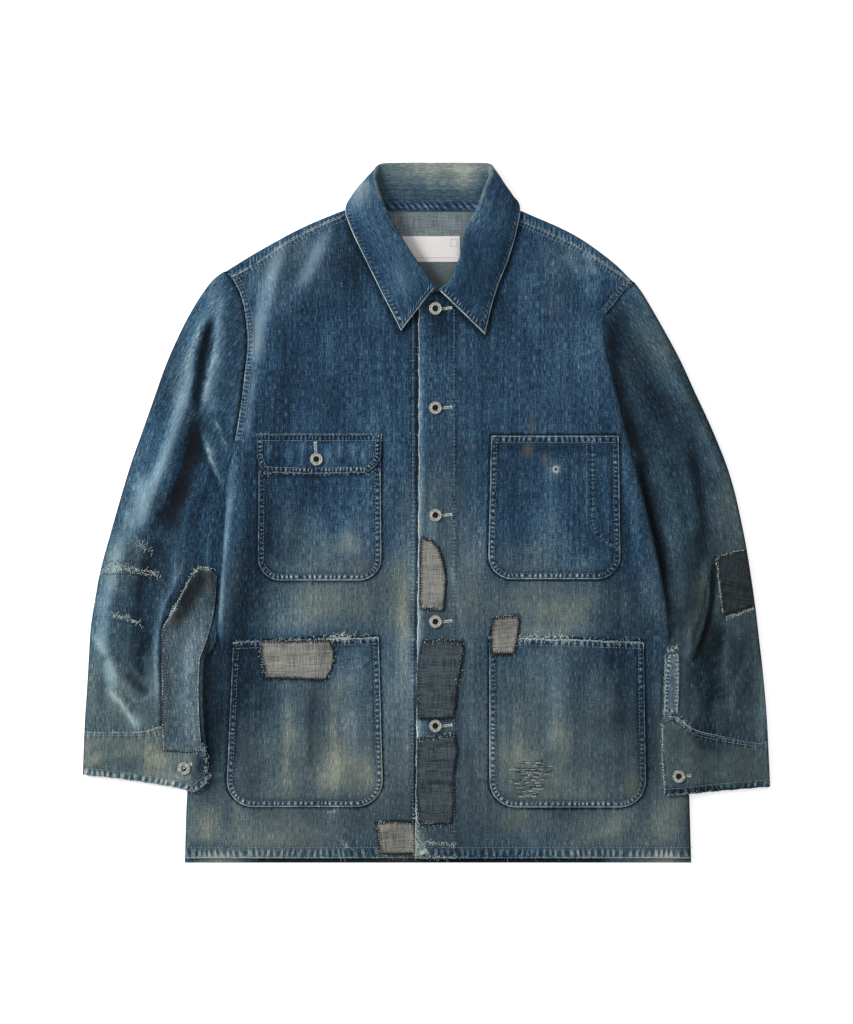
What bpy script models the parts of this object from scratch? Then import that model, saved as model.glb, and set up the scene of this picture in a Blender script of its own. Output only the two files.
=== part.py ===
"""A patched denim chore jacket, buttoned and laid flat on its back.

The cloth lies on the plane z = 0 with the collar towards +Y and the buttoned front facing +Z.
"Right" and "left" are the wearer's: the right side lies at -X. Tables and sizes are in millimetres
and are scaled once, when a mesh is made. Every sheet of cloth is an open surface, its outer face,
given its thickness by Solidify. Run with: blender --background --python part.py
"""
import math
from collections import namedtuple

import bmesh
import bpy
from mathutils import Vector
from mathutils.bvhtree import BVHTree

MM = 0.001

# Thicknesses and clearances
CLOTH = 1.2            # one layer of denim
COLLAR_CLOTH = 2.0     # collar: two layers and their stiffening, sewn together
CUFF_CLOTH = 1.6       # cuffs: two layers, pressed
PATCH = 1.0            # worn patches and the woven label
GAP = 0.3              # between pieces that are sewn together
SEAM_GAP = 1.0         # between slanted edges that meet end to end
BODY_CLEARANCE = 1.2   # between a sleeve and the side of the body it lies on
OVERLAP_GAP = 0.4      # between the two fronts where they button over each other
JOIN = 0.02            # points this close are one point
LEVEL_BONUS = 0.02     # metres by which a level face counts as higher, when the top face is looked for

# Outline of the body: how far out each side lies, by height (y, x)
SIDE_RIGHT = [(-393, -273), (-314, -270), (-257, -263), (-201, -256), (-170, -252), (-155, -246),
              (-144, -239), (-99, -234), (-54, -231), (-8, -228), (37, -226), (64, -220), (93, -214),
              (133, -208), (158, -205), (187, -202), (212, -203), (240, -208), (259, -216), (273, -226)]
SIDE_LEFT = [(-393, 299), (-280, 295), (-212, 288), (-145, 277), (-120, 273), (-67, 264), (-21, 254),
             (25, 243), (74, 231), (114, 221), (159, 210), (195, 202), (223, 203), (237, 213),
             (249, 222), (261, 233)]
# Fold of the back over the shoulders and the edge behind the neck, by (x, y)
SHOULDER_FOLD = [(-226, 273), (-190, 295), (-140, 322), (-92, 342), (-84, 344), (0, 344), (97, 344),
                 (104, 342), (166, 314), (209, 284), (233, 261)]
NECK_RIGHT = -90       # where the right shoulder seam meets the collar
NECK_LEFT = 102        # the same on the left
LAP_RIGHT = [(-226, 5), (-216, 10), (-190, 11), (-160, 8), (-90, 5.5)]  # depth of the back's wrap (x, y)
LAP_LEFT = [(102, 11), (170, 11), (205, 9), (233, 2.5)]
# Front neckline, hidden under the collar (x, y)
NECKLINE_RIGHT = [(-90, 336), (-75, 314), (-55, 288), (-27, 265), (6, 250), (33, 246)]
NECKLINE_LEFT = [(-12, 247), (18, 250), (47, 266), (75, 288), (92, 314), (102, 331)]
HEM_BACK = -395.3
HEM_FRONT = -390.0
PLACKET_EDGE = [(-391, -13), (-212, -11), (14, -9), (250, -9)]     # free edge of the left front (y, x)
UNDERLAP_EDGE = 33.0                                               # free edge of the right front

# Heights of the layers above the surface that the jacket lies on
AIR = 0.8              # least air between back and fronts
EDGE_PUFF = 1.2        # how much fuller the body is along its rolled sides
EDGE_LIFT = 4.0        # rise of the back where a sleeve passes beneath its side
UNDERARM = 64.0        # where the side of the body and the sleeve part
TUCK_END_RIGHT = -118.0      # below this the sleeve comes out from under the body
TUCK_END_LEFT = -112.0

# Sleeves: outer and inner edge by height (y, x)
SLEEVE_OUT_RIGHT = [(-312, -388.5), (-295, -388), (-240, -386), (-194, -383), (-159, -381), (-129, -379),
                    (-97, -374), (-65, -368), (-14, -354), (21, -344), (54, -334), (88, -322),
                    (122, -310), (167, -294), (203, -278), (233, -262), (258, -245), (268, -235),
                    (272, -228)]
SLEEVE_OUT_LEFT = [(-320, 389), (-309, 388), (-286, 387), (-228, 384), (-182, 380), (-138, 375),
                   (-104, 371), (-44, 362), (-8, 355), (23, 348), (50, 340), (76, 330), (104, 318),
                   (136, 303), (171, 287), (201, 271), (229, 255), (249, 243), (257, 237), (261, 234)]
SLEEVE_IN_RIGHT = [(-320, -246), (-295, -246), (-263, -248), (-240, -250), (-194, -252), (-164, -250.5),
                   (-155, -247.5), (-144, -240.5), (-122, -236.8), (-100, -228), (-60, -219), (-20, -216),
                   (25, -219), (50, -224.5), (64, -220.5)]
SLEEVE_IN_LEFT = [(-325, 269), (-286, 268), (-263, 266), (-228, 264), (-194, 266), (-164, 268.5),
                  (-152, 272), (-140, 277), (-128, 275), (-116, 273.6), (-95, 264), (-60, 253), (-15, 243),
                  (25, 235), (50, 237.8), (64, 234)]
CUFF_SEAM_RIGHT = [(-388, -247), (-347, -247), (-315, -246), (-299, -242), (-270, -252), (-246, -262)]
CUFF_SEAM_LEFT = [(264, -231), (282, -229), (300, -244), (324, -251), (358, -257), (388, -260)]
CUFF_HEM_RIGHT = [(-389, -296), (-347, -300), (-301, -307), (-274, -311.5), (-262, -315), (-245, -303)]
CUFF_HEM_LEFT = [(268, -320), (330, -314), (390, -309)]
SLEEVE_CROWN = 6.2     # height of the top of a sleeve
TUCK_HEIGHT = 3.4      # height of the sleeve where it lies under the body
TUCK_ROUND = 0.6       # how much higher the sleeve is just outside the body's edge
NARROW_SLEEVE = 30.0   # a sleeve narrower than this has smaller rounded edges
RAISED = 2.0           # a lower face higher than this lies on the body
LAST_STRAIGHT_RING = -185.0      # below this the rings turn to follow the cuff's seam
CUFF_MIDDLE = 300.0    # how far out the cuff's middle lies
CUFF_PROUD = 0.35      # how much fuller the cuff is than the sleeve

# Rows of the sheets, as heights at the side of the body, shared by the edges that are sewn together
ROWS_BELOW_SLEEVE = [-330, -260, -215]
ROWS_BESIDE_SLEEVE = [-185, -170, -158, -145, -132, -120, -105, -60, -10, 30, 50, 64, 85, 115, 150, 185,
                      212]
ROWS_SHOULDER_RIGHT = [238, 254]
ROWS_SHOULDER_LEFT = [231, 243]
SLEEVE_TIP_RIGHT = 268.0
SLEEVE_TIP_LEFT = 257.5
# Shared columns where the back meets the fronts at the shoulders
SHOULDER_COLUMNS_RIGHT = [-199, -165, -130, -91]
SHOULDER_COLUMNS_LEFT = [103, 137, 171, 205]

# Folds pressed into the cloth: a path of (x, y) points, height, and half-width on either side
Fold = namedtuple("Fold", "path height left right")
SLEEVE_FOLDS_RIGHT = [
    Fold([(-231, 244), (-258, 195), (-271, 136), (-286, 102), (-306, 46), (-326, 5)], 3.2, 22, 12),
    Fold([(-236, 219), (-241, 183), (-251, 141), (-255, 110), (-247, 76), (-236, 48)], 2.8, 8, 14),
    Fold([(-299, -80), (-301, -150), (-302, -232)], 1.4, 9, 9),
    Fold([(-330, -50), (-345, -120), (-340, -200)], 1.2, 14, 14),
]
SLEEVE_FOLDS_LEFT = [
    Fold([(241, 222), (270, 160), (296, 104), (318, 50)], 2.4, 16, 18),
    Fold([(322, -30), (321, -83), (314, -125), (300, -162)], 3.4, 16, 9),
    Fold([(262, 96), (292, 40), (304, -20)], 1.6, 14, 14),
    Fold([(340, -90), (346, -160), (340, -225)], 1.4, 14, 14),
]
BODY_FOLDS = [
    Fold([(-150, 290), (-120, 200), (-128, 125)], 0.7, 26, 26),
    Fold([(150, 290), (128, 210), (140, 125)], 0.7, 26, 26),
    Fold([(-20, -100), (-30, -220), (-18, -320)], 0.6, 18, 18),
    Fold([(230, 30), (241, -40), (255, -105)], 0.7, 9, 9),
    Fold([(-210, 40), (-216, -60), (-225, -115)], 0.7, 12, 12),
]

# Collar stations from the right front end round the back to the left front end: the neck seam, the
# roll line and the edge of the falling leaf. The leaf lies over the stand where turn is 0 degrees,
# outside it at 90 and behind it at 180.
Station = namedtuple("Station", "seam roll edge turn")
COLLAR = [
    Station((7, 247), (10, 254, 10.6), (-28.8, 205), 0),
    Station((-10, 255), (3.8, 262, 11.6), (-36, 220), 0),
    Station((-32, 267), (-13.5, 286, 12.2), (-51, 249), 0),
    Station((-61, 292), (-31, 314, 12.6), (-69, 286), 0),
    Station((-77, 320), (-46, 342, 13.2), (-83.5, 316), 5),
    Station((-82, 333), (-55, 366, 13.6), (-91.5, 341), 30),
    Station((-74, 340), (-57, 382, 12.4), (-83, 354), 80),
    Station((-60, 341), (-51, 392, 7.6), (-63, 352), 140),
    Station((-25, 341), (-24, 394, 3.7), (-24, 350), 180),
    Station((10, 341), (10, 394, 3.5), (10, 350), 180),
    Station((45, 341), (44, 394, 3.7), (44, 350), 180),
    Station((80, 341), (71, 392, 7.6), (82, 352), 140),
    Station((88, 340), (73, 381, 12.4), (98, 354), 80),
    Station((95, 333), (66, 366, 13.6), (105.5, 343), 30),
    Station((90, 318), (57, 342, 13.2), (100.5, 314), 5),
    Station((77, 291), (43, 313, 12.6), (91.5, 284), 0),
    Station((52, 267), (37.5, 286, 12.2), (80, 255), 0),
    Station((31, 256), (27.5, 262, 11.6), (72, 228), 0),
    Station((18, 247), (14.2, 250.6, 10.6), (65.8, 200.6), 0),
]
ROLL_RADIUS = 1.9      # at the middle of the collar's cloth
SEAM_LIFT = 0.6        # allowance folded under the collar's edges
SEAM_SPREAD = 5.0      # how far round an edge of the collar the body is cleared
LEAF_PUFF = 2.2        # how far the leaf stands off between its roll and its edge

# Patch pockets: outer and inner edge at the top and bottom, mouth and foot, and corner radius
Pocket = namedtuple("Pocket", "name x0_top x1_top x0_low x1_low mouth0 mouth1 foot radius")
POCKETS = [
    Pocket("chest_pocket_right", -189, -52, -190, -51, 79, 79, -76.5, 25),
    Pocket("chest_pocket_left", 73, 216.5, 70, 218.5, 86.5, 86.5, -75, 26),
    Pocket("hip_pocket_right", -218, -54, -225, -49.5, -146, -140.5, -332, 30),
    Pocket("hip_pocket_left", 71, 245, 71, 247.5, -140.5, -146, -332.5, 30),
]
POCKET_COLUMNS = (0.0, 0.06, 0.25, 0.5, 0.75, 0.94, 1.0)     # shares of a pocket's width
# Patches on the body: four corners from the lower left round, in order (x, y)
PATCHES = [
    ("patch_hip_right", "hip_pocket_right", [(-181, -186), (-111, -188), (-106, -145.5), (-186, -147)]),
    ("patch_hip_left", "hip_pocket_left", [(75, -158.5), (98, -159), (104.5, -117.5), (77.5, -120)]),
    ("patch_placket_upper", "front_left", [(-7, -108), (18.5, -109), (20, -50), (-5.5, -29)]),
    ("patch_placket_middle", "front_left", [(-10, -231.5), (29.5, -230.5), (41, -146), (-3.5, -145)]),
    ("patch_placket_lower", "front_left", [(-8.5, -351.5), (27, -349), (33, -251.5), (-9.5, -256)]),
    ("patch_hem", "front_right", [(-51, -384), (-15.5, -385), (-15, -350), (-56, -349.5)]),
]
FOREARM_PATCH = [     # height, then the edges of the patch on the right sleeve (y, x0, x1)
    (-267, -296, -252), (-240, -298, -255), (-200, -298, -256.5), (-165, -298.5, -255), (-143, -298.5, -246),
    (-125, -294, -242), (-106, -283, -238.5), (-88, -273, -236.6), (-72, -265, -235.6)]
ELBOW_PATCH = [(-114, 334, 369), (-95, 331.5, 368), (-75, 330, 364.5), (-50, 327.5, 359.5)]
SLEEVE_PLACKET = [(-225, 267, 283), (-205, 268.5, 284), (-180, 269.5, 284.5), (-160, 272.5, 284)]
FLAP = [(45.0, -183, -66), (62, -191, -51.5), (82.5, -191.5, -51), (89, -192, -50.5)]

BUTTON_X = 10.5
BUTTON_ROWS = (230, 118, -3, -123, -240)
BUTTON_RADIUS = 7.6
BUTTON_HEIGHT = 2.6
FLAP_BUTTON = (-124, 60)
CUFF_BUTTON_RIGHT = (-273, -288)
CUFF_BUTTON_LEFT = (284, -297)
LABEL = (-37, 283, 38, 312)

INDIGO = (0.085, 0.15, 0.235, 1.0)
FADED = (0.14, 0.2, 0.26, 1.0)
TAUPE = (0.25, 0.235, 0.225, 1.0)
DARK_PATCH = (0.06, 0.085, 0.11, 1.0)
WORN_METAL = (0.55, 0.54, 0.5, 1.0)
WHITE = (0.82, 0.8, 0.76, 1.0)


def clamp01(value):
    """The value held between 0 and 1."""
    return min(1.0, max(0.0, value))


def smooth(value):
    """Ease from 0 to 1 as the value goes from 0 to 1."""
    t = clamp01(value)
    return t * t * (3.0 - 2.0 * t)


def lerp(a, b, t):
    """Straight interpolation between two numbers."""
    return a + (b - a) * t


def along(table, at):
    """Read a table of (key, value) rows with a curve through its rows."""
    if at <= table[0][0]:
        return table[0][1]
    if at >= table[-1][0]:
        return table[-1][1]
    i = max(k for k in range(len(table) - 1) if table[k][0] <= at)
    (k0, v0), (k1, v1) = table[i], table[i + 1]
    before = table[max(i - 1, 0)]
    after = table[min(i + 2, len(table) - 1)]
    span = k1 - k0
    slope0 = (v1 - before[1]) / (k1 - before[0]) * span
    slope1 = (after[1] - v0) / (after[0] - k0) * span
    t = (at - k0) / span
    h = t * t * (3 - 2 * t)
    return v0 * (1 - h) + v1 * h + slope0 * t * (1 - t) ** 2 - slope1 * t * t * (1 - t)


def fold_height(folds, x, y):
    """Total rise of the given folds at a place: a soft ridge along each path."""
    total = 0.0
    for fold in folds:
        best = None
        for (ax, ay), (bx, by) in zip(fold.path, fold.path[1:]):
            dx, dy = bx - ax, by - ay
            t = clamp01(((x - ax) * dx + (y - ay) * dy) / (dx * dx + dy * dy))
            away = math.hypot(x - ax - t * dx, y - ay - t * dy)
            if best is None or away < best[0]:
                best = (away, dx * (y - ay) - dy * (x - ax))
        down_the_path = fold.path[0][1] > fold.path[-1][1]
        on_left = (best[1] < 0) == down_the_path
        width = fold.left if on_left else fold.right
        total += fold.height * math.exp(-(best[0] / width * 1.5) ** 2)
    return total


# ---- Heights of the body's layers ----

def side_of(x):
    """Which side a place is on: -1 for the wearer's right, 1 for the left."""
    return -1 if x < 0 else 1


def side_edge(side, y):
    """Outer edge of the body at a height."""
    return along(SIDE_RIGHT if side < 0 else SIDE_LEFT, y)


def inside_edge(side, x, y):
    """How far a place lies inside the body's side edge, negative outside it."""
    return (x - side_edge(side, y)) * -side


def edge_lift(side, x, y):
    """Rise of the back beside the sleeve that passes beneath it."""
    tuck_end = TUCK_END_RIGHT if side < 0 else TUCK_END_LEFT
    reach = smooth((96 - y) / 44) * smooth((y - tuck_end + 22) / 24)
    return EDGE_LIFT * reach * smooth((26 - inside_edge(side, x, y)) / 14)


def back_top(x, y):
    """Upper face of the back panel."""
    return CLOTH + edge_lift(side_of(x), x, y)


def turned_edge(side, y):
    """How far a front's side edge is rolled down: not at all where the armhole seam shows."""
    if side < 0:
        return smooth((84 - y) / 30)
    return smooth((236 - y) / 20)


def front_top(side, x, y):
    """Upper face of a front: soft, low swells, and one front over the other at the buttons."""
    swell = 1.1 + 0.45 * math.sin(x / 41 + 0.6) * math.sin(y / 67) + 0.25 * math.sin((x + y) / 29)
    over = 0.0
    if side > 0:
        over = (CLOTH + OVERLAP_GAP) * (1.0 - smooth((x - 45) / 40))
    puff = EDGE_PUFF * turned_edge(side, y) * smooth((24 - inside_edge(side, x, y)) / 16)
    return back_top(x, y) + AIR + swell + CLOTH + over + puff + fold_height(BODY_FOLDS, x, y)


# ---- Making sheets and solids ----

def new_material(name, colour, roughness=0.9, metallic=0.0):
    """A plain Principled material."""
    material = bpy.data.materials.new(name)
    material.use_nodes = True
    shader = material.node_tree.nodes["Principled BSDF"]
    shader.inputs["Base Color"].default_value = colour
    shader.inputs["Roughness"].default_value = roughness
    shader.inputs["Metallic"].default_value = metallic
    material.diffuse_color = colour
    return material


def add_object(name, mesh, colour, roughness=0.9, metallic=0.0):
    """Put a mesh in the jacket's collection with its own material."""
    mesh.materials.append(new_material(name + "_surface", colour, roughness, metallic))
    obj = bpy.data.objects.new(name, mesh)
    bpy.data.collections["patched_jacket"].objects.link(obj)
    return obj


def sheet_object(name, rows, thickness, colour):
    """Cloth from rows of (x, y, z) points of its outer face, thickened inwards.

    A point may be None where the sheet has no cloth. Points that meet are joined, which closes a
    tube. The side that faces up where the sheet is highest is the outside.
    """
    bm = bmesh.new()
    grid = [[bm.verts.new(Vector(p) * MM) if p else None for p in row] for row in rows]
    for low, high in zip(grid, grid[1:]):
        for i in range(len(low) - 1):
            corners = [low[i], low[i + 1], high[i + 1], high[i]]
            if all(corners):
                bm.faces.new(corners)
    loose = [v for v in bm.verts if not v.link_faces]
    bmesh.ops.delete(bm, geom=loose, context="VERTS")
    bmesh.ops.remove_doubles(bm, verts=bm.verts, dist=JOIN * MM)
    bm.normal_update()
    top = max(bm.faces, key=lambda f: f.calc_center_median().z + abs(f.normal.z) * LEVEL_BONUS)
    if top.normal.z < 0:
        bmesh.ops.reverse_faces(bm, faces=bm.faces)
    mesh = bpy.data.meshes.new(name)
    bm.to_mesh(mesh)
    bm.free()
    obj = add_object(name, mesh, colour)
    solidify = obj.modifiers.new("thickness", "SOLIDIFY")
    solidify.thickness = thickness * MM
    solidify.offset = -1.0
    solidify.use_even_offset = True
    return obj


def surface_of(obj):
    """The finished faces of an object, for finding the height of its top."""
    graph = bpy.context.evaluated_depsgraph_get()
    return BVHTree.FromObject(obj, graph)


def top_at(surfaces, x, y):
    """Highest point of the surfaces at a place, in millimetres, or None off their edges."""
    heights = []
    for tree in surfaces:
        hit = tree.ray_cast(Vector((x * MM, y * MM, 1.0)), Vector((0, 0, -1)))[0]
        if hit:
            heights.append(hit.z / MM)
    return max(heights) if heights else None


def rest_on(surfaces, x, y, spread):
    """Height that clears the surfaces at a place and just around it."""
    steps = (-spread, 0, spread)
    heights = [top_at(surfaces, x + dx, y + dy) for dx in steps for dy in steps]
    return max(h for h in heights if h is not None)


def laid_piece(name, outline_rows, surfaces, thickness, colour, spread=3.0, gap=GAP):
    """A piece sewn on others: rows of (x, y) laid just above them."""
    rows = []
    for row in outline_rows:
        rows.append([(x, y, rest_on(surfaces, x, y, spread) + gap + thickness) for x, y in row])
    return sheet_object(name, rows, thickness, colour)


# ---- The body ----

def shoulder_lap(x):
    """How far the back wraps onto the front, measured along Y."""
    return along(LAP_RIGHT, x) if x < 0 else along(LAP_LEFT, x)


def width_at(y, s):
    """Across the body at a height: s is 0 at the right side and 1 at the left."""
    return lerp(side_edge(-1, y), side_edge(1, y), s)


def edge_rows(side, hem, top):
    """Heights of a panel's rows at its side edge, from the hem to the shoulder."""
    shoulder = ROWS_SHOULDER_RIGHT if side < 0 else ROWS_SHOULDER_LEFT
    return [hem] + ROWS_BELOW_SLEEVE + ROWS_BESIDE_SLEEVE + shoulder + [top]


def share_of_columns(columns, start, end):
    """Places of the shared columns as shares of the way from one edge to another."""
    return [(x - start) / (end - start) for x in columns]


def make_back():
    """The back panel: flat on its resting face, wrapped over the shoulders to the front seams."""
    right_tip, left_tip = SHOULDER_FOLD[0], SHOULDER_FOLD[-1]
    shared = share_of_columns(SHOULDER_COLUMNS_RIGHT + SHOULDER_COLUMNS_LEFT, right_tip[0], left_tip[0])
    across = sorted([0, 0.008, 0.03, 0.4, 0.5, 0.61, 0.97, 0.992, 1] + shared)
    # depth from the fold and share of the height; None is the full depth, at the seam
    wrap = [(0.0, 0.45), (0.9, 0.8), (3.0, 0.96), (None, 1.0)]
    right_rows = edge_rows(-1, HEM_BACK, right_tip[1] - 3)
    left_rows = edge_rows(1, HEM_BACK, left_tip[1] - 3)
    count = len(right_rows)
    rows = [[] for _ in range(count + 1 + len(wrap))]
    for s in across:
        side = -1 if s < 0.5 else 1
        x_top = lerp(right_tip[0], left_tip[0], s)
        y_top = along(SHOULDER_FOLD, x_top)
        rise = y_top - 3 - lerp(right_rows[-1], left_rows[-1], s)
        for i in range(count):
            y = lerp(right_rows[i], left_rows[i], s) + rise * (i / (count - 1)) ** 2
            x = width_at(y, s)
            rows[i].append((x, y, edge_lift(side, x, y)))
        if NECK_RIGHT < x_top < NECK_LEFT:
            rows[count].append((width_at(y_top, s), y_top - 0.4, 0.0))
            for k in range(len(wrap)):
                rows[count + 1 + k].append(None)
            continue
        rows[count].append((width_at(y_top - 0.9, s), y_top - 0.9, 0.5))
        for k, (depth, share) in enumerate(wrap):
            lap = shoulder_lap(x_top)
            y = y_top - (lap if depth is None else min(depth, lap * 0.6))
            x = width_at(y, s)
            height = front_top(side, x, min(y, y_top - 4.0))
            rows[count + 1 + k].append((x, y, height * share))
    return sheet_object("back", rows, CLOTH, INDIGO)


def make_front(side):
    """A front panel, from its rolled side edge to its free edge at the buttons."""
    roll = [(0.5, 0.0), (0.1, 0.45), (0.9, 0.8), (3.4, 1.0)]     # inset from the edge, share of height
    neckline = NECKLINE_RIGHT if side < 0 else NECKLINE_LEFT
    tip = SHOULDER_FOLD[0] if side < 0 else SHOULDER_FOLD[-1]
    columns = SHOULDER_COLUMNS_RIGHT if side < 0 else SHOULDER_COLUMNS_LEFT
    inner_top = UNDERLAP_EDGE if side < 0 else PLACKET_EDGE[-1][1]
    across = sorted([0.045] + share_of_columns(columns, tip[0], inner_top) + [0.61, 0.70, 0.80, 0.90, 1.0])
    seam_tip = tip[1] - shoulder_lap(tip[0]) - SEAM_GAP
    heights = edge_rows(side, HEM_FRONT, seam_tip)
    rows = []
    for i, y_edge in enumerate(heights):
        row = []
        x_edge = side_edge(side, y_edge)
        turn = turned_edge(side, y_edge)
        for k, (inset, share) in enumerate(roll):
            x = x_edge - side * lerp(k * 1.2, inset, turn)
            top = front_top(side, x_edge - side * 3.4, y_edge)
            foot = back_top(x_edge, y_edge) + GAP
            row.append((x, y_edge, lerp(foot, top, lerp(1.0, share, turn))))
        for s in across:
            x_top = lerp(tip[0], inner_top, s)
            if NECK_RIGHT < x_top < NECK_LEFT:
                y_top = along(neckline if side < 0 else sorted(neckline), x_top)
            else:
                y_top = along(SHOULDER_FOLD, x_top) - shoulder_lap(x_top) - SEAM_GAP
            y = y_edge + (y_top - seam_tip) * (i / (len(heights) - 1)) ** 2
            inner = UNDERLAP_EDGE if side < 0 else along(PLACKET_EDGE, y)
            x = lerp(side_edge(side, y), inner, s)
            row.append((x, y, front_top(side, x, y)))
        rows.append(row)
    name = "front_right" if side < 0 else "front_left"
    return sheet_object(name, rows, CLOTH, INDIGO)


# ---- Sleeves and cuffs ----

def outside_edge(side, x, y):
    """How far a place lies outside the body's side edge."""
    return -inside_edge(side, x, y)


def sleeve_under(side, x, y):
    """Lower face of a sleeve: on the surface, or raised where it crosses the body."""
    out = outside_edge(side, x, y)
    tuck_end = TUCK_END_RIGHT if side < 0 else TUCK_END_LEFT
    crossing = smooth((tuck_end - y) / 30)
    edge_x = side_edge(side, y)
    inside_x = edge_x - side * max(6.0, -out)
    over = (front_top(side, inside_x, y) + BODY_CLEARANCE) * (1.0 - smooth((out - 1) / 26))
    arm = edge_lift(side, edge_x, y) if y > UNDERARM - 1 else 0.0
    return crossing * over + arm * (1.0 - smooth(out / 24))


def sleeve_top(side, x, y):
    """Upper face of a sleeve with its folds."""
    out = outside_edge(side, x, y)
    folds = SLEEVE_FOLDS_RIGHT if side < 0 else SLEEVE_FOLDS_LEFT
    under = sleeve_under(side, x, y)
    if y > UNDERARM - 1:
        edge_x = side_edge(side, y)
        seam = front_top(side, edge_x - side * 3.4, y)
        seam = lerp(seam, back_top(edge_x, y) + GAP + CLOTH, turned_edge(side, y))
        start = lerp(TUCK_HEIGHT + TUCK_ROUND, seam, smooth((y - UNDERARM) / 30))
        start = max(start, under + TUCK_HEIGHT)
    else:
        start = under + TUCK_HEIGHT + TUCK_ROUND * smooth((y - UNDERARM + 12) / 10)
    reach = smooth((out - 0.8) / 20)
    crown = lerp(start, max(SLEEVE_CROWN, under + TUCK_HEIGHT + TUCK_ROUND), reach)
    return crown + fold_height(folds, x, y) * smooth((out - 0.5) / 12)


def sleeve_section(side, y, proud, slant=None):
    """One ring of a sleeve, from the front armhole seam over the top and back beneath.

    proud is how far the ring stands outside the sleeve, for the cuff; slant gives the y of each x.
    """
    outer = along(SLEEVE_OUT_RIGHT if side < 0 else SLEEVE_OUT_LEFT, y) + side * proud
    closed = y <= UNDERARM
    if closed:
        inner = along(SLEEVE_IN_RIGHT if side < 0 else SLEEVE_IN_LEFT, y) - side * proud
    else:
        inner = side_edge(side, y) + side * GAP
    width = abs(outer - inner)
    corner = min(1.0, width / NARROW_SLEEVE)
    # columns lie just outside the body's edge, where the sleeve leaves it, and evenly beyond
    first = max(6.0 * corner, side * (side_edge(side, y) - inner) + 1.5)
    top_steps = [lerp(first, width - 6 * corner, u) for u in (0.0, 0.15, 0.32, 0.5, 0.7, 0.88)]
    low_steps = [lerp(first, width - 5 * corner, 0.6), first + 13 * corner, first]
    points = []

    def place(distance, level, from_outer):
        """A point a distance in from an edge; level is 1 on the top face and 0 on the lower."""
        x = outer - side * distance if from_outer else inner + side * distance
        top = sleeve_top(side, x, y) + proud
        low = sleeve_under(side, x, y)
        if closed and low > RAISED:
            low -= proud
        points.append((x, slant(x) if slant else y, lerp(low, top, level)))

    if closed:
        place(0.0, 0.5, False)
        place(1.2, 0.92, False)
        place(3.5, 1.0, False)
    else:
        place(0.0, 1.0, False)
        place(1.2 * corner, 1.0, False)
        place(3.5 * corner, 1.0, False)
    for distance in top_steps:
        place(distance, 1.0, False)
    place(6.0 * corner, 0.97, True)
    place(1.5 * corner, 0.75, True)
    place(0.0, 0.42, True)
    place(1.5 * corner, 0.1, True)
    place(5.0 * corner, 0.0, True)
    for distance in low_steps:
        place(distance, 0.0, False)
    if closed:
        place(3.5, 0.0, False)
        place(1.2, 0.08, False)
        points.append(points[0])
    else:
        place(3.5 * corner, 0.0, False)
        place(1.2 * corner, 0.0, False)
        place(0.0, 0.0, False)
    return points


def make_sleeve(side):
    """A sleeve: open along the armhole, a tube below the underarm, ending at the cuff seam."""
    seam = CUFF_SEAM_RIGHT if side < 0 else CUFF_SEAM_LEFT
    rows = []
    for share in (1.0, 0.5):
        y = lerp(LAST_STRAIGHT_RING, along(seam, CUFF_MIDDLE * side), share)

        def slant(x, share=share):
            return lerp(LAST_STRAIGHT_RING, along(seam, x) + SEAM_GAP, share)

        rows.append(sleeve_section(side, y, 0.0, slant))
    shoulder = ROWS_SHOULDER_RIGHT if side < 0 else ROWS_SHOULDER_LEFT
    tip = SLEEVE_TIP_RIGHT if side < 0 else SLEEVE_TIP_LEFT
    for y in ROWS_BESIDE_SLEEVE + shoulder + [tip]:
        rows.append(sleeve_section(side, y, 0.0))
    return sheet_object("sleeve_right" if side < 0 else "sleeve_left", rows, CLOTH, INDIGO)


def make_cuff(side):
    """The cuff: a doubled band round the sleeve's end."""
    seam = CUFF_SEAM_RIGHT if side < 0 else CUFF_SEAM_LEFT
    hem = CUFF_HEM_RIGHT if side < 0 else CUFF_HEM_LEFT
    rows = []
    for share in (1.0, 0.8, 0.3, 0.0):
        y = lerp(along(seam, CUFF_MIDDLE * side), along(hem, CUFF_MIDDLE * side), share)

        def slant(x, share=share):
            return lerp(along(seam, x), along(hem, x), share)

        rows.append(sleeve_section(side, y, CUFF_PROUD, slant))
    return sheet_object("cuff_right" if side < 0 else "cuff_left", rows, CUFF_CLOTH, FADED)


# ---- Collar ----

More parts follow.
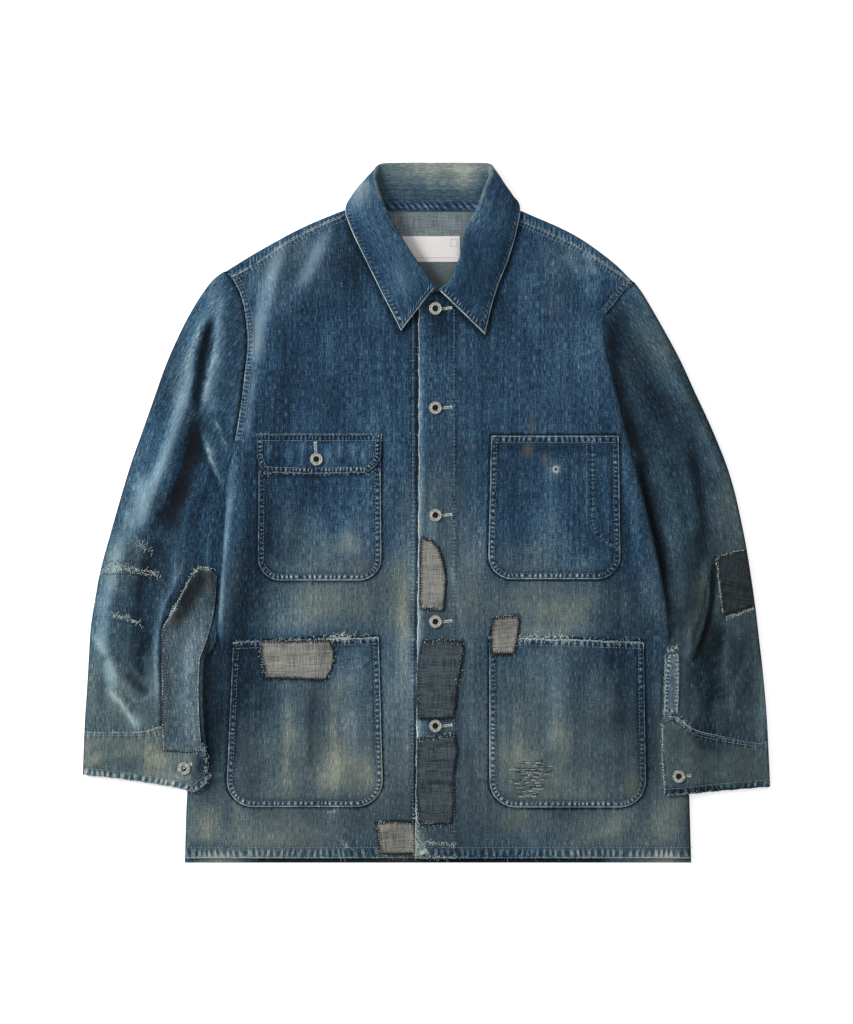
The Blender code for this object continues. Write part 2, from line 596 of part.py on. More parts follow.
def make_collar(surfaces):
    """One-piece collar: from the neck seam up to the roll and down its leaf."""
    rows = []
    for i, station in enumerate(COLLAR):
        roll = Vector(station.roll)
        ahead = Vector(COLLAR[min(i + 1, len(COLLAR) - 1)].roll)
        behind = Vector(COLLAR[max(i - 1, 0)].roll)
        run = (ahead - behind).to_2d().normalized()
        inward = Vector((run.y, -run.x, 0.0))
        up = Vector((0.0, 0.0, 1.0))
        angle = math.radians(station.turn)
        out = inward * math.cos(angle) + up * math.sin(angle)
        to_leaf = up * math.cos(angle) - inward * math.sin(angle)
        centre = roll - out * ROLL_RADIUS
        ends = []
        for place, on_body in ((station.seam, True), (station.edge, station.turn < 60)):
            floor = rest_on(surfaces, *place, SEAM_SPREAD) + GAP + SEAM_LIFT if on_body else 0.0
            ends.append(Vector((*place, floor + COLLAR_CLOTH / 2)))
        seam, edge = ends
        arc = [centre + (out * math.cos(a) + to_leaf * math.sin(a)) * ROLL_RADIUS
               for a in (-math.pi / 2, -math.pi / 6, math.pi / 6, math.pi / 2)]
        puff = up * LEAF_PUFF * math.cos(angle / 2) ** 2 - inward * LEAF_PUFF * 1.5 * math.sin(angle)
        leaf = [arc[-1].lerp(edge, 0.35) + puff, arc[-1].lerp(edge, 0.72) + puff]
        rows.append([tuple(p) for p in [seam, seam.lerp(arc[0], 0.5)] + arc + leaf + [edge]])
    obj = sheet_object("collar", rows, COLLAR_CLOTH, INDIGO)
    obj.modifiers["thickness"].offset = 0.0
    obj.modifiers["thickness"].use_even_offset = False
    return obj


# ---- What is sewn on ----

def pocket_rows(pocket):
    """Rows of (x, y) that fill a pocket's outline, with round lower corners."""
    heights = [0.0, 0.1, 0.3, 0.6, 1.0]
    rows = []
    for share in heights:
        lift = pocket.radius * share
        inset = pocket.radius - math.sqrt(max(0.0, pocket.radius ** 2 - (pocket.radius - lift) ** 2))
        rows.append((pocket.foot + lift, inset))
    mouth = (pocket.mouth0 + pocket.mouth1) / 2
    for share in (0.3, 0.62, 0.94, 1.0):
        rows.append((lerp(pocket.foot + pocket.radius, mouth, share), 0.0))
    result = []
    for y, inset in rows:
        t = (y - pocket.foot) / (mouth - pocket.foot)
        x0 = lerp(pocket.x0_low, pocket.x0_top, t) + inset
        x1 = lerp(pocket.x1_low, pocket.x1_top, t) - inset
        row = []
        for s in POCKET_COLUMNS:
            tilt = lerp(pocket.mouth0, pocket.mouth1, s) - mouth
            row.append((lerp(x0, x1, s), y + tilt * t))
        result.append(row)
    return result


def corner_rows(corners, steps_x=4, steps_y=4):
    """Rows of (x, y) between four corners given from the lower left round."""
    low_left, low_right, high_right, high_left = [Vector(c) for c in corners]
    rows = []
    for j in range(steps_y + 1):
        left = low_left.lerp(high_left, j / steps_y)
        right = low_right.lerp(high_right, j / steps_y)
        rows.append([tuple(left.lerp(right, i / steps_x)) for i in range(steps_x + 1)])
    return rows


def table_rows(table, shares=(0.0, 0.25, 0.5, 0.75, 1.0)):
    """Rows of (x, y) from a table of (y, x0, x1)."""
    return [[(lerp(x0, x1, s), y) for s in shares] for y, x0, x1 in table]


def make_button(name, place, surfaces):
    """A ring-shaped metal button with a sunk centre, turned from its profile."""
    radius, height = BUTTON_RADIUS, BUTTON_HEIGHT
    profile = [(0, 0), (0.86, 0), (1, 0.35), (0.96, 0.75), (0.76, 1), (0.5, 0.9), (0.36, 0.45), (0, 0.4)]
    bm = bmesh.new()
    verts = [bm.verts.new((r * radius * MM, 0, h * height * MM)) for r, h in profile]
    for a, b in zip(verts, verts[1:]):
        bm.edges.new((a, b))
    mesh = bpy.data.meshes.new(name)
    bm.to_mesh(mesh)
    bm.free()
    obj = add_object(name, mesh, WORN_METAL, 0.45, 0.85)
    x, y = place
    seat = max(rest_on(surfaces, x, y, d) for d in (2.0, 5.0, radius))
    obj.location = Vector((x, y, seat + GAP)) * MM
    screw = obj.modifiers.new("turned", "SCREW")
    screw.steps = 20
    screw.render_steps = 20
    screw.use_merge_vertices = True
    screw.merge_threshold = 0.00005
    screw.use_normal_calculate = True
    return obj


def make_label(surfaces):
    """The woven label inside the back of the neck."""
    x0, y0, x1, y1 = LABEL
    rows = corner_rows([(x0, y0), (x1, y0), (x1, y1), (x0, y1)], 5, 2)
    bowed = [[(x, y, rest_on(surfaces, x, y, 1.0) + GAP + PATCH + 0.25 * math.sin(x / 13) ** 2)
              for x, y in row] for row in rows]
    return sheet_object("label", bowed, PATCH, WHITE)


def clear_scene():
    """Remove what the file opened with and make the jacket's collection."""
    for obj in list(bpy.data.objects):
        bpy.data.objects.remove(obj)
    collection = bpy.data.collections.new("patched_jacket")
    bpy.context.scene.collection.children.link(collection)


def main():
    """Make the jacket, layer by layer."""
    clear_scene()
    back = make_back()
    pieces = {"back": surface_of(back)}
    for side in (-1, 1):
        front = make_front(side)
        pieces[front.name] = surface_of(front)
        sleeve = make_sleeve(side)
        pieces[sleeve.name] = surface_of(sleeve)
        cuff = make_cuff(side)
        pieces[cuff.name] = surface_of(cuff)
    fronts = [pieces["front_right"], pieces["front_left"]]
    make_collar(fronts + [pieces["back"]])
    for pocket in POCKETS:
        obj = laid_piece(pocket.name, pocket_rows(pocket), fronts, CLOTH, INDIGO, 6.0)
        pieces[pocket.name] = surface_of(obj)
    flap = laid_piece("pocket_flap", table_rows(FLAP, POCKET_COLUMNS),
                      [pieces["front_right"], pieces["chest_pocket_right"]], CLOTH, INDIGO, 9.0, 0.8)
    for name, on, corners in PATCHES:
        colour = DARK_PATCH if name in ("patch_placket_middle", "patch_placket_lower") else TAUPE
        laid_piece(name, corner_rows(corners), fronts + [pieces[on]], PATCH, colour, 5.0)
    laid_piece("patch_forearm_right", table_rows(FOREARM_PATCH), [pieces["sleeve_right"], pieces["cuff_right"]],
               PATCH, FADED, 6.0)
    laid_piece("patch_elbow_left", table_rows(ELBOW_PATCH), [pieces["sleeve_left"]], PATCH, DARK_PATCH, 5.0)
    laid_piece("sleeve_placket_left", table_rows(SLEEVE_PLACKET, (0, 0.33, 0.67, 1)),
               [pieces["sleeve_left"]], CLOTH, FADED, 4.0)
    for i, y in enumerate(BUTTON_ROWS):
        make_button(f"button_front_{i + 1}", (BUTTON_X, y), [pieces["front_left"]])
    make_button("button_flap", FLAP_BUTTON, [surface_of(flap)])
    make_button("button_cuff_right", CUFF_BUTTON_RIGHT, [pieces["cuff_right"]])
    make_button("button_cuff_left", CUFF_BUTTON_LEFT, [pieces["cuff_left"]])
    make_label([pieces["back"]])


main()
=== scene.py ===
"""Patched denim chore jacket, buttoned and laid flat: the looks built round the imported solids.

Tables are in millimetres, in the frame of the solids: the collar is towards +Y, the buttoned front
faces +Z, and "right" and "left" are the wearer's, so the right side lies at -X.
"""
import math
from collections import namedtuple

import bpy
import numpy as np
from bpy.props import FloatProperty, FloatVectorProperty, PointerProperty
from bpy.types import Operator, Panel, PropertyGroup
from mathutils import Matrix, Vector, geometry
from mathutils.bvhtree import BVHTree


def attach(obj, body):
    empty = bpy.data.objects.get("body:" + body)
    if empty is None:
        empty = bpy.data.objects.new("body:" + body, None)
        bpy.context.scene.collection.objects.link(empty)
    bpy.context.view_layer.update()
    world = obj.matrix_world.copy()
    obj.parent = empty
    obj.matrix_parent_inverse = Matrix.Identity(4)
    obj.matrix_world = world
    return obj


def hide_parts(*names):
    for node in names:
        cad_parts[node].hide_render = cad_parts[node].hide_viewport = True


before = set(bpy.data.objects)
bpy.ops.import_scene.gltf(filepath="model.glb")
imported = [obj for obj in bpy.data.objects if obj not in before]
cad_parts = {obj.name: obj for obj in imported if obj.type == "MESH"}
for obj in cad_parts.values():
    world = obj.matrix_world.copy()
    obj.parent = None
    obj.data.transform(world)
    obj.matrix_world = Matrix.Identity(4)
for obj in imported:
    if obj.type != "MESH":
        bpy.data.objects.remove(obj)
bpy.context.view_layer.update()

bl_info = {
    "name": "Patched Denim Jacket",
    "version": (1, 0, 0),
    "blender": (4, 5, 0),
    "location": "View3D > Sidebar > Jacket",
    "description": "Builds a patched denim chore jacket laid flat",
    "category": "Object",
}

MM = 0.001
RIGHT, LEFT = -1, 1    # the wearer's sides, which are also the signs of X
FRONT = {RIGHT: "front_right_panel", LEFT: "front_left_panel"}
SLEEVE = {RIGHT: "sleeve_right_tube", LEFT: "sleeve_left_tube"}
CUFF = {RIGHT: "cuff_right_band", LEFT: "cuff_left_band"}
FAR = 99.0             # a distance that counts as nowhere near
WASHED = 0.365         # fade of the whole jacket before its worn places
DUST = 0.22            # how much of the dust's colour dirty cloth takes on
FOLD_LIGHT_STRENGTH = 2.6        # how strongly the painted light and shade of the folds lighten and darken the colour
PUCKER_PACE = 1.4      # turn of the puckers' wave for a millimetre of seam

# ---- The jacket's lines, in plan: rows of height and X, or of X and Y where they run across ----

SIDE = {
    RIGHT: [(-393, -273), (-314, -270), (-257, -263), (-201, -256), (-170, -252), (-155, -246),
            (-144, -239), (-99, -234), (-54, -231), (-8, -228), (37, -226), (64, -220), (93, -214),
            (133, -208), (158, -205), (187, -202), (212, -203), (240, -208), (259, -216), (273, -226)],
    LEFT: [(-393, 299), (-280, 295), (-212, 288), (-145, 277), (-120, 273), (-67, 264), (-21, 254),
           (25, 243), (74, 231), (114, 221), (159, 210), (195, 202), (223, 203), (237, 213), (249, 222),
           (261, 233)]}
SHOULDER_FOLD = [(-226, 273), (-190, 295), (-140, 322), (-92, 342), (-84, 344), (0, 344), (97, 344),
                 (104, 342), (166, 314), (209, 284), (233, 261)]
LAP = {
    RIGHT: [(-226, 5), (-216, 10), (-190, 11), (-160, 8), (-90, 5.5)],
    LEFT: [(102, 11), (170, 11), (205, 9), (233, 2.5)]}
NECKLINE = {
    RIGHT: [(-90, 336), (-75, 314), (-55, 288), (-27, 265), (6, 250), (33, 246)],
    LEFT: [(102, 331), (92, 314), (75, 288), (47, 266), (18, 250), (-12, 247)]}
PLACKET_EDGE = [(-391, -13), (-212, -11), (14, -9), (250, -9)]
LAP_FADE = 0.4         # of the back's laps over the shoulders
HEM_BACK = -395.3
HEM_FRONT = -390.0
UNDERLAP_EDGE = 33.0
UNDERARM = 64.0
SLEEVE_OUT = {
    RIGHT: [(-312, -388.5), (-295, -388), (-240, -386), (-194, -383), (-159, -381), (-129, -379),
            (-97, -374), (-65, -368), (-14, -354), (21, -344), (54, -334), (88, -322), (122, -310),
            (167, -294), (203, -278), (233, -262), (258, -245), (268, -235), (272, -228)],
    LEFT: [(-320, 389), (-309, 388), (-286, 387), (-228, 384), (-182, 380), (-138, 375), (-104, 371),
           (-44, 362), (-8, 355), (23, 348), (50, 340), (76, 330), (104, 318), (136, 303), (171, 287),
           (201, 271), (229, 255), (249, 243), (257, 237), (261, 234)]}
SLEEVE_IN = {
    RIGHT: [(-320, -246), (-295, -246), (-263, -248), (-240, -250), (-194, -250.5), (-164, -247),
            (-155, -242), (-144, -236.6), (-122, -234.4), (-100, -227), (-60, -219), (-20, -216),
            (25, -218), (50, -220.5), (64, -218.5)],
    LEFT: [(-325, 269), (-286, 268), (-263, 266), (-228, 264), (-194, 266), (-164, 268.5), (-152, 271),
           (-140, 274.6), (-128, 272.4), (-116, 270.6), (-95, 262), (-60, 252), (-15, 242), (25, 234),
           (50, 235), (64, 232.4)]}
CUFF_SEAM = {
    RIGHT: [(-388, -247), (-347, -247), (-315, -246), (-299, -242), (-270, -252), (-246, -262)],
    LEFT: [(264, -231), (282, -229), (300, -244), (324, -251), (358, -257), (388, -260)]}
CUFF_HEM = {
    RIGHT: [(-389, -296), (-347, -300), (-301, -307), (-274, -311.5), (-262, -315), (-245, -303)],
    LEFT: [(268, -320), (330, -314), (390, -309)]}
FRONT_STITCH = {RIGHT: -15.3, LEFT: 31.1}      # line of stitches beside each free edge
ARMHOLE_LOW = {RIGHT: 84, LEFT: 226}           # where the felled part of each armhole starts
SLEEVE_TIP = {RIGHT: 272.3, LEFT: 260.5}       # top of each sleeve, at the shoulder


# ---- Sums ----

def smooth(value):
    """Ease from 0 to 1 as the value goes from 0 to 1."""
    t = np.clip(value, 0.0, 1.0)
    return t * t * (3.0 - 2.0 * t)


def hump(value, width):
    """A soft rise to 1 where the value is 0."""
    return np.exp(-(value / width) ** 2)


def lengths(points):
    """Length along a line to each of its points."""
    return np.concatenate([[0.0], np.cumsum(np.linalg.norm(np.diff(points, axis=0), axis=1))])


def unit(ways):
    """Directions of length 1."""
    return ways / np.maximum(np.linalg.norm(ways, axis=-1), 1e-9)[..., None]


def evened(values):
    """Values evened out with their neighbours' in a row."""
    return np.convolve(np.pad(values, 4, "edge"), np.ones(9) / 9, "valid")


def left_of(way):
    """Directions turned a quarter to the left."""
    return np.column_stack([-way[:, 1], way[:, 0]])


def along(table, at):
    """Read a table of (key, value) rows with a curve through its rows."""
    keys = np.array([row[0] for row in table], float)
    vals = np.array([row[1] for row in table], float)
    at = np.clip(np.asarray(at, float), keys[0], keys[-1])
    i = np.clip(np.searchsorted(keys, at, side="right") - 1, 0, len(keys) - 2)
    before, after = np.maximum(i - 1, 0), np.minimum(i + 2, len(keys) - 1)
    span = keys[i + 1] - keys[i]
    slope0 = (vals[i + 1] - vals[before]) / (keys[i + 1] - keys[before]) * span
    slope1 = (vals[after] - vals[i]) / (keys[after] - keys[i]) * span
    t = (at - keys[i]) / span
    h = t * t * (3 - 2 * t)
    return vals[i] * (1 - h) + vals[i + 1] * h + slope0 * t * (1 - t) ** 2 - slope1 * t * t * (1 - t)


def at_heights(table, y):
    """Points on an edge at given heights."""
    return np.column_stack([along(table, y), y])


def side_edge(side, y):
    """Outer edge of the body at a height."""
    return along(SIDE[side], y)


def free_edge(side, y):
    """Free edge of a front at a height."""
    return along(PLACKET_EDGE, y) if side == LEFT else y * 0 + UNDERLAP_EDGE


def curved(points, step):
    """Points closely spaced on a curve through the given ones."""
    p = np.array(points, float)
    at = lengths(p)
    s = np.linspace(0.0, at[-1], max(2, int(at[-1] / step) + 1))
    return np.column_stack([along(list(zip(at, p[:, k])), s) for k in range(p.shape[1])])


class Path:
    """A line on the cloth, in plan."""

    def __init__(self, points):
        self.p = np.array(points, float)
        self.seg = np.diff(self.p, axis=0)
        self.run = np.maximum(np.hypot(*self.seg.T), 1e-9)
        self.at = np.concatenate([[0.0], np.cumsum(self.run)])
        self.length = self.at[-1]

    def near(self, q):
        """Distance of each point from the line, positive on its left, the length along it, and the
        nearest stretch."""
        gap, where, part = np.empty(len(q)), np.empty(len(q)), np.empty(len(q), int)
        for k in range(0, len(q), 2000):
            rel = q[k:k + 2000, None, :] - self.p[None, :-1, :]
            t = np.clip((rel * self.seg).sum(2) / self.run ** 2, 0, 1)
            off = rel - t[..., None] * self.seg
            d2 = (off ** 2).sum(2)
            i = d2.argmin(1)
            row = np.arange(len(i))
            turn = self.seg[i, 0] * rel[row, i, 1] - self.seg[i, 1] * rel[row, i, 0]
            gap[k:k + 2000] = np.sqrt(d2[row, i]) * np.where(turn >= 0, 1, -1)
            where[k:k + 2000] = self.at[i] + t[row, i] * self.run[i]
            part[k:k + 2000] = i
        return gap, where, part

    def spaced(self, step, offset=0.0):
        """Points evenly spaced along the line, moved to its left, and its direction at each."""
        s = np.linspace(0, self.length, max(2, int(round(self.length / step)) + 1))
        i = np.clip(np.searchsorted(self.at, s, side="right") - 1, 0, len(self.run) - 1)
        t = ((s - self.at[i]) / self.run[i])[:, None]
        way = self.seg[i] / self.run[i][:, None]
        points = self.p[i] + self.seg[i] * t + left_of(way) * offset
        return points, way


def closed(outline):
    """The line round an outline, back to its start."""
    return Path(np.vstack([outline, outline[:1]]))


def ring(*parts):
    """A closed outline from stretches of line, run round against the clock."""
    pts = np.vstack([np.array(part, float) for part in parts])
    keep = [0]
    for i in range(1, len(pts)):
        if np.hypot(*(pts[i] - pts[keep[-1]])) > 0.3:
            keep.append(i)
    if np.hypot(*(pts[keep[-1]] - pts[0])) < 0.3:
        keep.pop()
    pts = pts[keep]
    x, y = pts.T
    area = (x * np.roll(y, -1) - y * np.roll(x, -1)).sum() / 2
    return pts if area > 0 else pts[::-1]


def evenly(rim, step):
    """A closed outline with its long stretches divided."""
    out = []
    for a, b in zip(rim, np.roll(rim, -1, axis=0)):
        n = max(1, int(round(np.hypot(*(b - a)) / step)))
        out.extend(a + (b - a) * k / n for k in range(n))
    return np.array(out)


def inside(rim, q):
    """Which points lie within a closed outline."""
    within = np.zeros(len(q), bool)
    for (ax, ay), (bx, by) in zip(rim, np.roll(rim, -1, axis=0)):
        if ay == by:
            continue
        crosses = (ay > q[:, 1]) != (by > q[:, 1])
        within ^= crosses & (q[:, 0] < (bx - ax) * (q[:, 1] - ay) / (by - ay) + ax)
    return within


def fill(rim, close_points, grain, holes):
    """Triangles that fill an outline: its own points, the close ones, and an even spread between."""
    cell, taken, points = 2.0, {}, []

    def put(x, y, gap):
        """Take a point unless another is nearer than the gap."""
        i, j = int(x // cell), int(y // cell)
        for a in (i - 1, i, i + 1):
            for b in (j - 1, j, j + 1):
                for u, v in taken.get((a, b), ()):
                    if (u - x) ** 2 + (v - y) ** 2 < gap * gap:
                        return
        taken.setdefault((i, j), []).append((x, y))
        points.append((x, y))

    edges = []
    for loop in [rim, *holes]:
        start = len(points)
        for x, y in loop:
            put(x, y, 0.0)
        edges += [(start + k, start + (k + 1) % len(loop)) for k in range(len(loop))]
    for q, gap in close_points:
        for x, y in q[inside(rim, q)]:
            put(x, y, gap)
    low, high = rim.min(0), rim.max(0)
    rows = np.arange(low[1] + grain * 0.4, high[1], grain * 0.87)
    spread = np.array([(x + (grain / 2 if k % 2 else 0), y) for k, y in enumerate(rows)
                       for x in np.arange(low[0], high[0], grain)])
    spread += np.random.default_rng(5).uniform(-0.12, 0.12, spread.shape) * grain
    for x, y in spread[inside(rim, spread)]:
        put(x, y, min(grain * 0.66, cell))
    made = geometry.delaunay_2d_cdt([Vector(p) for p in points], edges, [], 1, 1e-5)
    verts, faces, origin = np.array([tuple(v) for v in made[0]]), made[2], made[3]
    place = np.zeros(len(points), int)
    for new, olds in enumerate(origin):
        for old in olds:
            place[old] = new
    tris = np.array([f for f in faces if len(f) == 3])
    a, b, c = verts[tris[:, 0]], verts[tris[:, 1]], verts[tris[:, 2]]
    turn = (b[:, 0] - a[:, 0]) * (c[:, 1] - a[:, 1]) - (b[:, 1] - a[:, 1]) * (c[:, 0] - a[:, 0])
    tris[turn < 0] = tris[turn < 0][:, ::-1]
    middle = (a + b + c) / 3
    keep = inside(rim, middle) & (np.abs(turn) > 1e-7)
    for loop in holes:
        keep &= ~inside(loop, middle)
    return verts, tris[keep], place[:len(rim)]


# ---- Relief and wear ----

Crease = namedtuple("Crease", "path height left right")      # its widths are to its left and right
Blob = namedtuple("Blob", "x y half_x half_y amount turn", defaults=(0,))


def creased(q, creases):
    """Rise of soft folds: uneven ridges, or troughs where the height is below zero."""
    total = np.zeros(len(q))
    for k, crease in enumerate(Crease(*row) for row in creases):
        line = Path(curved(crease.path, 6.0))
        gap, where, _ = line.near(q)
        u = where / line.length
        width = np.where(gap > 0, crease.left, crease.right)
        ends = smooth(u / 0.25) * smooth((1 - u) / 0.25)
        waver = 1.0 + 0.22 * np.sin(where / 19.0 + 2.1 * k) + 0.12 * np.sin(where / 7.3 + k)
        total += crease.height * ends * waver * hump(gap * 1.5, width)
    return total


def blobs(q, table):
    """Sum of soft spots."""
    total = np.zeros(len(q))
    for blob in (Blob(*row) for row in table):
        c, s = math.cos(math.radians(blob.turn)), math.sin(math.radians(blob.turn))
        dx, dy = q[:, 0] - blob.x, q[:, 1] - blob.y
        total += blob.amount * hump(dx * c + dy * s, blob.half_x) * hump(dy * c - dx * s, blob.half_y)
    return total


def uneven(q, size, seed):
    """Smooth unevenness between about -1 and 1, of a given size."""
    dice = np.random.default_rng(seed)
    total = np.zeros(len(q))
    for _ in range(9):
        angle, phase = dice.uniform(0, 2 * math.pi, 2)
        pace = dice.uniform(0.6, 1.7) / size
        total += np.sin((q[:, 0] * math.cos(angle) + q[:, 1] * math.sin(angle)) * pace * 3.1 + phase)
    return total / 3.6


def pucker_wave(length):
    """Ups and downs of cloth drawn together by a seam, by length along it in millimetres."""
    return np.sin(PUCKER_PACE * length + 1.5 * np.sin(length / 7.1 + 1.0) + 0.9 * np.sin(length / 3.1))


# ---- Surfaces to lay things on ----

TREES = {}


def tree_of(name, mesh):
    """Faces of a mesh, in millimetres."""
    if name not in TREES:
        TREES[name] = BVHTree.FromPolygons([v.co / MM for v in mesh.vertices],
                                           [tuple(p.vertices) for p in mesh.polygons])
    return TREES[name]


def solid_tree(node):
    """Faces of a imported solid."""
    return tree_of(node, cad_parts[node].data)


def cloth_tree(name):
    """Faces of a piece that has been made."""
    if name not in bpy.data.objects:
        raise RuntimeError(f"{name} has to be made first")
    return tree_of(name, bpy.data.objects[name].data)


def height(trees, q, below=False):
    """Top of the surfaces at each point, or their underside; what misses them takes the nearest."""
    start, way = (-100.0, 1.0) if below else (200.0, -1.0)
    out = np.full(len(q), np.nan)
    for tree in trees:
        for k, (x, y) in enumerate(q):
            hit = tree.ray_cast(Vector((x, y, start)), Vector((0, 0, way)))[0]
            if hit and not (hit.z * way > out[k] * way):
                out[k] = hit.z
    for k in np.flatnonzero(np.isnan(out)):
        out[k] = trees[0].find_nearest(Vector((*q[k], 3.0)))[0].z
    return out


# ---- A piece of cloth ----

BAND_STEP = 1.15       # from point to point along the close rows beside a line
BAND_GAP = 0.8         # the least gap of such a point to any other
GROOVE_DEPTH = 0.28    # where a row of stitches draws the cloth down
GROOVE_FADE = 0.09     # and keeps it dark
RIM_INSET = 5.0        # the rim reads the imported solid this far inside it
RUB_ROUNDS = 24        # rounds of softening for what counts as standing out


class Cloth:
    """A piece of cloth while it is shaped: its plan, its heights, how worn it is and its painted light and
    shade.
    """

    def __init__(self, rim, grain=3.2, bands=(), holes=(), rim_step=2.4, ready=None):
        self.rim = rim if ready else evenly(rim, rim_step)
        close = [(path.spaced(BAND_STEP, offset * side)[0], BAND_GAP)
                 for path, offsets in bands for offset in offsets for side in (1, -1)]
        self.xy, self.faces, self.border = ready or fill(self.rim, close, grain, holes)
        self.x, self.y = self.xy.T
        count = len(self.xy)
        self.z = np.zeros(count)
        self.grain = self.xy.copy()
        self.seam = np.zeros((count, 2))
        self.edge = np.full(count, FAR)
        # the fade also carries painted shade where the edges of other pieces lie on the cloth
        self.fade, self.stain, self.grime = np.zeros(count), np.zeros(count), np.zeros(count)
        # the first: rubbed pale on high places, with painted shade in hollows; deep: painted light and shade
        # of the folds
        self.rub, self.deep = np.zeros(count), np.zeros(count)
        pairs = np.vstack([self.faces[:, [0, 1]], self.faces[:, [1, 2]], self.faces[:, [2, 0]]])
        self.links = np.unique(np.sort(pairs, axis=1), axis=0)
        self.outline = closed(self.rim)

    def off(self, path):
        """Distance of each point from a line."""
        return np.abs(path.near(self.xy)[0])

    def soften(self, values, times):
        """Even out values with their neighbours'."""
        a, b = self.links.T
        size = len(values)
        count = np.bincount(a, minlength=size) + np.bincount(b, minlength=size)
        for _ in range(times):
            mean = (np.bincount(a, values[b], size) + np.bincount(b, values[a], size)) / count
            values = values + (mean - values) * 0.7
        return values

    def follow(self, node, times, below=False):
        """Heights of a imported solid, read a little inside the rim and softened."""
        gap, _, part = self.outline.near(self.xy)
        way = self.outline.seg[part] / self.outline.run[part][:, None]
        push = np.maximum(0.0, RIM_INSET - np.abs(gap))[:, None]
        q = self.xy + left_of(way) * push
        return self.soften(height([solid_tree(node)], q, below), times)

    def lay(self, names, gap, times):
        """Lie on pieces that have been made: softened, but never into them."""
        floor = height([cloth_tree(n) for n in names], self.xy)
        self.z = np.maximum(self.soften(floor, times), floor) + gap
        self.z = self.soften(self.z, 2)

    def sew(self, path, centre, width, amount, pucker, grooves=(), raised=0.0, pace=1.0):
        """Draw the cloth together along a line, over a band beside it, with grooves for the thread."""
        gap, where, _ = path.near(self.xy)
        gap = np.abs(gap)
        band = hump(gap - centre, width)
        self.z += band * (pucker * pucker_wave(where) * (0.8 + 0.3 * np.sin(where / 11.0)) + raised)
        for groove in grooves:
            self.z -= GROOVE_DEPTH * hump(gap - groove, 0.8)
            self.fade -= GROOVE_FADE * hump(gap - groove, 0.9)
        more = band * amount > self.seam[:, 1]
        slant = gap * 0.12 * np.sin(where / 23.0)
        self.seam[more] = np.column_stack([where * pace + slant, band * amount])[more]

    def wear_edge(self, path, drop=0.45):
        """A turned or cut edge: rounded off and rubbed."""
        gap = self.off(path)
        self.edge = np.minimum(self.edge, gap)
        self.z -= drop * (1.0 - smooth(gap / 1.3))

    def shade(self, path, width, amount, flat=0.9):
        """Painted shade: darken the cloth's colour where another edge lies on it."""
        gap = np.maximum(self.off(path) - flat, 0.0)
        self.fade -= amount * hump(gap, width)

    def rub_high_places(self, amount):
        """Fade what stands out, as rubbing does, and darken what lies deep with painted shade."""
        self.rub += np.clip((self.z - self.soften(self.z, RUB_ROUNDS)) * amount, -0.3, 0.35)

    def looks(self):
        """What the finishes read at each point."""
        return {
            "grain": np.column_stack([self.grain, self.edge]),
            # the seam attribute's middle number is deep: painted light and shade of the folds
            "seam": np.column_stack([self.seam[:, 0], self.deep, self.seam[:, 1]]),
            "look": np.column_stack([self.fade + self.rub, self.stain, self.grime, np.ones(len(self.z))]),
        }

    def cut(self, layers=1):
        """Width, length and area of the flat cloth in metres: twice the plan's for a pressed tube."""
        size = (self.xy.max(0) - self.xy.min(0)) * MM
        a, b, c = (self.xy[self.faces[:, k]] for k in range(3))
        area = np.abs((b - a)[:, 0] * (c - a)[:, 1] - (b - a)[:, 1] * (c - a)[:, 0]).sum() / 2 * MM * MM
        return {"flat": (float(size[0]) * layers, float(size[1])), "area": float(area) * layers}

    def points(self):
        """The piece's points in space."""
        return np.column_stack([self.xy, self.z])


def shell(points, faces, thickness):
    """Give an open surface its thickness inwards: all points, and the faces outside, inside, at the rim."""
    a, b, c = points[faces[:, 0]], points[faces[:, 1]], points[faces[:, 2]]
    across = np.cross(b - a, c - a)
    size = len(points)
    normal = np.column_stack([sum(np.bincount(faces[:, k], across[:, j], size) for k in range(3))
                              for j in range(3)])
    normal = unit(normal)
    pairs = np.vstack([faces[:, [0, 1]], faces[:, [1, 2]], faces[:, [2, 0]]])
    free = pairs[~np.isin(pairs[:, 0] * size + pairs[:, 1], pairs[:, 1] * size + pairs[:, 0])]
    walls = np.column_stack([free[:, 1], free[:, 0], free[:, 0] + size, free[:, 1] + size])
    return np.vstack([points, points - normal * thickness]), faces, faces[:, ::-1] + size, walls


def add(name, data):
    """A new object in the scene."""
    obj = bpy.data.objects.new(name, data)
    bpy.context.scene.collection.objects.link(obj)
    return obj


SHARP = 50.0           # degrees: a sharper turn between two faces is not smoothed


def put_in_scene(name, points, face_lists, finishes, looks):
    """A mesh object from points in millimetres and lists of faces, one for each finish."""
    mesh = bpy.data.meshes.new(name)
    faces = [face for faces in face_lists for face in np.asarray(faces).tolist()]
    mesh.from_pydata((points * MM).tolist(), [], faces)
    for finish in finishes:
        mesh.materials.append(finish)
    index = np.repeat(np.arange(len(face_lists)), [len(f) for f in face_lists])
    mesh.polygons.foreach_set("material_index", np.minimum(index, len(finishes) - 1).astype(np.int32))
    mesh.polygons.foreach_set("use_smooth", np.ones(len(faces), bool))
    for key, values in looks.items():
        kind, field = ("FLOAT_COLOR", "color") if key == "look" else ("FLOAT_VECTOR", "vector")
        data = mesh.attributes.new(key, kind, "POINT").data
        values = np.vstack([values] * (len(points) // len(values)))
        data.foreach_set(field, values.astype(np.float32).ravel())
    mesh.set_sharp_from_angle(angle=math.radians(SHARP))
    mesh.update()
    old = bpy.data.objects.get(name)
    if old:
        bpy.data.objects.remove(old)
        TREES.pop(name, None)
    return add(name, mesh)


def dress(obj, nodes, slot, flat=None, area=None, rests_on=()):
    """Tie a piece to the frame and hide the solids it stands for; its slot, its cut and what it rests on are
    not used.
    """
    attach(obj, "root")
    if nodes:
        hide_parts(*nodes)
    return obj


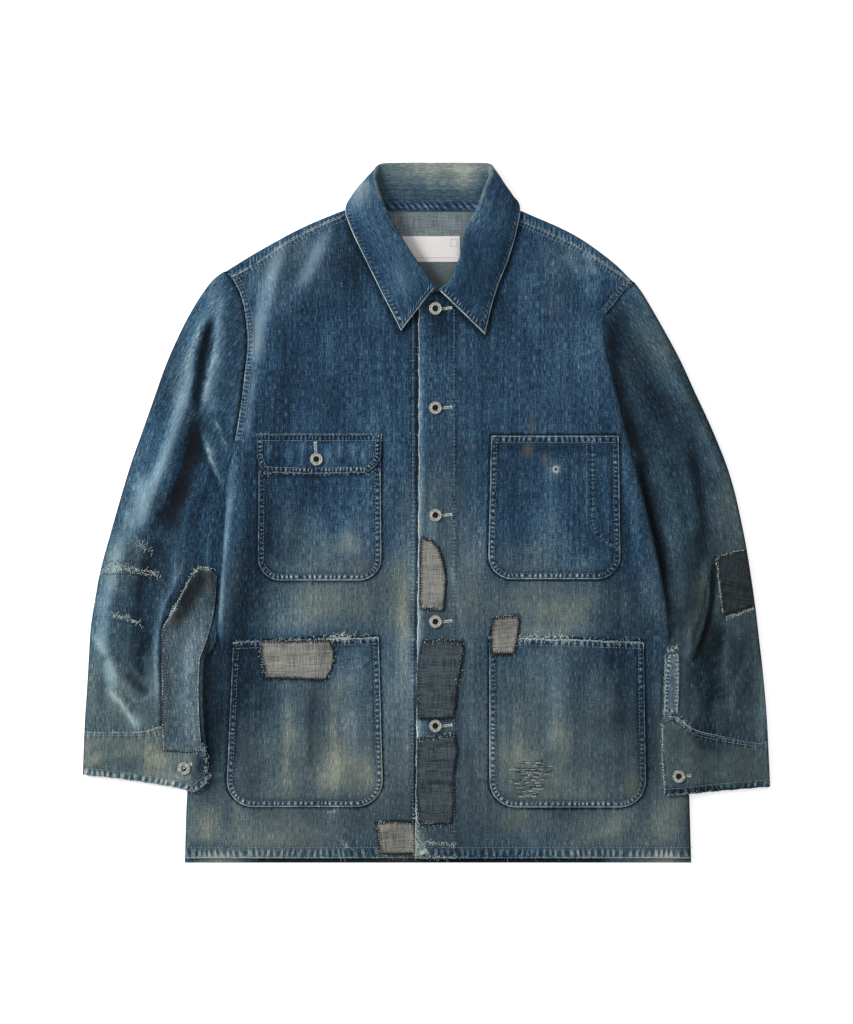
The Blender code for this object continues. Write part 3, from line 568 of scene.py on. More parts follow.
def sheet_piece(name, cloth, thickness, finishes, **ties):
    """Finish a piece of cloth and put it in the scene."""
    points, outer, inner, walls = shell(cloth.points(), cloth.faces, thickness)
    obj = put_in_scene(name, points, [outer, walls, inner], [finishes[0], finishes[0], finishes[-1]],
                       cloth.looks())
    return dress(obj, **cloth.cut(), **ties)


def body_piece(name, cloth, sizes, **ties):
    """A piece of the body's denim."""
    sheet_piece(name, cloth, sizes.cloth_thickness / MM, [denim("body_denim"), reverse_denim()],
                slot="denim_body", **ties)


# ---- Finishes ----

class Wire:
    """A number coming out of a shader node, on which sums can be written."""

    def __init__(self, finish, socket):
        self.finish = finish
        self.socket = socket

    def sum(self, operation, *values):
        """A Math node on this wire and other values."""
        return self.finish.sum(operation, *values)

    def __add__(self, other):
        return self.sum("ADD", self, other)

    def __radd__(self, other):
        return self.sum("ADD", other, self)

    def __sub__(self, other):
        return self.sum("SUBTRACT", self, other)

    def __rsub__(self, other):
        return self.sum("SUBTRACT", other, self)

    def __mul__(self, other):
        return self.sum("MULTIPLY", self, other)

    def __rmul__(self, other):
        return self.sum("MULTIPLY", other, self)

    def __truediv__(self, other):
        return self.sum("DIVIDE", self, other)

    def sine(self):
        """Sine of the wire."""
        return self.sum("SINE", self)

    def between(self, low, high):
        """Ease from 0 to 1 as the wire goes from low to high."""
        return self.finish.node("ShaderNodeMapRange", {"Value": self, "From Min": low, "From Max": high},
                                interpolation_type="SMOOTHSTEP")


class Nodes:
    """The shader nodes of a material or a world in the making."""

    def __init__(self, owner):
        owner.use_nodes = True
        self.tree = owner.node_tree

    def node(self, kind, inputs=None, out=0, stops=None, **settings):
        """Add a node of any kind: its settings first, then the values or wires of its sockets."""
        node = self.tree.nodes.new(kind)
        for key, value in settings.items():
            setattr(node, key, value)
        if stops:
            ramp = node.color_ramp
            while len(ramp.elements) < len(stops):
                ramp.elements.new(1.0)
            for element, (place, colour) in zip(ramp.elements, stops):
                element.position = place
                element.color = (*colour, 1.0)
        for key, value in (inputs or {}).items():
            if isinstance(value, Wire):
                self.tree.links.new(value.socket, node.inputs[key])
            else:
                node.inputs[key].default_value = value
        return Wire(self, node.outputs[out])

    def sum(self, operation, *values):
        """A Math node on wires or numbers."""
        return self.node("ShaderNodeMath", dict(enumerate(values)), operation=operation)

    def mix(self, share, a, b, blend="MIX"):
        """Mix two colours."""
        a, b = [(*c, 1.0) if isinstance(c, tuple) and len(c) == 3 else c for c in (a, b)]
        return self.node("ShaderNodeMix", {0: share, 6: a, 7: b}, out=2, data_type="RGBA", blend_type=blend)

    def lead(self, wire, shader, socket):
        """Lead a wire into a shader's socket."""
        self.tree.links.new(wire.socket, shader.inputs[socket])

    def seen(self, least):
        """1 for what the camera sees, straight, mirrored or through glass; at least a given value."""
        for ray in ("Camera", "Glossy", "Transmission"):
            least = self.sum("MAXIMUM", self.node("ShaderNodeLightPath", out=f"Is {ray} Ray"), least)
        return least


class Finish(Nodes):
    """A material in the making."""

    def __init__(self, name, roughness=0.9, metallic=0.0, sheen=0.0):
        self.material = bpy.data.materials.new(name)
        super().__init__(self.material)
        self.shader = self.tree.nodes["Principled BSDF"]
        self.shader.inputs["Roughness"].default_value = roughness
        self.shader.inputs["Metallic"].default_value = metallic
        self.shader.inputs["Sheen Weight"].default_value = sheen
        self.shader.inputs["Specular IOR Level"].default_value = 0.5 if metallic else 0.15

    def read(self, name):
        """The three numbers of an attribute of the cloth, and the wire of all three."""
        kept = self.node("ShaderNodeAttribute", attribute_name=name, out="Vector")
        return [self.node("ShaderNodeSeparateXYZ", {0: kept}, out=k) for k in range(3)] + [kept]

    def speckle(self, vector, pace, detail):
        """Noise whose pace along each direction is given for a millimetre."""
        scaled = self.node("ShaderNodeVectorMath", {0: vector, 1: pace}, operation="MULTIPLY")
        return self.node("ShaderNodeTexNoise", {"Vector": scaled, "Scale": 1.0, "Detail": detail})

    def paint(self, colour, bump=None, depth=0.2, strength=0.6, roughness=None):
        """Lead the colour and the bump into the shader."""
        self.lead(colour, self.shader, "Base Color")
        if roughness:
            self.lead(roughness, self.shader, "Roughness")
        if bump:
            relief = {"Height": bump, "Distance": depth * MM, "Strength": strength}
            self.lead(self.node("ShaderNodeBump", relief), self.shader, "Normal")
        return self.material


def made(name, make):
    """A finish by name, made the first time that it is asked for."""
    return bpy.data.materials.get(name) or make(name)


def colours():
    """The jacket's colours, as the panel has them."""
    return bpy.context.scene.jacket_colours


def toned(colour, share=1.0):
    """A colour made darker or paler, as plain numbers."""
    return tuple(min(1.0, x * share) for x in colour)


Denim = namedtuple("Denim", "lift contrast edge_wear tint")      # how one denim differs from another
DENIMS = {
    "body_denim": Denim(0.0, 1.0, 0.5, (1.0, 1.0, 1.0)),
    "denim_sleeve_right": Denim(0.0, 1.0, 0.4, (0.99, 1.02, 0.99)),
    "denim_sleeve_left": Denim(-0.01, 1.0, 0.4, (0.98, 1.0, 0.97)),
    "denim_cuff_right": Denim(0.04, 1.0, 0.25, (1.0, 1.0, 0.97)),
    "denim_cuff_left": Denim(0.0, 1.0, 0.2, (1.0, 1.0, 0.98)),
    "denim_collar": Denim(0.0, 0.85, 0.9, (1.0, 1.0, 1.0)),
    "denim_forearm_patch": Denim(0.0, 1.2, 0.3, (1.03, 1.0, 1.0)),
}


def denim(name):
    """Washed indigo twill: streaked along the warp, pale where it is worn, stained in places, with painted
    light and shade on its folds.
    """
    lift, contrast, edge_wear, tint = DENIMS[name]

    def make(name):
        c = colours()
        cloth = Finish(name, roughness=0.92, sheen=0.06)
        _, _, edge, grain = cloth.read("grain")
        along_seam, deep, drawn, _ = cloth.read("seam")
        fade, stain, grime, _ = cloth.read("look")
        warp = cloth.speckle(grain, (1.1, 0.13, 0), 1.0)
        weft = cloth.speckle(grain, (0.11, 1.1, 0), 1.0)
        slub = cloth.speckle(grain, (0.34, 0.014, 0), 2.0)
        fleck = cloth.speckle(grain, (0.8, 0.8, 0), 2.0)
        blotch = cloth.speckle(grain, (0.075, 0.036, 0), 3.0)
        cloud = cloth.speckle(grain, (0.024, 0.009, 0), 3.0)
        wave = (along_seam * PUCKER_PACE + (along_seam / 7.1 + 1.0).sine() * 1.5
                + (along_seam / 3.1).sine() * 0.9).sine()
        # pale worn line along the cloth's edges
        edge_band = 1.0 - (edge + (fleck - 0.5) * 2.2 + (blotch - 0.5) * 2.4).between(0.4, 1.5)
        fine = (warp - 0.5) * 0.85 + (weft - 0.5) * 0.36 + (fleck - 0.5) * 0.6 + (slub - 0.5) * 0.4
        broad = (blotch - 0.5) * 0.13 + (cloud - 0.5) * 0.25
        puckers = drawn * (wave.between(-0.3, 0.65) * (blotch * 1.2 + 0.3) - 0.4) * 0.8
        wear = (fade + lift + fine * contrast * (fade * -0.95 + 1.52) + broad + puckers
                + edge_band * edge_wear)
        indigo = cloth.node("ShaderNodeValToRGB", {0: wear}, stops=[
            (0.0, toned(c.indigo, 0.14)), (0.2, toned(c.indigo, 0.42)), (0.4, toned(c.indigo)),
            (0.6, toned(c.washed)), (0.8, toned(c.faded)), (1.0, toned(c.worn))])
        soil = grime * (1.0 - edge_band) * (1.0 - drawn)
        greyed = cloth.mix(soil, indigo, toned(c.grime), "MULTIPLY")
        dusty = cloth.mix(soil * DUST * fade.between(0.12, 0.42), greyed, toned(c.dust))
        soiled = cloth.mix(stain * (blotch * 1.3 + fleck * 0.7), dusty, toned(c.stain))
        tinted = cloth.mix(1.0, soiled, tint, "MULTIPLY")
        # painted light and shade of the folds: the colour scaled up on ridges and down in valleys, the
        # brightest mixed towards a pale painted highlight
        power = cloth.sum("EXPONENT", deep * FOLD_LIGHT_STRENGTH)
        tinted = cloth.node("ShaderNodeVectorMath", {0: tinted, "Scale": power}, operation="SCALE")
        tinted = cloth.mix(deep.between(0.0, 0.75), tinted, toned(c.faded, 1.35))
        return cloth.paint(tinted, fleck * 0.9 + warp * 0.7 + weft * 0.5, depth=0.35, strength=0.7)
    return made(name, make)


def reverse_denim():
    """The inside of the denim: mostly pale weft."""
    def make(name):
        inside_colour = colours().reverse
        cloth = Finish(name, roughness=0.94, sheen=0.1)
        grain = cloth.read("grain")[-1]
        fade = cloth.read("look")[0]
        fleck = cloth.speckle(grain, (0.9, 0.9, 0), 3.0)
        warp = cloth.speckle(grain, (0.7, 0.05, 0), 2.0)
        weft = cloth.speckle(grain, (0.05, 0.8, 0), 2.0)
        share = (fleck - 0.5) * 1.7 + (warp - 0.5) * 1.1 + (weft - 0.5) * 1.3 + fade + 0.14
        woven = cloth.mix(share.between(0.0, 1.0), toned(inside_colour, 0.42), toned(inside_colour, 1.12))
        return cloth.paint(woven, fleck, depth=0.3)
    return made("denim_inside", make)


def patch_cloth(name, colour, contrast=1.0):
    """Plain-woven patch cloth, threads crossing, darkened round its rim by its frayed edge and painted shade.
    """
    def make(name):
        cloth = Finish(name, roughness=0.93, sheen=0.1)
        u, v, edge, grain = cloth.read("grain")
        fade = cloth.read("look")[0]
        warp = cloth.speckle(grain, (0.9, 0.05, 0), 2.0)
        weft = cloth.speckle(grain, (0.05, 0.9, 0), 2.0)
        fleck = cloth.speckle(grain, (0.9, 0.8, 0), 3.0)
        band = cloth.speckle(grain, (0.01, 0.12, 0), 2.0)
        edge_band = 1.0 - (edge + (fleck - 0.5) * 1.4).between(0.2, 1.4)
        threads = (fleck - 0.5) * 1.2 + (warp - 0.5) * 1.2 + (weft - 0.5) * 1.1 + (band - 0.5) * 0.8
        # the rim darker: frayed edge and painted shade
        share = threads * contrast + fade + 0.5 + edge_band * -0.4
        weave = (u * 6.0).sine() * (v * 6.0).sine()
        woven = cloth.mix(share.between(0.0, 1.0), toned(colour, 0.45), toned(colour, 1.75))
        return cloth.paint(woven, weave * 0.3 + fleck, depth=0.3)
    return made(name, make)


def thread(name, colour):
    """Spun sewing thread."""
    dark, pale = toned(colour, 0.6), toned(colour, 1.25)

    def make(name):
        cotton = Finish(name, roughness=0.85, sheen=0.2)
        place = cotton.node("ShaderNodeTexCoord", out="Object")
        fleck = cotton.speckle(place, (900.0, 900.0, 900.0), 2.0)
        return cotton.paint(cotton.mix(fleck.between(0.3, 0.7), dark, pale), fleck, depth=0.1)
    return made(name, make)


# ---- The stage ----

FLOOR_HALF = 30.0      # metres, as everything in this part
FLOOR_DROP = 0.0004    # how far the floor lies below the jacket
LENS = 85.0
FAR_CLIP = 50.0
CAMERA_PLACE = (0.0, 0.0006)
LAMPS = [              # name, place, size and share of the key light
    ("key_lamp", (-2.6, 1.1, 1.6), 1.1, 1.0), ("soft_lamp", (1.4, 1.2, 2.8), 2.2, 0.12)]


def make_floor():
    """A wide floor that looks white to the camera."""
    half, z = FLOOR_HALF, -FLOOR_DROP
    mesh = bpy.data.meshes.new("floor")
    mesh.from_pydata([(-half, -half, z), (half, -half, z), (half, half, z), (-half, half, z)], [],
                     [(0, 1, 2, 3)])
    pale = Finish("floor_paint", roughness=0.9)
    seen = pale.seen(0.0)
    pale.paint(pale.mix(seen, (0.8, 0.8, 0.8), (0.98, 0.98, 0.98)))
    pale.lead(pale.mix(seen, (0.0, 0.0, 0.0), (0.55, 0.55, 0.55)), pale.shader, "Emission Color")
    pale.shader.inputs["Emission Strength"].default_value = 1.0
    mesh.materials.append(pale.material)
    add("floor", mesh)


def make_stage(view):
    """A pale floor, soft lamps and a camera straight above."""
    scene = bpy.context.scene
    scene.world = bpy.data.worlds.new("studio")
    sky = Nodes(scene.world)
    background = sky.tree.nodes["Background"]
    background.inputs["Color"].default_value = (1.0, 1.0, 1.0, 1.0)
    sky.lead(sky.seen(view.fill), background, "Strength")
    make_floor()
    for name, place, size, share in LAMPS:
        data = bpy.data.lights.new(name, "AREA")
        data.size = size
        data.energy = view.key * share
        lamp = add(name, data)
        lamp.location = place
        lamp.rotation_euler = (-Vector(place)).to_track_quat("-Z", "Y").to_euler()
    data = bpy.data.cameras.new("camera")
    data.lens = LENS
    data.clip_end = FAR_CLIP
    scene.camera = add("camera", data)
    scene.camera.location = (*CAMERA_PLACE, view.camera_height)
    scene.view_settings.view_transform = "Standard"


# ---- How worn the jacket is, and its painted light and shade, by place ----
# The tables of fade and painted shade, grime and stain hold rows of Blob; those of lines of painted light and
# of creases hold rows of Crease.

# soft worn and unworn places, and painted shade beside the sleeves, round the neck and below the hem
BODY_FADE_AND_SHADE = [
    (-118, -104, 52, 28, 0.34), (-75, -30, 26, 40, 0.08), (152, -112, 56, 24, 0.34),
    (-225, -352, 40, 30, 0.32), (-150, -365, 26, 22, 0.14), (210, -360, 40, 20, 0.26, -20),
    (272, -335, 20, 50, 0.26), (165, 288, 34, 18, 0.16, -30), (176, 172, 26, 50, 0.13),
    (-140, 175, 30, 60, -0.06, 8), (20, 218, 22, 26, -0.14), (-86, 272, 20, 46, -0.16),
    (200, 235, 10, 22, -0.14), (-185, 0, 14, 70, -0.14), (-205, -100, 22, 50, -0.16),
    (-212, -185, 26, 56, -0.24), (212, -162, 34, 28, -0.16), (208, -95, 14, 30, -0.12),
    (-24, -150, 16, 100, 0.3), (-22, -40, 14, 50, 0.14), (-20, -290, 14, 70, 0.12), (48, -60, 26, 62, 0.2),
    (38, 178, 8, 30, 0.12), (55, -230, 16, 70, 0.08), (22, 20, 16, 40, 0.05), (230, 20, 12, 60, -0.06),
    (242, -70, 12, 60, -0.05, 6), (294, -350, 6, 36, -0.2), (-60, -345, 40, 14, -0.04),
    (60, 110, 30, 20, 0.05), (110, -350, 30, 16, 0.12), (275, -388, 20, 6, 0.2), (-240, -388, 26, 6, 0.25),
    (-125, 225, 14, 14, 0.04), (-60, 110, 24, 24, 0.05), (-210, 40, 10, 30, -0.05),
    (80, 228, 10, 22, -0.1, 20), (-120, 234, 20, 14, -0.07), (-166, 130, 16, 40, -0.1),
    (-120, 138, 20, 16, -0.05), (130, -82, 30, 14, 0.12), (122, -134, 26, 7, 0.14),
    (192, -116, 12, 12, -0.12), (-68, -282, 14, 24, 0.1), (-140, -302, 40, 24, 0.1),
    (72, -256, 14, 30, 0.12), (35, -110, 10, 30, 0.08), (-41, -200, 12, 40, 0.08), (-19, -70, 8, 30, 0.06),
    (100, -285, 24, 20, 0.08), (154, -257, 18, 20, 0.06), (128, -190, 40, 16, 0.07),
    (-130, -190, 60, 16, 0.06), (-112, -360, 16, 20, 0.12), (0, -250, 240, 120, 0.05),
    (-45, -110, 24, 30, 0.08), (130, 72, 90, 8, -0.06), (-182, -22, 10, 60, -0.06), (230, -388, 50, 6, 0.1),
    (-200, -388, 30, 6, 0.08), (30, -396, 130, 9, -0.16), (-30, -130, 16, 60, 0.08),
    (-40, -250, 26, 60, 0.08), (-140, -250, 70, 80, 0.05), (80, -285, 60, 40, 0.06),
    (-225, -355, 30, 30, 0.08), (-242, -305, 9, 20, -0.1), (205, 10, 40, 100, -0.05),
    (-130, 130, 60, 60, -0.03), (-185, -70, 16, 80, -0.06), (-70, 236, 20, 20, 0.05),
    (52, -100, 24, 50, 0.05), (-210, -150, 30, 10, -0.08), (276, -370, 14, 22, 0.05),
    (10, 200, 12, 20, -0.05), (28, -20, 10, 40, 0.05), (-155, -125, 30, 14, 0.12), (150, -60, 60, 40, 0.03),
    (-222, -347, 12, 14, -0.14), (-81, 272, 16, 26, -0.08), (-130, 224, 24, 14, -0.06, 20),
    (-188, 196, 10, 22, -0.08), (10, 222, 14, 14, -0.12), (90, 234, 8, 24, -0.1), (-174, 58, 12, 22, -0.07),
    (214, -121, 16, 12, -0.08), (218, -212, 10, 20, -0.07), (100, -246, 10, 26, -0.14),
    (-109, -223, 8, 24, -0.1), (-126, -84, 26, 12, 0.08), (-64, -300, 16, 24, 0.16),
    (-132, -257, 14, 20, 0.07), (-149, -310, 24, 18, 0.09), (-98, -336, 14, 10, 0.14),
    (-160, -360, 26, 14, 0.11), (-109, -380, 20, 8, 0.13), (-240, -392, 26, 6, 0.28),
    (266, -392, 26, 6, 0.28), (154, -134, 44, 8, 0.12), (185, -84, 24, 20, 0.07), (92, -93, 20, 16, 0.08),
    (188, -178, 14, 20, 0.08), (134, -165, 24, 20, 0.09), (151, -302, 18, 14, 0.15),
    (106, -332, 34, 12, 0.1), (220, -342, 16, 14, 0.14), (258, -348, 12, 18, 0.1),
    (162, -376, 34, 10, 0.12), (156, -251, 10, 16, 0.09), (-7, -376, 6, 10, 0.28),
    (-194, 167, 10, 16, 0.07), (-188, 22, 9, 24, 0.07), (155, 88, 60, 4, 0.08), (140, 138, 16, 20, 0.04),
    (140, -14, 12, 16, 0.05), (-96, -290, 34, 34, 0.1), (-262, -353, 10, 24, 0.1),
    (112, -118, 60, 20, 0.04), (-50, -290, 8, 60, 0.05), (-173, 240, 12, 22, 0.1), (-188, 165, 9, 22, 0.06),
    (-140, 298, 12, 18, 0.18, -20), (-145, 248, 12, 12, 0.1), (-115, 34, 20, 10, -0.09),
    (-100, -148, 34, 8, -0.14), (-122, -172, 14, 22, -0.12), (-75, -215, 7, 40, -0.1),
    (143, -192, 9, 26, -0.22), (-97, -316, 10, 10, -0.1), (-14, -138, 8, 10, 0.16), (38, -138, 9, 10, 0.14),
    (-13, -196, 6, 20, 0.12), (-60, -22, 14, 30, 0.07), (-80, -74, 30, 12, 0.07),
    (-176, -255, 14, 20, 0.08), (-142, -255, 12, 20, 0.08), (-155, -338, 30, 12, 0.1),
    (-190, -372, 40, 16, 0.1), (106, -340, 34, 20, 0.08), (190, -350, 60, 30, 0.09),
    (10, -308, 16, 20, 0.08), (15, 36, 12, 14, 0.08), (-14, 0, 6, 30, 0.1), (-225, -345, 8, 22, -0.08),
    (-244, -232, 8, 34, -0.16), (-248, -270, 8, 20, -0.2), (-240, -165, 8, 16, -0.14),
    (-150, -388, 60, 5, 0.1), (170, -388, 50, 5, 0.08), (252, -280, 7, 50, -0.12), (150, 298, 9, 12, -0.1),
    (142, 272, 9, 12, 0.12), (182, 256, 10, 12, 0.12), (-80, -145, 30, 5, -0.1), (91, -142, 14, 7, -0.14),
    (18, -188, 12, 30, -0.12), (-120, -160, 12, 16, -0.1), (-25, -330, 10, 16, -0.06),
    (228, -362, 10, 10, -0.1), (154, -335, 24, 12, -0.07), (-106, -290, 16, 14, -0.08),
    (163, -28, 24, 20, -0.07), (-180, 108, 8, 16, -0.08), (-253, -270, 9, 34, -0.14), (-13, 85, 4, 20, 0.1),
    (-186, 250, 14, 24, 0.13), (-120, -162, 12, 20, -0.12), (-109, -268, 8, 20, -0.08),
    (49, -280, 7, 24, -0.08), (15, -215, 14, 34, -0.1), (-36, -165, 7, 30, -0.08),
    (-222, -361, 9, 20, -0.16), (117, -31, 10, 16, -0.12), (-42, -62, 14, 20, 0.1),
    (-64, -364, 24, 16, 0.1), (-174, -375, 26, 14, 0.09), (-248, -356, 9, 26, 0.14),
    (97, -375, 14, 10, 0.1), (125, -206, 8, 30, 0.1), (156, -257, 20, 26, 0.09), (-58, 25, 6, 30, 0.08),
    (-126, -8, 10, 24, 0.08), (190, -302, 24, 10, 0.1), (-137, -212, 12, 30, 0.08),
    (-16, -206, 5, 26, 0.14), (12, -302, 14, 24, 0.09), (-200, 195, 10, 12, -0.12),
    (213, 180, 6, 40, -0.08), (186, 245, 9, 16, 0.1), (-108, 225, 26, 24, -0.05), (86, -146, 14, 10, -0.1),
    (270, -362, 16, 24, 0.08), (230, -365, 14, 12, -0.06), (-204, -158, 26, 8, -0.1),
    (216, -150, 20, 40, -0.07), (238, -225, 24, 34, -0.1), (-238, -268, 12, 24, -0.12),
    (-234, -225, 8, 34, -0.12), (50, -300, 8, 50, -0.07), (-120, -166, 10, 20, -0.06),
    (143, -225, 6, 30, -0.1), (150, -340, 30, 14, -0.07), (-178, 84, 26, 26, -0.07),
    (-92, -26, 9, 9, 0.13, 20), (-80, -40, 7, 10, 0.12, -20), (10, -305, 10, 30, 0.1),
    (-17, -262, 6, 20, 0.1), (115, -278, 14, 14, 0.1), (-115, -304, 10, 10, 0.1)]
# painted light and shade in long bright and dark bands, with some wear along the placket
BODY_LIGHT_LINES = [
    ([(-156, 320), (-166, 292), (-176, 262), (-184, 232), (-190, 200), (-193, 160)], 0.36, 12, 15),
    ([(-188, 235), (-193, 170), (-200, 120), (-207, 60)], 0.2, 9, 8),
    ([(-104, 334), (-118, 306), (-130, 280), (-146, 246)], 0.3, 13, 12),
    ([(26, -44), (32, -90), (41, -140)], 0.16, 7, 4), ([(-15, 20), (-15, -60), (-14, -110)], 0.14, 6, 6),
    ([(-13, -160), (-13, -200)], 0.14, 6, 6), ([(150, 298), (158, 292)], -0.12, 12, 8),
    ([(212, -10), (216, -30), (222, -60)], 0.08, 8, 8), ([(175, 285), (182, 262), (184, 240)], 0.12, 9, 8),
    ([(-240, -150), (-244, -200), (-250, -250), (-254, -300)], -0.14, 8, 8),
    ([(-128, -190), (-130, -250), (-132, -310)], -0.12, 9, 9),
    ([(-88, -160), (-86, -240), (-84, -310)], 0.1, 20, 18),
    ([(146, -150), (142, -220), (138, -280)], 0.12, 16, 14),
    ([(170, -160), (172, -230), (168, -300)], -0.08, 8, 8),
    ([(188, -160), (192, -230), (196, -300)], 0.07, 9, 12), ([(110, -350), (124, -390)], 0.1, 9, 9),
    ([(-186, 292), (-196, 262), (-198, 235)], 0.12, 6, 6),
    ([(150, 322), (160, 290), (178, 262)], 0.14, 10, 10),
    ([(178, 302), (186, 280), (196, 262)], 0.16, 7, 8),
    ([(200, 236), (202, 196), (214, 140), (232, 70), (250, -10), (268, -90)], -0.12, 5, 9),
    ([(-215, 60), (-222, 0), (-229, -70), (-234, -150)], 0.26, 5, 6),
    ([(-240, -150), (-249, -215), (-256, -270), (-262, -320)], -0.26, 12, 8),
    ([(-7, 244), (-6, 120), (-7, -20), (-9, -140), (-10, -290), (-10, -392)], 0.22, 5, 4),
    ([(8, 60), (6, -40), (10, -130)], 0.14, 10, 10),
    ([(196, 235), (206, 190), (224, 90), (243, 0), (262, -80), (276, -160), (288, -300)], -0.12, 6, 12),
    ([(37, 190), (36, 0), (37, -380)], -0.08, 4, 4), ([(92, 300), (110, 240), (132, 190)], 0.06, 12, 12),
    ([(-60, 130), (-64, 60), (-60, 20)], 0.06, 8, 8), ([(60, 200), (62, 120), (58, 40)], -0.06, 7, 7)]
BODY_GRIME = [
    (-80, -90, 140, 44, 0.8), (150, -105, 110, 40, 1.0), (-215, -352, 70, 50, 1.0),
    (272, -335, 45, 70, 1.0), (20, -40, 34, 110, 0.6), (-165, 235, 18, 60, 0.15), (0, -310, 280, 110, 0.55),
    (-230, -260, 24, 90, 0.4), (262, -250, 26, 90, 0.4), (-150, 290, 60, 40, 0.4),
    (10, -330, 320, 110, 0.4), (215, -300, 60, 90, 0.5), (-190, -250, 60, 90, 0.35),
    (290, -340, 30, 70, 0.6), (-70, -100, 60, 60, 0.4), (160, 280, 30, 30, 0.3), (-100, -290, 50, 50, 0.7),
    (150, -290, 80, 50, 0.8), (-110, -205, 46, 26, 0.6), (110, -200, 90, 32, 0.55), (50, -165, 30, 50, 0.3),
    (215, -350, 44, 40, 0.5), (0, 15, 34, 34, 0.45), (-150, -22, 26, 34, 0.45), (208, -220, 24, 60, 0.4),
    (-205, -345, 40, 30, 0.3), (105, -50, 30, 22, 0.35), (-205, -130, 26, 80, 0.4),
    (150, 190, 60, 60, -0.35), (-80, 190, 60, 40, -0.25)]
BODY_STAIN = [
    (-136, -368, 22, 16, 0.22), (-160, -352, 16, 12, 0.2), (98, -352, 14, 9, 0.35, 20),
    (288, -330, 22, 30, 0.15), (120, 98, 5, 14, 0.25), (52, 75, 3, 3, 0.4), (146, 238, 12, 22, 0.1),
    (-50, -322, 8, 10, 0.3), (-28, -388, 30, 6, 0.3)]
# soft worn and unworn places, and painted shade beside the body and round the forearm patch
SLEEVE_FADE_AND_SHADE = {
    RIGHT: [
        (-345, -225, 50, 40, 0.16), (-378, -190, 12, 60, 0.08), (-258, 20, 22, 46, -0.13),
        (-244, -30, 14, 36, -0.1), (-325, -165, 16, 26, -0.2), (-335, -94, 26, 16, -0.12),
        (-346, -36, 14, 18, 0.1), (-300, -40, 12, 20, -0.12), (-225, 262, 8, 10, -0.1),
        (-345, -170, 34, 60, 0.08), (-318, -120, 14, 50, -0.1), (-275, -80, 12, 30, -0.06),
        (-238, 240, 12, 24, 0.06), (-246, 120, 10, 40, 0.05), (-256, 82, 9, 22, -0.42),
        (-290, 186, 7, 44, 0.2, -28), (-322, 62, 8, 30, 0.1, -20), (-256, -64, 9, 22, -0.18),
        (-286, -112, 8, 20, -0.2), (-313, -66, 12, 18, -0.24), (-305, -34, 9, 20, -0.16, 20),
        (-324, -122, 14, 16, -0.12), (-280, -46, 9, 14, 0.1), (-345, -76, 14, 22, 0.1),
        (-362, -122, 10, 20, 0.1), (-322, -246, 12, 12, 0.12), (-234, 232, 9, 20, 0.1),
        (-288, -14, 14, 12, -0.1), (-260, -208, 6, 30, 0.08), (-353, -54, 10, 20, 0.06)],
    LEFT: [
        (345, -190, 45, 60, -0.08), (340, -14, 14, 30, 0.08), (336, 10, 14, 40, 0.08),
        (382, -200, 6, 60, 0.1), (213, 195, 10, 36, -0.22), (318, -150, 18, 20, -0.12),
        (292, -205, 10, 30, 0.05), (270, 60, 24, 60, -0.04, 20), (238, 160, 12, 60, -0.1, 20),
        (238, 24, 10, 40, -0.08, 15), (258, -58, 8, 34, -0.14, 10), (275, -136, 6, 14, -0.2),
        (308, -42, 9, 24, -0.14), (315, -250, 20, 16, -0.1), (374, -200, 9, 30, 0.12),
        (272, -268, 8, 20, 0.1), (318, 66, 10, 20, -0.1, 20), (312, -185, 34, 60, -0.1),
        (296, 30, 34, 110, -0.06, 12), (316, -262, 30, 16, -0.1), (264, 110, 26, 60, -0.05, 20),
        (268, 200, 8, 30, 0.08, 28), (283, 172, 8, 20, 0.06, 28)],
}
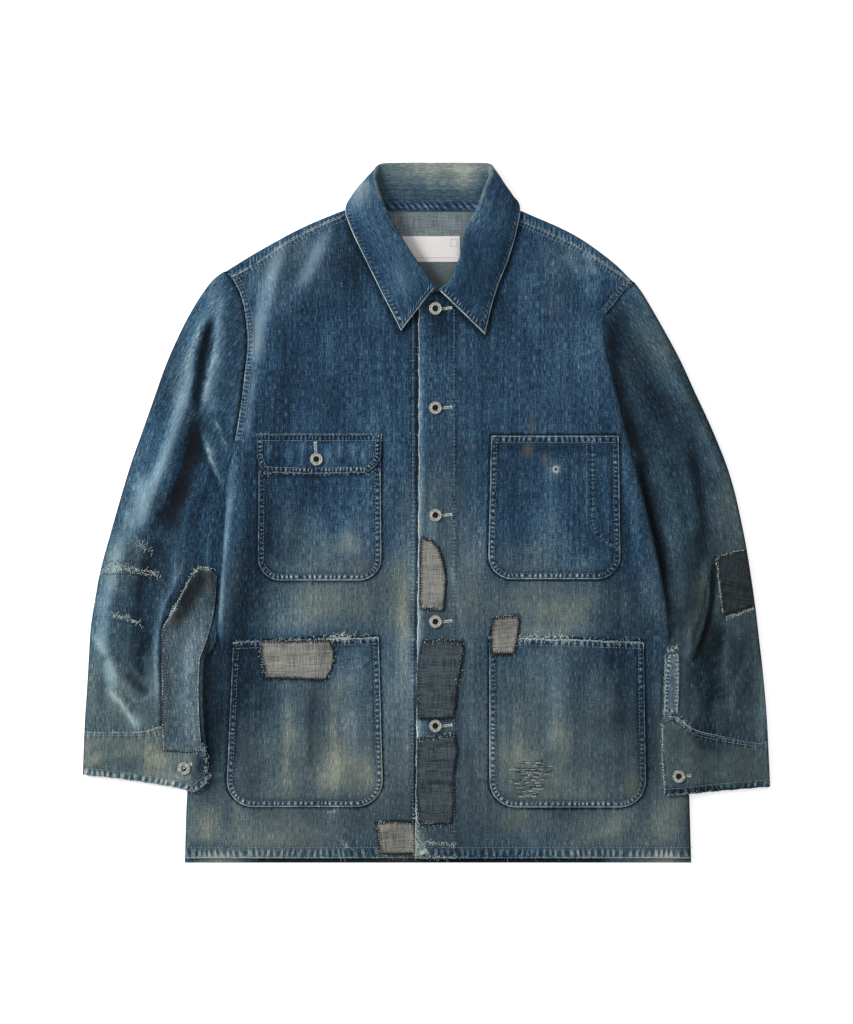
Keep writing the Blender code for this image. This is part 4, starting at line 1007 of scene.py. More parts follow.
# painted highlights on ridges and painted shade in valleys, from the shoulder down
SLEEVE_FOLD_LIGHT = {
    RIGHT: [
        ([(-238, 226), (-243, 208), (-249, 180), (-253, 155), (-257, 128), (-259, 104)], -0.6, 2.4, 10),
        ([(-260, 118), (-264, 94), (-267, 66), (-273, 42), (-281, 16), (-291, -8),
          (-302, -30)], -0.66, 15, 11),
        ([(-284, 20), (-296, -8), (-308, -40)], 0.16, 8, 8),
        ([(-300, 40), (-312, 10), (-326, -24)], 0.14, 7, 10),
        ([(-262, 182), (-265, 160), (-270, 136)], 0.14, 6, 6), ([(-240, 122), (-243, 110)], 0.16, 7, 5),
        ([(-230, 262), (-243, 238), (-254, 212), (-262, 188), (-268, 160), (-274, 130), (-281, 104),
          (-289, 76), (-300, 46), (-314, 14), (-330, -20)], 0.2, 8, 9),
        ([(-268, 150), (-276, 120), (-286, 86), (-300, 50), (-318, 12)], 0.22, 12, 13),
        ([(-262, 236), (-280, 196), (-296, 156), (-308, 120)], -0.12, 7, 8),
        ([(-300, 70), (-320, 22), (-342, -30), (-359, -90), (-364, -150), (-350, -210),
          (-330, -250)], 0.3, 11, 16),
        ([(-250, 262), (-272, 230), (-292, 190), (-310, 140)], 0.1, 9, 12),
        ([(-258, 96), (-268, 40), (-284, -3), (-310, -46), (-322, -80), (-328, -126)], -0.16, 9, 9),
        ([(-238, 208), (-244, 178), (-247, 160)], -0.14, 5, 5),
        ([(-360, -150), (-366, -178), (-364, -205)], -0.18, 7, 10),
        ([(-229, 242), (-234, 224), (-238, 206)], 0.24, 6, 6),
        ([(-262, 164), (-268, 142), (-275, 118)], 0.18, 6, 6), ([(-236, 134), (-240, 112)], 0.14, 7, 7),
        ([(-326, 60), (-322, 20), (-320, -6), (-334, -30)], 0.16, 12, 12),
        ([(-369, -90), (-369, -120)], 0.1, 8, 8), ([(-334, -224), (-322, -246)], 0.16, 16, 14),
        ([(-236, 40), (-238, 0)], 0.08, 8, 10), ([(-322, -150), (-312, -190), (-318, -230)], 0.1, 10, 10),
        ([(-300, -20), (-318, -60), (-326, -110), (-326, -150)], -0.16, 10, 9),
        ([(-232, 236), (-236, 200), (-242, 162), (-248, 132), (-250, 112)], 0.2, 20, 3),
        ([(-222, 262), (-212, 240), (-207, 215), (-206, 180), (-209, 140), (-214, 108)], -0.16, 5, 12),
        ([(-240, 110), (-233, 94), (-227, 78), (-221, 65)], 0.26, 1.8, 2),
        ([(-238, 107), (-231, 92), (-224, 76), (-219, 66)], -0.16, 3, 1.8),
        ([(-256, 102), (-249, 77), (-241, 55), (-233, 36), (-226, 18)], 0.17, 3.2, 1.6),
        ([(-260, 98), (-253, 74), (-245, 53), (-237, 34), (-229, 12)], -0.3, 1.8, 8),
        ([(-290, -34), (-283, -60), (-287, -86)], 0.12, 8, 8),
        ([(-266, -42), (-280, -72), (-292, -98), (-301, -124), (-304, -165), (-302, -205),
          (-301, -240)], 0.22, 2.2, 5),
        ([(-386, -128), (-366, -150), (-354, -175), (-345, -202)], 0.15, 7, 8),
        ([(-364, -196), (-345, -213), (-333, -231), (-321, -247)], 0.2, 4, 5),
        ([(-345, -180), (-330, -212), (-316, -210), (-303, -194)], 0.1, 3, 3),
        ([(-326, -164), (-314, -165), (-302, -163)], 0.08, 2, 2),
        ([(-236, -124), (-243, -144), (-249, -162), (-250, -200), (-249, -240)], -0.8, 4, 3),
        ([(-340, -176), (-326, -196), (-310, -204)], -0.14, 7, 6)],
    LEFT: [
        ([(216, 246), (207, 222), (207, 190), (213, 160), (221, 128), (230, 95), (238, 60), (247, 20),
          (257, -20), (267, -60), (276, -100), (283, -134)], -0.46, 13, 5),
        ([(226, 215), (232, 160), (244, 110), (258, 50), (274, -20)], -0.12, 16, 16),
        ([(232, 232), (245, 200), (258, 172), (271, 146), (288, 112)], 0.07, 17, 15),
        ([(262, 228), (280, 194), (296, 160), (316, 116), (334, 72)], -0.07, 9, 7),
        ([(252, 150), (268, 110), (282, 70)], -0.07, 20, 20),
        ([(256, 216), (274, 180), (292, 142), (310, 104), (326, 64)], -0.14, 8, 8),
        ([(212, 226), (222, 170), (234, 100), (248, 30), (262, -50)], -0.08, 16, 6),
        ([(226, 80), (238, 24), (251, -40), (265, -104), (276, -142)], -0.16, 9, 6),
        ([(262, 216), (284, 170), (304, 124), (322, 84)], -0.06, 6, 6),
        ([(296, 84), (303, 52), (308, 20), (311, -10), (313, -40), (317, -64)], -0.26, 9, 10),
        ([(266, -6), (274, -34), (280, -62)], 0.1, 6, 6),
        ([(300, -30), (306, -60), (308, -90), (303, -118), (292, -150)], -0.34, 9, 12),
        ([(262, -40), (268, -80), (274, -110), (282, -142)], -0.42, 5, 5),
        ([(300, -16), (304, -40)], -0.2, 9, 9),
        ([(214, 242), (224, 206), (233, 168), (242, 112)], -0.12, 8, 8),
        ([(286, 150), (306, 104), (322, 62)], -0.09, 9, 9),
        ([(260, 36), (268, 0), (272, -20)], -0.09, 9, 9),
        ([(296, -134), (297, -150), (290, -166)], 0.22, 5, 6),
        ([(378, -160), (382, -200), (384, -250)], 0.2, 4, 6), ([(277, -180), (279, -212)], -0.18, 8, 8),
        ([(374, -214), (378, -262)], 0.12, 7, 7), ([(303, -24), (308, -46)], -0.2, 9, 9),
        ([(276, -122), (274, -146)], -0.22, 6, 6),
        ([(325, -44), (322, -70), (321, -96), (316, -124), (308, -150), (298, -174)], -0.62, 6, 1.8),
        ([(330, -118), (320, -140), (312, -172)], -0.2, 14, 8),
        ([(340, -222), (356, -226), (380, -214)], 0.05, 3, 3),
        ([(300, -232), (320, -216), (336, -206)], 0.05, 3, 3)],
}
SLEEVE_GRIME = {
    RIGHT: [
        (-345, -215, 70, 80, 1.1), (-345, -60, 40, 30, 0.6), (-290, 150, 30, 80, 0.3, 30),
        (-320, -40, 50, 100, 0.3), (-255, -220, 22, 110, 0.5), (-312, -250, 40, 34, 0.3),
        (-280, 60, 24, 60, -0.2, 20)],
    LEFT: [
        (345, -200, 90, 120, 2.2), (300, 90, 90, 200, 0.4), (342, 0, 20, 60, 0.8), (250, 190, 30, 40, 0.5)],
}


# ---- The body ----

def side_line(side, low, high, step=3.0, out=0.0):
    """The body's outer edge from one height to another."""
    y = np.linspace(low, high, max(2, int(abs(high - low) / step) + 1))
    return np.column_stack([side_edge(side, y) + side * out, y])


def shoulder_line(side, gap):
    """The shoulder seam on the front, from its outer end to the neck, at a gap from the back's edge."""
    x = np.linspace(-225.0, -90.0, 56) if side == RIGHT else np.linspace(232.0, 102.0, 54)
    lap = along(LAP[side], x)
    return np.column_stack([x, along(SHOULDER_FOLD, x) - lap - gap])


def body_wear_and_light(cloth, fade=0.0):
    """Fade, stains and grime of the body at a piece's points, and its painted light and shade."""
    cloth.fade += WASHED + fade + blobs(cloth.xy, BODY_FADE_AND_SHADE)
    cloth.deep += creased(cloth.xy, BODY_LIGHT_LINES)
    cloth.stain += blobs(cloth.xy, BODY_STAIN)
    cloth.grime += np.clip(blobs(cloth.xy, BODY_GRIME), 0, 1)


def shade_patches(cloth, name, width, amount):
    """Painted shade: darken the cloth round the patches that lie on it."""
    for patch in PATCHES:
        if name in patch.ground:
            cloth.shade(closed(patch.outline), width, amount)


def join(parts):
    """Stack the looks of several surfaces."""
    return {key: np.vstack([part[key] for part in parts]) for key in parts[0]}


def make_back(sizes):
    """The back: flat where it rests, with painted shade inside the neck, wrapped over the shoulders to the
    fronts.
    """
    fold = curved(SHOULDER_FOLD[::-1], 2.4)
    rim = ring([(-273, HEM_BACK)], side_line(1, HEM_BACK, 258, 4), fold, side_line(-1, 270, HEM_BACK, 4))
    cloth = Cloth(rim, grain=5.5, bands=[(Path(fold), (1.2, 2.6))])
    cloth.z = cloth.follow("back", times=6, below=True)
    cloth.z = np.maximum(cloth.z, 0.0)
    body_wear_and_light(cloth)
    # painted shade inside the neck, deepest towards its foot
    in_neck = smooth((cloth.y - 236) / 8) * (np.abs(cloth.x - 5) < 80)
    cloth.fade -= in_neck * (0.48 * smooth((296 - cloth.y) / 30) + 0.04)
    # painted shadow on the back's hem strip below the fronts
    cloth.fade -= 0.5 * smooth((-387.0 - cloth.y) / 3.0) * smooth((215 - np.abs(cloth.x)) / 30)
    flat = cloth.points()
    looks, points, faces = [cloth.looks()], [flat], [cloth.faces[:, ::-1]]
    count = len(flat)
    on_fold = np.abs(Path(fold).near(cloth.rim)[0]) < 0.3
    for side, low, high in ((RIGHT, -224.0, -88.0), (LEFT, 100.0, 231.0)):
        places = [k for k in range(len(cloth.rim)) if on_fold[k] and low < cloth.rim[k, 0] < high]
        places.sort(key=lambda k: cloth.rim[k, 0])
        edge = cloth.rim[places]
        lap = along(LAP[side], edge[:, 0])
        steps = [(math.sin(a), 1 - math.cos(a)) for a in np.linspace(0.25, math.pi / 2, 6)]
        rows = [cloth.border[places]]
        top = height([solid_tree("back")], edge - np.column_stack([lap * 0, np.minimum(4.0, lap * 0.7)]))
        top = evened(top)
        lap = np.maximum(lap, 3.2)
        strip = [(run * 2.4 + lap * 0, rise) for rise, run in steps]
        strip += [(2.4 + (lap - 2.4) * share, 1.0 - 0.12 * (share == 1.0))
                  for share in (0.2, 0.4, 0.6, 0.8, 0.93, 1.0)]
        for depth, rise in strip:
            q = edge - np.column_stack([lap * 0, depth])
            body = pucker_wave(edge[:, 0]) * sizes.pucker_height / MM * 0.6 * smooth((depth - 2) / 3)
            row = np.column_stack([q, top * rise + body])
            rows.append(count + np.arange(len(row)))
            points.append(row)
            looks.append({
                "grain": np.column_stack([q, np.where(rise < 1.0, FAR, np.abs(lap - depth))]),
                # painted light and shade of the body's bands, in the middle of the seam attribute
                "seam": np.column_stack([edge[:, 0], creased(q, BODY_LIGHT_LINES), 0.35 * smooth((depth - 2) / 3)]),
                "look": np.column_stack([LAP_FADE + blobs(q, BODY_FADE_AND_SHADE), lap * 0, lap * 0, lap * 0 + 1])})
            count += len(row)
        for a, b in zip(rows, rows[1:]):
            quads = np.column_stack([a[:-1], b[:-1], b[1:], a[1:]])
            faces += [quads[:, [0, 1, 2]], quads[:, [0, 2, 3]]]
    outer = np.vstack(faces)
    near_rim = np.full(count, False)
    near_rim[:len(flat)] = cloth.off(cloth.outline) < 9
    turned = near_rim[outer].all(1) & (np.vstack(points)[outer[:, 0], 1] < 300)
    points, outer, inner, walls = shell(np.vstack(points), outer, sizes.cloth_thickness / MM)
    rolled = np.vstack([walls[:, :3], walls[:, [0, 2, 3]], inner[turned]])
    obj = put_in_scene("back_panel", points, [outer, rolled, inner[~turned]],
                       [denim("body_denim")] * 2 + [reverse_denim()], join(looks))
    dress(obj, ["back"], "denim_body", flat=(0.60, 0.76), area=0.39)


FRONT_CREASES = {
    RIGHT: [
        ([(-188, 232), (-172, 170), (-176, 110), (-196, 60)], 0.9, 14, 12),
        ([(-120, 285), (-106, 230), (-110, 180)], 0.6, 12, 16),
        ([(-206, 70), (-210, -20), (-216, -110)], 0.8, 9, 9),
        ([(-60, 190), (-44, 120), (-34, 40)], 0.5, 12, 12),
        ([(-150, -345), (-120, -362), (-90, -352)], 0.6, 9, 9),
        ([(-215, -345), (-226, -368), (-232, -388)], 0.6, 8, 8),
        ([(-40, -110), (-46, -180), (-38, -260)], 0.5, 8, 10)],
    LEFT: [
        ([(205, 205), (188, 160), (196, 110)], 0.7, 12, 14),
        ([(120, 290), (118, 230), (128, 180)], 0.6, 14, 12),
        ([(228, 60), (236, -20), (252, -110)], 0.9, 8, 10),
        ([(50, 210), (56, 130), (50, 40)], 0.45, 12, 12),
        ([(258, -170), (266, -250), (276, -330)], 0.8, 8, 8),
        ([(140, -345), (180, -366), (230, -352)], 0.6, 9, 9),
        ([(54, -120), (50, -200), (56, -300)], 0.45, 8, 8)],
}


def make_front(side, sizes):
    """A front: rolled at its side, felled at the armhole and shoulder, hemmed, worn along its edge."""
    name, node = FRONT[side], FRONT[side].removesuffix("_panel")
    neck = curved(NECKLINE[side], 3.0)
    y = np.linspace(246, HEM_FRONT, 160)
    free = np.column_stack([free_edge(side, y), y])
    if side == LEFT:
        free[:, 0] += 0.35 * np.sin(y / 7.0)
        free[:, 0] += 0.25 * np.sin(y / 2.9)
    seam = shoulder_line(side, 0.4)
    hem = np.array([(free[-1, 0], HEM_FRONT), (side_edge(side, HEM_FRONT), HEM_FRONT)])
    edge = side_line(side, HEM_FRONT, seam[0, 1] - 1.0)
    armhole = Path(edge[edge[:, 1] > ARMHOLE_LOW[side]])
    stitch_x = FRONT_STITCH[side]
    placket = Path([(stitch_x, -388), (stitch_x, 238)])
    rim = ring(edge, seam, neck, free, hem)
    hem_line, shoulder = Path(hem), Path(seam)
    bands = [(hem_line, (0.7, 1.6, 3, 4.5, 6, 7.5, 9, 10.5, 12, 13.2)),
             (Path(edge), (0.6, 1.3, 2.2, 3.4, 4.8)), (armhole, (6.4,)),
             (shoulder, (0.7, 1.6, 2.8, 4.0, 5.4, 6.8)), (placket, (0, 1.1, 2.2))]
    if side == LEFT:
        bands.append((Path(free), (0.7, 1.5, 2.5, 3.8)))
    cloth = Cloth(rim, grain=3.3, bands=bands)
    top = cloth.follow(node, times=18)
    gap = cloth.off(Path(edge))
    turned = smooth((84 - cloth.y) / 30) if side == RIGHT else smooth((236 - cloth.y) / 20)
    foot = height([solid_tree("back")], cloth.xy) + 0.4
    bow = np.sqrt(1 - (1 - np.minimum(gap / 5.0, 1.0)) ** 2)
    rolled = np.minimum(foot + (top - foot) * bow, top)
    cloth.z = top + (rolled - top) * turned * (gap < 6)
    away = smooth(gap / 16)
    cloth.z += creased(cloth.xy, FRONT_CREASES[side]) * sizes.crease_height
    cloth.z += (uneven(cloth.xy, 60, 3 + side) * 0.28 + uneven(cloth.xy, 22, 8 + side) * 0.12) * away
    pucker = sizes.pucker_height / MM
    cloth.sew(hem_line, 5.6, 4.0, 0.62, pucker * 1.2, grooves=(12.2,), pace=0.62)
    cloth.sew(armhole, 3.8, 3.2, 0.36, pucker, grooves=(1.3, 7.0), raised=0.5)
    cloth.sew(shoulder, 3.2, 3.0, 0.36, pucker * 0.8, grooves=(1.4, 5.4), raised=0.3)
    cloth.sew(placket, 0.0, 2.4, 0.25, pucker * 0.6, grooves=(0.0,))
    beside = (stitch_x - cloth.x) * side
    cloth.z += 0.35 * smooth((beside + 1.5) / 3.0) * (cloth.y < 236)
    cloth.wear_edge(hem_line)
    cloth.wear_edge(armhole, 0.7)
    cloth.wear_edge(shoulder, 0.5)
    if side == LEFT:
        cloth.wear_edge(Path(free), 0.5)
        cloth.fade += 0.10 * hump(cloth.x + 6, 5.0)
    cloth.fade -= 0.08 * hump(beside + 2.0, 1.6)
    # painted shade round the pockets and patches that lie on the front
    for pocket in (n for n, p in POCKETS.items() if p.x0 * side > 0):
        border, mouth = pocket_lines(pocket)
        cloth.shade(Path(np.vstack([mouth, border])), 1.3, 0.62, 0.7)
    shade_patches(cloth, name, 1.6, 0.4)
    # painted shadow of the collar's leaf
    leaf = [station.edge for station in COLLAR[::-side][:6]]
    cloth.shade(Path([COLLAR[::-side][0].roll[:2]] + leaf), 4.5, 0.3)
    # painted shadow of the left front's edge on the right front
    if side == RIGHT:
        cloth.shade(Path([(-9.5, 240), (-9.5, 0), (-11.5, -250), (-13, -390)]), 2.2, 0.6, 1.4)
    body_wear_and_light(cloth)
    cloth.rub_high_places(0.16)
    body_piece(name, cloth, sizes, nodes=[node], rests_on=["back_panel"])


# ---- Sleeves ----

SLEEVE_CREASES = {
    RIGHT: [
        ([(-238, 226), (-243, 208), (-249, 180), (-253, 155), (-257, 128), (-259, 104)], -2.6, 3, 10),
        ([(-257, 118), (-262, 94), (-268, 66), (-276, 42), (-289, 12), (-303, -12),
          (-316, -34)], -2.2, 14, 9),
        ([(-234, 220), (-238, 192), (-244, 162), (-250, 132), (-254, 106)], 2.0, 15, 3),
        ([(-257, 102), (-250, 77), (-242, 57), (-234, 38), (-226, 18)], 1.4, 9, 2.5),
        ([(-243, 109), (-235, 94), (-228, 78), (-221, 63)], 1.0, 6, 2.5),
        ([(-243, 238), (-263, 188), (-278, 130), (-293, 76), (-314, 14), (-345, -50)], 1.6, 10, 16),
        ([(-240, 40), (-256, 0), (-262, -50)], -1.0, 9, 10),
        ([(-276, -60), (-297, -110), (-303, -180), (-301, -262)], 1.2, 3, 12),
        ([(-380, -130), (-356, -170), (-345, -202)], 1.0, 6, 8),
        ([(-364, -196), (-345, -213), (-333, -231), (-321, -247)], 1.2, 4, 6),
        ([(-340, -176), (-326, -196), (-310, -204)], -1.1, 7, 7),
        ([(-310, -128), (-322, -165), (-318, -190)], -0.9, 8, 8),
        ([(-352, 20), (-330, -20), (-322, -80)], 0.9, 10, 12),
        ([(-362, -80), (-330, -100), (-306, -128)], 0.8, 7, 7),
        ([(-235, 0), (-246, -50), (-243, -110)], 1.0, 6, 8),
        ([(-274, -205), (-262, -232), (-256, -262)], 0.6, 5, 5)],
    LEFT: [
        ([(246, 230), (275, 172), (304, 118), (332, 50), (344, 0)], 1.5, 14, 16),
        ([(325, -44), (322, -70), (321, -96), (316, -124), (308, -150), (298, -174)], -2.6, 7, 2.4),
        ([(316, -46), (312, -80), (308, -108), (299, -134), (288, -162)], 2.2, 4, 15),
        ([(212, 225), (215, 150), (240, 50), (262, -40), (280, -126)], -1.8, 16, 8),
        ([(294, 84), (302, 52), (308, 20), (312, -10), (316, -44)], -1.2, 9, 9),
        ([(262, 60), (274, 20), (288, -40)], 0.9, 12, 12),
        ([(340, -130), (338, -180), (346, -240)], 0.9, 10, 10),
        ([(318, -160), (322, -200), (312, -236)], -0.9, 8, 8),
        ([(372, -150), (352, -190), (340, -232)], 0.7, 8, 8),
        ([(300, -190), (306, -215), (300, -238)], 0.7, 5, 5)],
}
GRAIN_LINES = {      # along which the warp of each sleeve runs
    RIGHT: [(-130, 330), (-222, 238), (-280, 140), (-318, 40), (-336, -60), (-342, -330)],
    LEFT: [(150, 330), (238, 228), (290, 140), (330, 30), (346, -70), (346, -340)],
}


def tube(name, node, side, rim, grain, ends, thickness, finish, slot, detail, rim_step=2.4, **ties):
    """A tube of cloth pressed flat: an upper and a lower sheet joined along its outer and inner edges."""
    out_table, in_table = SLEEVE_OUT[side], SLEEVE_IN[side]
    y = np.linspace(-330, 274, 300)
    outer, inner = Path(at_heights(out_table, y)), Path(at_heights(in_table, y[y <= UNDERARM]))
    close = (0.5, 1.1, 1.9, 3.0, 4.4)
    upper = Cloth(rim, grain, bands=[(outer, close), (inner, close), *ends], rim_step=rim_step)
    lower = Cloth(rim, grain * 2.2, bands=[(outer, close[::3]), (inner, close[::3])], rim_step=rim_step)
    heights = []
    for cloth in (upper, lower):
        top = cloth.follow(node, times=12 if cloth is upper else 3)
        low = np.maximum(cloth.follow(node, times=6 if cloth is upper else 3, below=True), 0.0)
        gap = np.minimum(cloth.off(outer), cloth.off(inner))
        bow = np.sqrt(1 - (1 - np.minimum(gap / 4.2, 1.0)) ** 2)
        middle = low + (top - low) * 0.45
        heights.append((top, low, middle, bow, gap))
    top, _, middle, bow, gap = heights[0]
    upper.z = middle + (top - middle) * bow
    _, low, middle, bow, _ = heights[1]
    lower.z = middle - (middle - low) * bow
    line = Path(curved(GRAIN_LINES[side], 8.0))
    for cloth in (upper, lower):
        across, length, _ = line.near(cloth.xy)
        cloth.grain = np.column_stack([across, -length])
        # worn places and painted shade, painted fold light and shade, then grime
        cloth.fade += WASHED + blobs(cloth.xy, SLEEVE_FADE_AND_SHADE[side])
        cloth.deep += np.clip(creased(cloth.xy, SLEEVE_FOLD_LIGHT[side]), -0.9, 0.42)
        cloth.grime += np.clip(blobs(cloth.xy, SLEEVE_GRIME[side]), 0, 1)
    detail(upper, smooth(gap / 12))
    shared = (np.abs(outer.near(upper.rim)[0]) < 0.25) | (np.abs(inner.near(upper.rim)[0]) < 0.25)
    place = np.arange(len(lower.xy)) + len(upper.xy)
    mean = (upper.z[upper.border] + lower.z[lower.border]) / 2
    upper.z[upper.border[shared]] = mean[shared]
    place[lower.border[shared]] = upper.border[shared]
    faces = np.vstack([upper.faces, place[lower.faces[:, ::-1]]])
    points = np.vstack([upper.points(), lower.points()])
    looks = join([upper.looks(), lower.looks()])
    used = np.unique(faces)
    new = np.full(len(points), -1)
    new[used] = np.arange(len(used))
    points, outside, inside_faces, walls = shell(points[used], new[faces], thickness)
    obj = put_in_scene(name, points, [outside, walls, inside_faces], [finish, finish, reverse_denim()],
                       {key: values[used] for key, values in looks.items()})
    dress(obj, [node], slot, **upper.cut(layers=2), **ties)


def sleeve_parts(side):
    """The sleeve's cuff seam and its outer and inner edges down to it."""
    out_table, in_table = SLEEVE_OUT[side], SLEEVE_IN[side]
    return curved(CUFF_SEAM[side], 2.5)[::side], out_table, in_table     # from the inner end outwards


def make_sleeve(side, sizes):
    """A sleeve with its pressed folds, from the armhole to the cuff."""
    seam, out_table, in_table = sleeve_parts(side)
    tip = SLEEVE_TIP[side]
    end = seam + np.array([0.0, 0.5])
    y_out, y_in = np.arange(tip, end[-1, 1] + 1, -3.0), np.arange(end[0, 1] + 1, UNDERARM, 3.0)
    outer, inner = at_heights(out_table, y_out), at_heights(in_table, y_in)
    end[-1, 0], end[0, 0] = along(out_table, end[-1, 1]), along(in_table, end[0, 1])
    hole = side_line(side, UNDERARM, tip, out=-1.5)
    rim = ring(outer, end[::-1], inner, hole)
    armhole = Path(hole[hole[:, 1] > ARMHOLE_LOW[side]])
    ends = [(Path(end), (0.8, 1.8, 3.0)), (armhole, (0.8, 1.8, 3.0))]

    def detail(cloth, away):
        cloth.z += creased(cloth.xy, SLEEVE_CREASES[side]) * sizes.crease_height * away
        cloth.z += (uneven(cloth.xy, 34, 20 + side) * 0.35 + uneven(cloth.xy, 15, 30 + side) * 0.13) * away
        cloth.sew(Path(end), 0.0, 3.0, 0.4, sizes.pucker_height / MM * 0.7)
        cloth.z -= 1.9 * (1.0 - smooth((cloth.off(armhole) - 0.8) / 2.4))
        # painted shade along the armhole and round the patches
        cloth.shade(armhole, 2.6, 0.36, 1.6)
        shade_patches(cloth, SLEEVE[side], *((2.2, 0.3) if side == RIGHT else (2.0, 0.25)))
        cloth.rub_high_places(0.2)

    node = SLEEVE[side].removesuffix("_tube")
    tube(SLEEVE[side], node, side, rim, 3.0, ends, sizes.cloth_thickness / MM, denim("denim_" + node),
         "denim_body", detail, rests_on=[FRONT[side]])


# worn places, and painted shade at the right cuff's inner end beside the body
CUFF_FADE_AND_SHADE = {
    RIGHT: [
        (-318, -280, 90, 40, 0.14), (-292, -280, 26, 18, 0.3), (-253, -284, 9, 16, -0.42),
        (-340, -296, 70, 6, 0.12), (-372, -270, 14, 14, 0.16), (-290, -303, 22, 7, 0.3),
        (-312, -272, 14, 12, 0.12), (-368, -268, 20, 12, -0.06), (-378, -290, 10, 14, 0.1),
        (-336, -262, 14, 8, 0.1)],
    LEFT: [
        (330, -280, 80, 40, 0.07), (330, -314, 80, 5, -0.36), (296, -270, 12, 26, 0.06),
        (340, -262, 26, 8, -0.05)],
}


def make_cuff(side, sizes):
    """A cuff: a doubled band round the sleeve's end, puckered along its hem."""
    seam, out_table, in_table = sleeve_parts(side)
    hem = curved(CUFF_HEM[side], 2.5)[::side]
    top, low = seam.copy(), hem.copy()
    low[:, 1] += 0.3 * np.sin(low[:, 0] / 3.1) + 0.2 * np.sin(low[:, 0] / 1.1)
    for line in (top, low):
        line[-1, 0], line[0, 0] = along(out_table, line[-1, 1]), along(in_table, line[0, 1])
    y_out = np.arange(top[-1, 1] - 2, low[-1, 1] + 1, -3.0)
    y_in = np.arange(low[0, 1] + 2, top[0, 1] - 1, 3.0)
    outer, inner = at_heights(out_table, y_out), at_heights(in_table, y_in)
    rim = ring(top, outer, low[::-1], inner)
    hem_line, seam_line = Path(low), Path(top)
    ends = [(hem_line, (0.6, 1.5, 2.6, 3.9, 5.4, 7.0, 8.6)), (seam_line, (0.6, 1.4, 2.4, 3.6, 5.0))]

    def detail(cloth, away):
        cloth.z += (uneven(cloth.xy, 18, 40 + side) * 0.25 + uneven(cloth.xy, 9, 44 + side) * 0.12) * away
        pucker = sizes.pucker_height / MM
        cloth.sew(hem_line, 3.6, 3.2, 0.66, pucker * 1.1, grooves=(8.0,), pace=0.62)
        cloth.sew(seam_line, 4.4, 4.0, 0.4, pucker, grooves=(1.6, 4.6), pace=0.62)
        cloth.wear_edge(hem_line, 0.4)
        cloth.wear_edge(seam_line, 0.6)
        cloth.fade += blobs(cloth.xy, CUFF_FADE_AND_SHADE[side])
        cloth.grime += 0.5
        cloth.rub_high_places(0.25)

    node = CUFF[side].removesuffix("_band")
    tube(CUFF[side], node, side, rim, 2.2, ends, 1.2, denim("denim_" + node), "denim_worn", detail,
         rim_step=1.6)


# ---- The collar ----

Station = namedtuple("Station", "seam roll edge turn")
COLLAR = [       # from the wearer's right point round to the left: neck seam, roll and edge of the leaf
    Station((7, 247), (10, 254, 10.6), (-28.8, 205), 0),
    Station((-10, 255), (3.8, 262, 11.6), (-36, 220), 0),
    Station((-32, 267), (-13.5, 286, 12.2), (-51, 249), 0),
    Station((-61, 292), (-31, 314, 12.6), (-69, 286), 0),
    Station((-77, 320), (-46, 342, 13.2), (-83.5, 316), 5),
    Station((-82, 333), (-55, 366, 13.6), (-91.5, 341), 30),
    Station((-74, 340), (-57, 382, 12.4), (-83, 354), 80),
    Station((-60, 341), (-51, 392, 7.6), (-63, 352), 140),
    Station((-25, 341), (-24, 394, 3.7), (-24, 350), 180),
    Station((10, 341), (10, 394, 3.5), (10, 350), 180),
    Station((45, 341), (44, 394, 3.7), (44, 350), 180),
    Station((80, 341), (71, 392, 7.6), (82, 352), 140),
    Station((88, 340), (73, 381, 12.4), (98, 354), 80),
    Station((95, 333), (66, 366, 13.6), (105.5, 343), 30),
    Station((90, 318), (57, 342, 13.2), (100.5, 314), 5),
    Station((77, 291), (43, 313, 12.6), (91.5, 284), 0),
    Station((52, 267), (37.5, 286, 12.2), (80, 255), 0),
    Station((31, 256), (27.5, 262, 11.6), (72, 228), 0),
    Station((18, 247), (14.2, 250.6, 10.6), (65.8, 200.6), 0),
]
ROLL_RADIUS = 1.9      # at the middle of the collar's cloth
LEAF_PUFF = 2.2        # how far the leaf stands off between its roll and its edge
HALF_COLLAR = 1.0      # half the collar's thickness
COLLAR_ROWS = 300
ROLL_ROWS = np.array([-3.3, -2.2, -1.1, 0, 1.1, 2.2, 3.3])       # close rows over the roll
EDGE_ROWS = np.array([8, 6.8, 5.6, 4.6, 3.6, 2.6, 1.7, 1.0, 0.45, 0])      # and along the leaf's edge


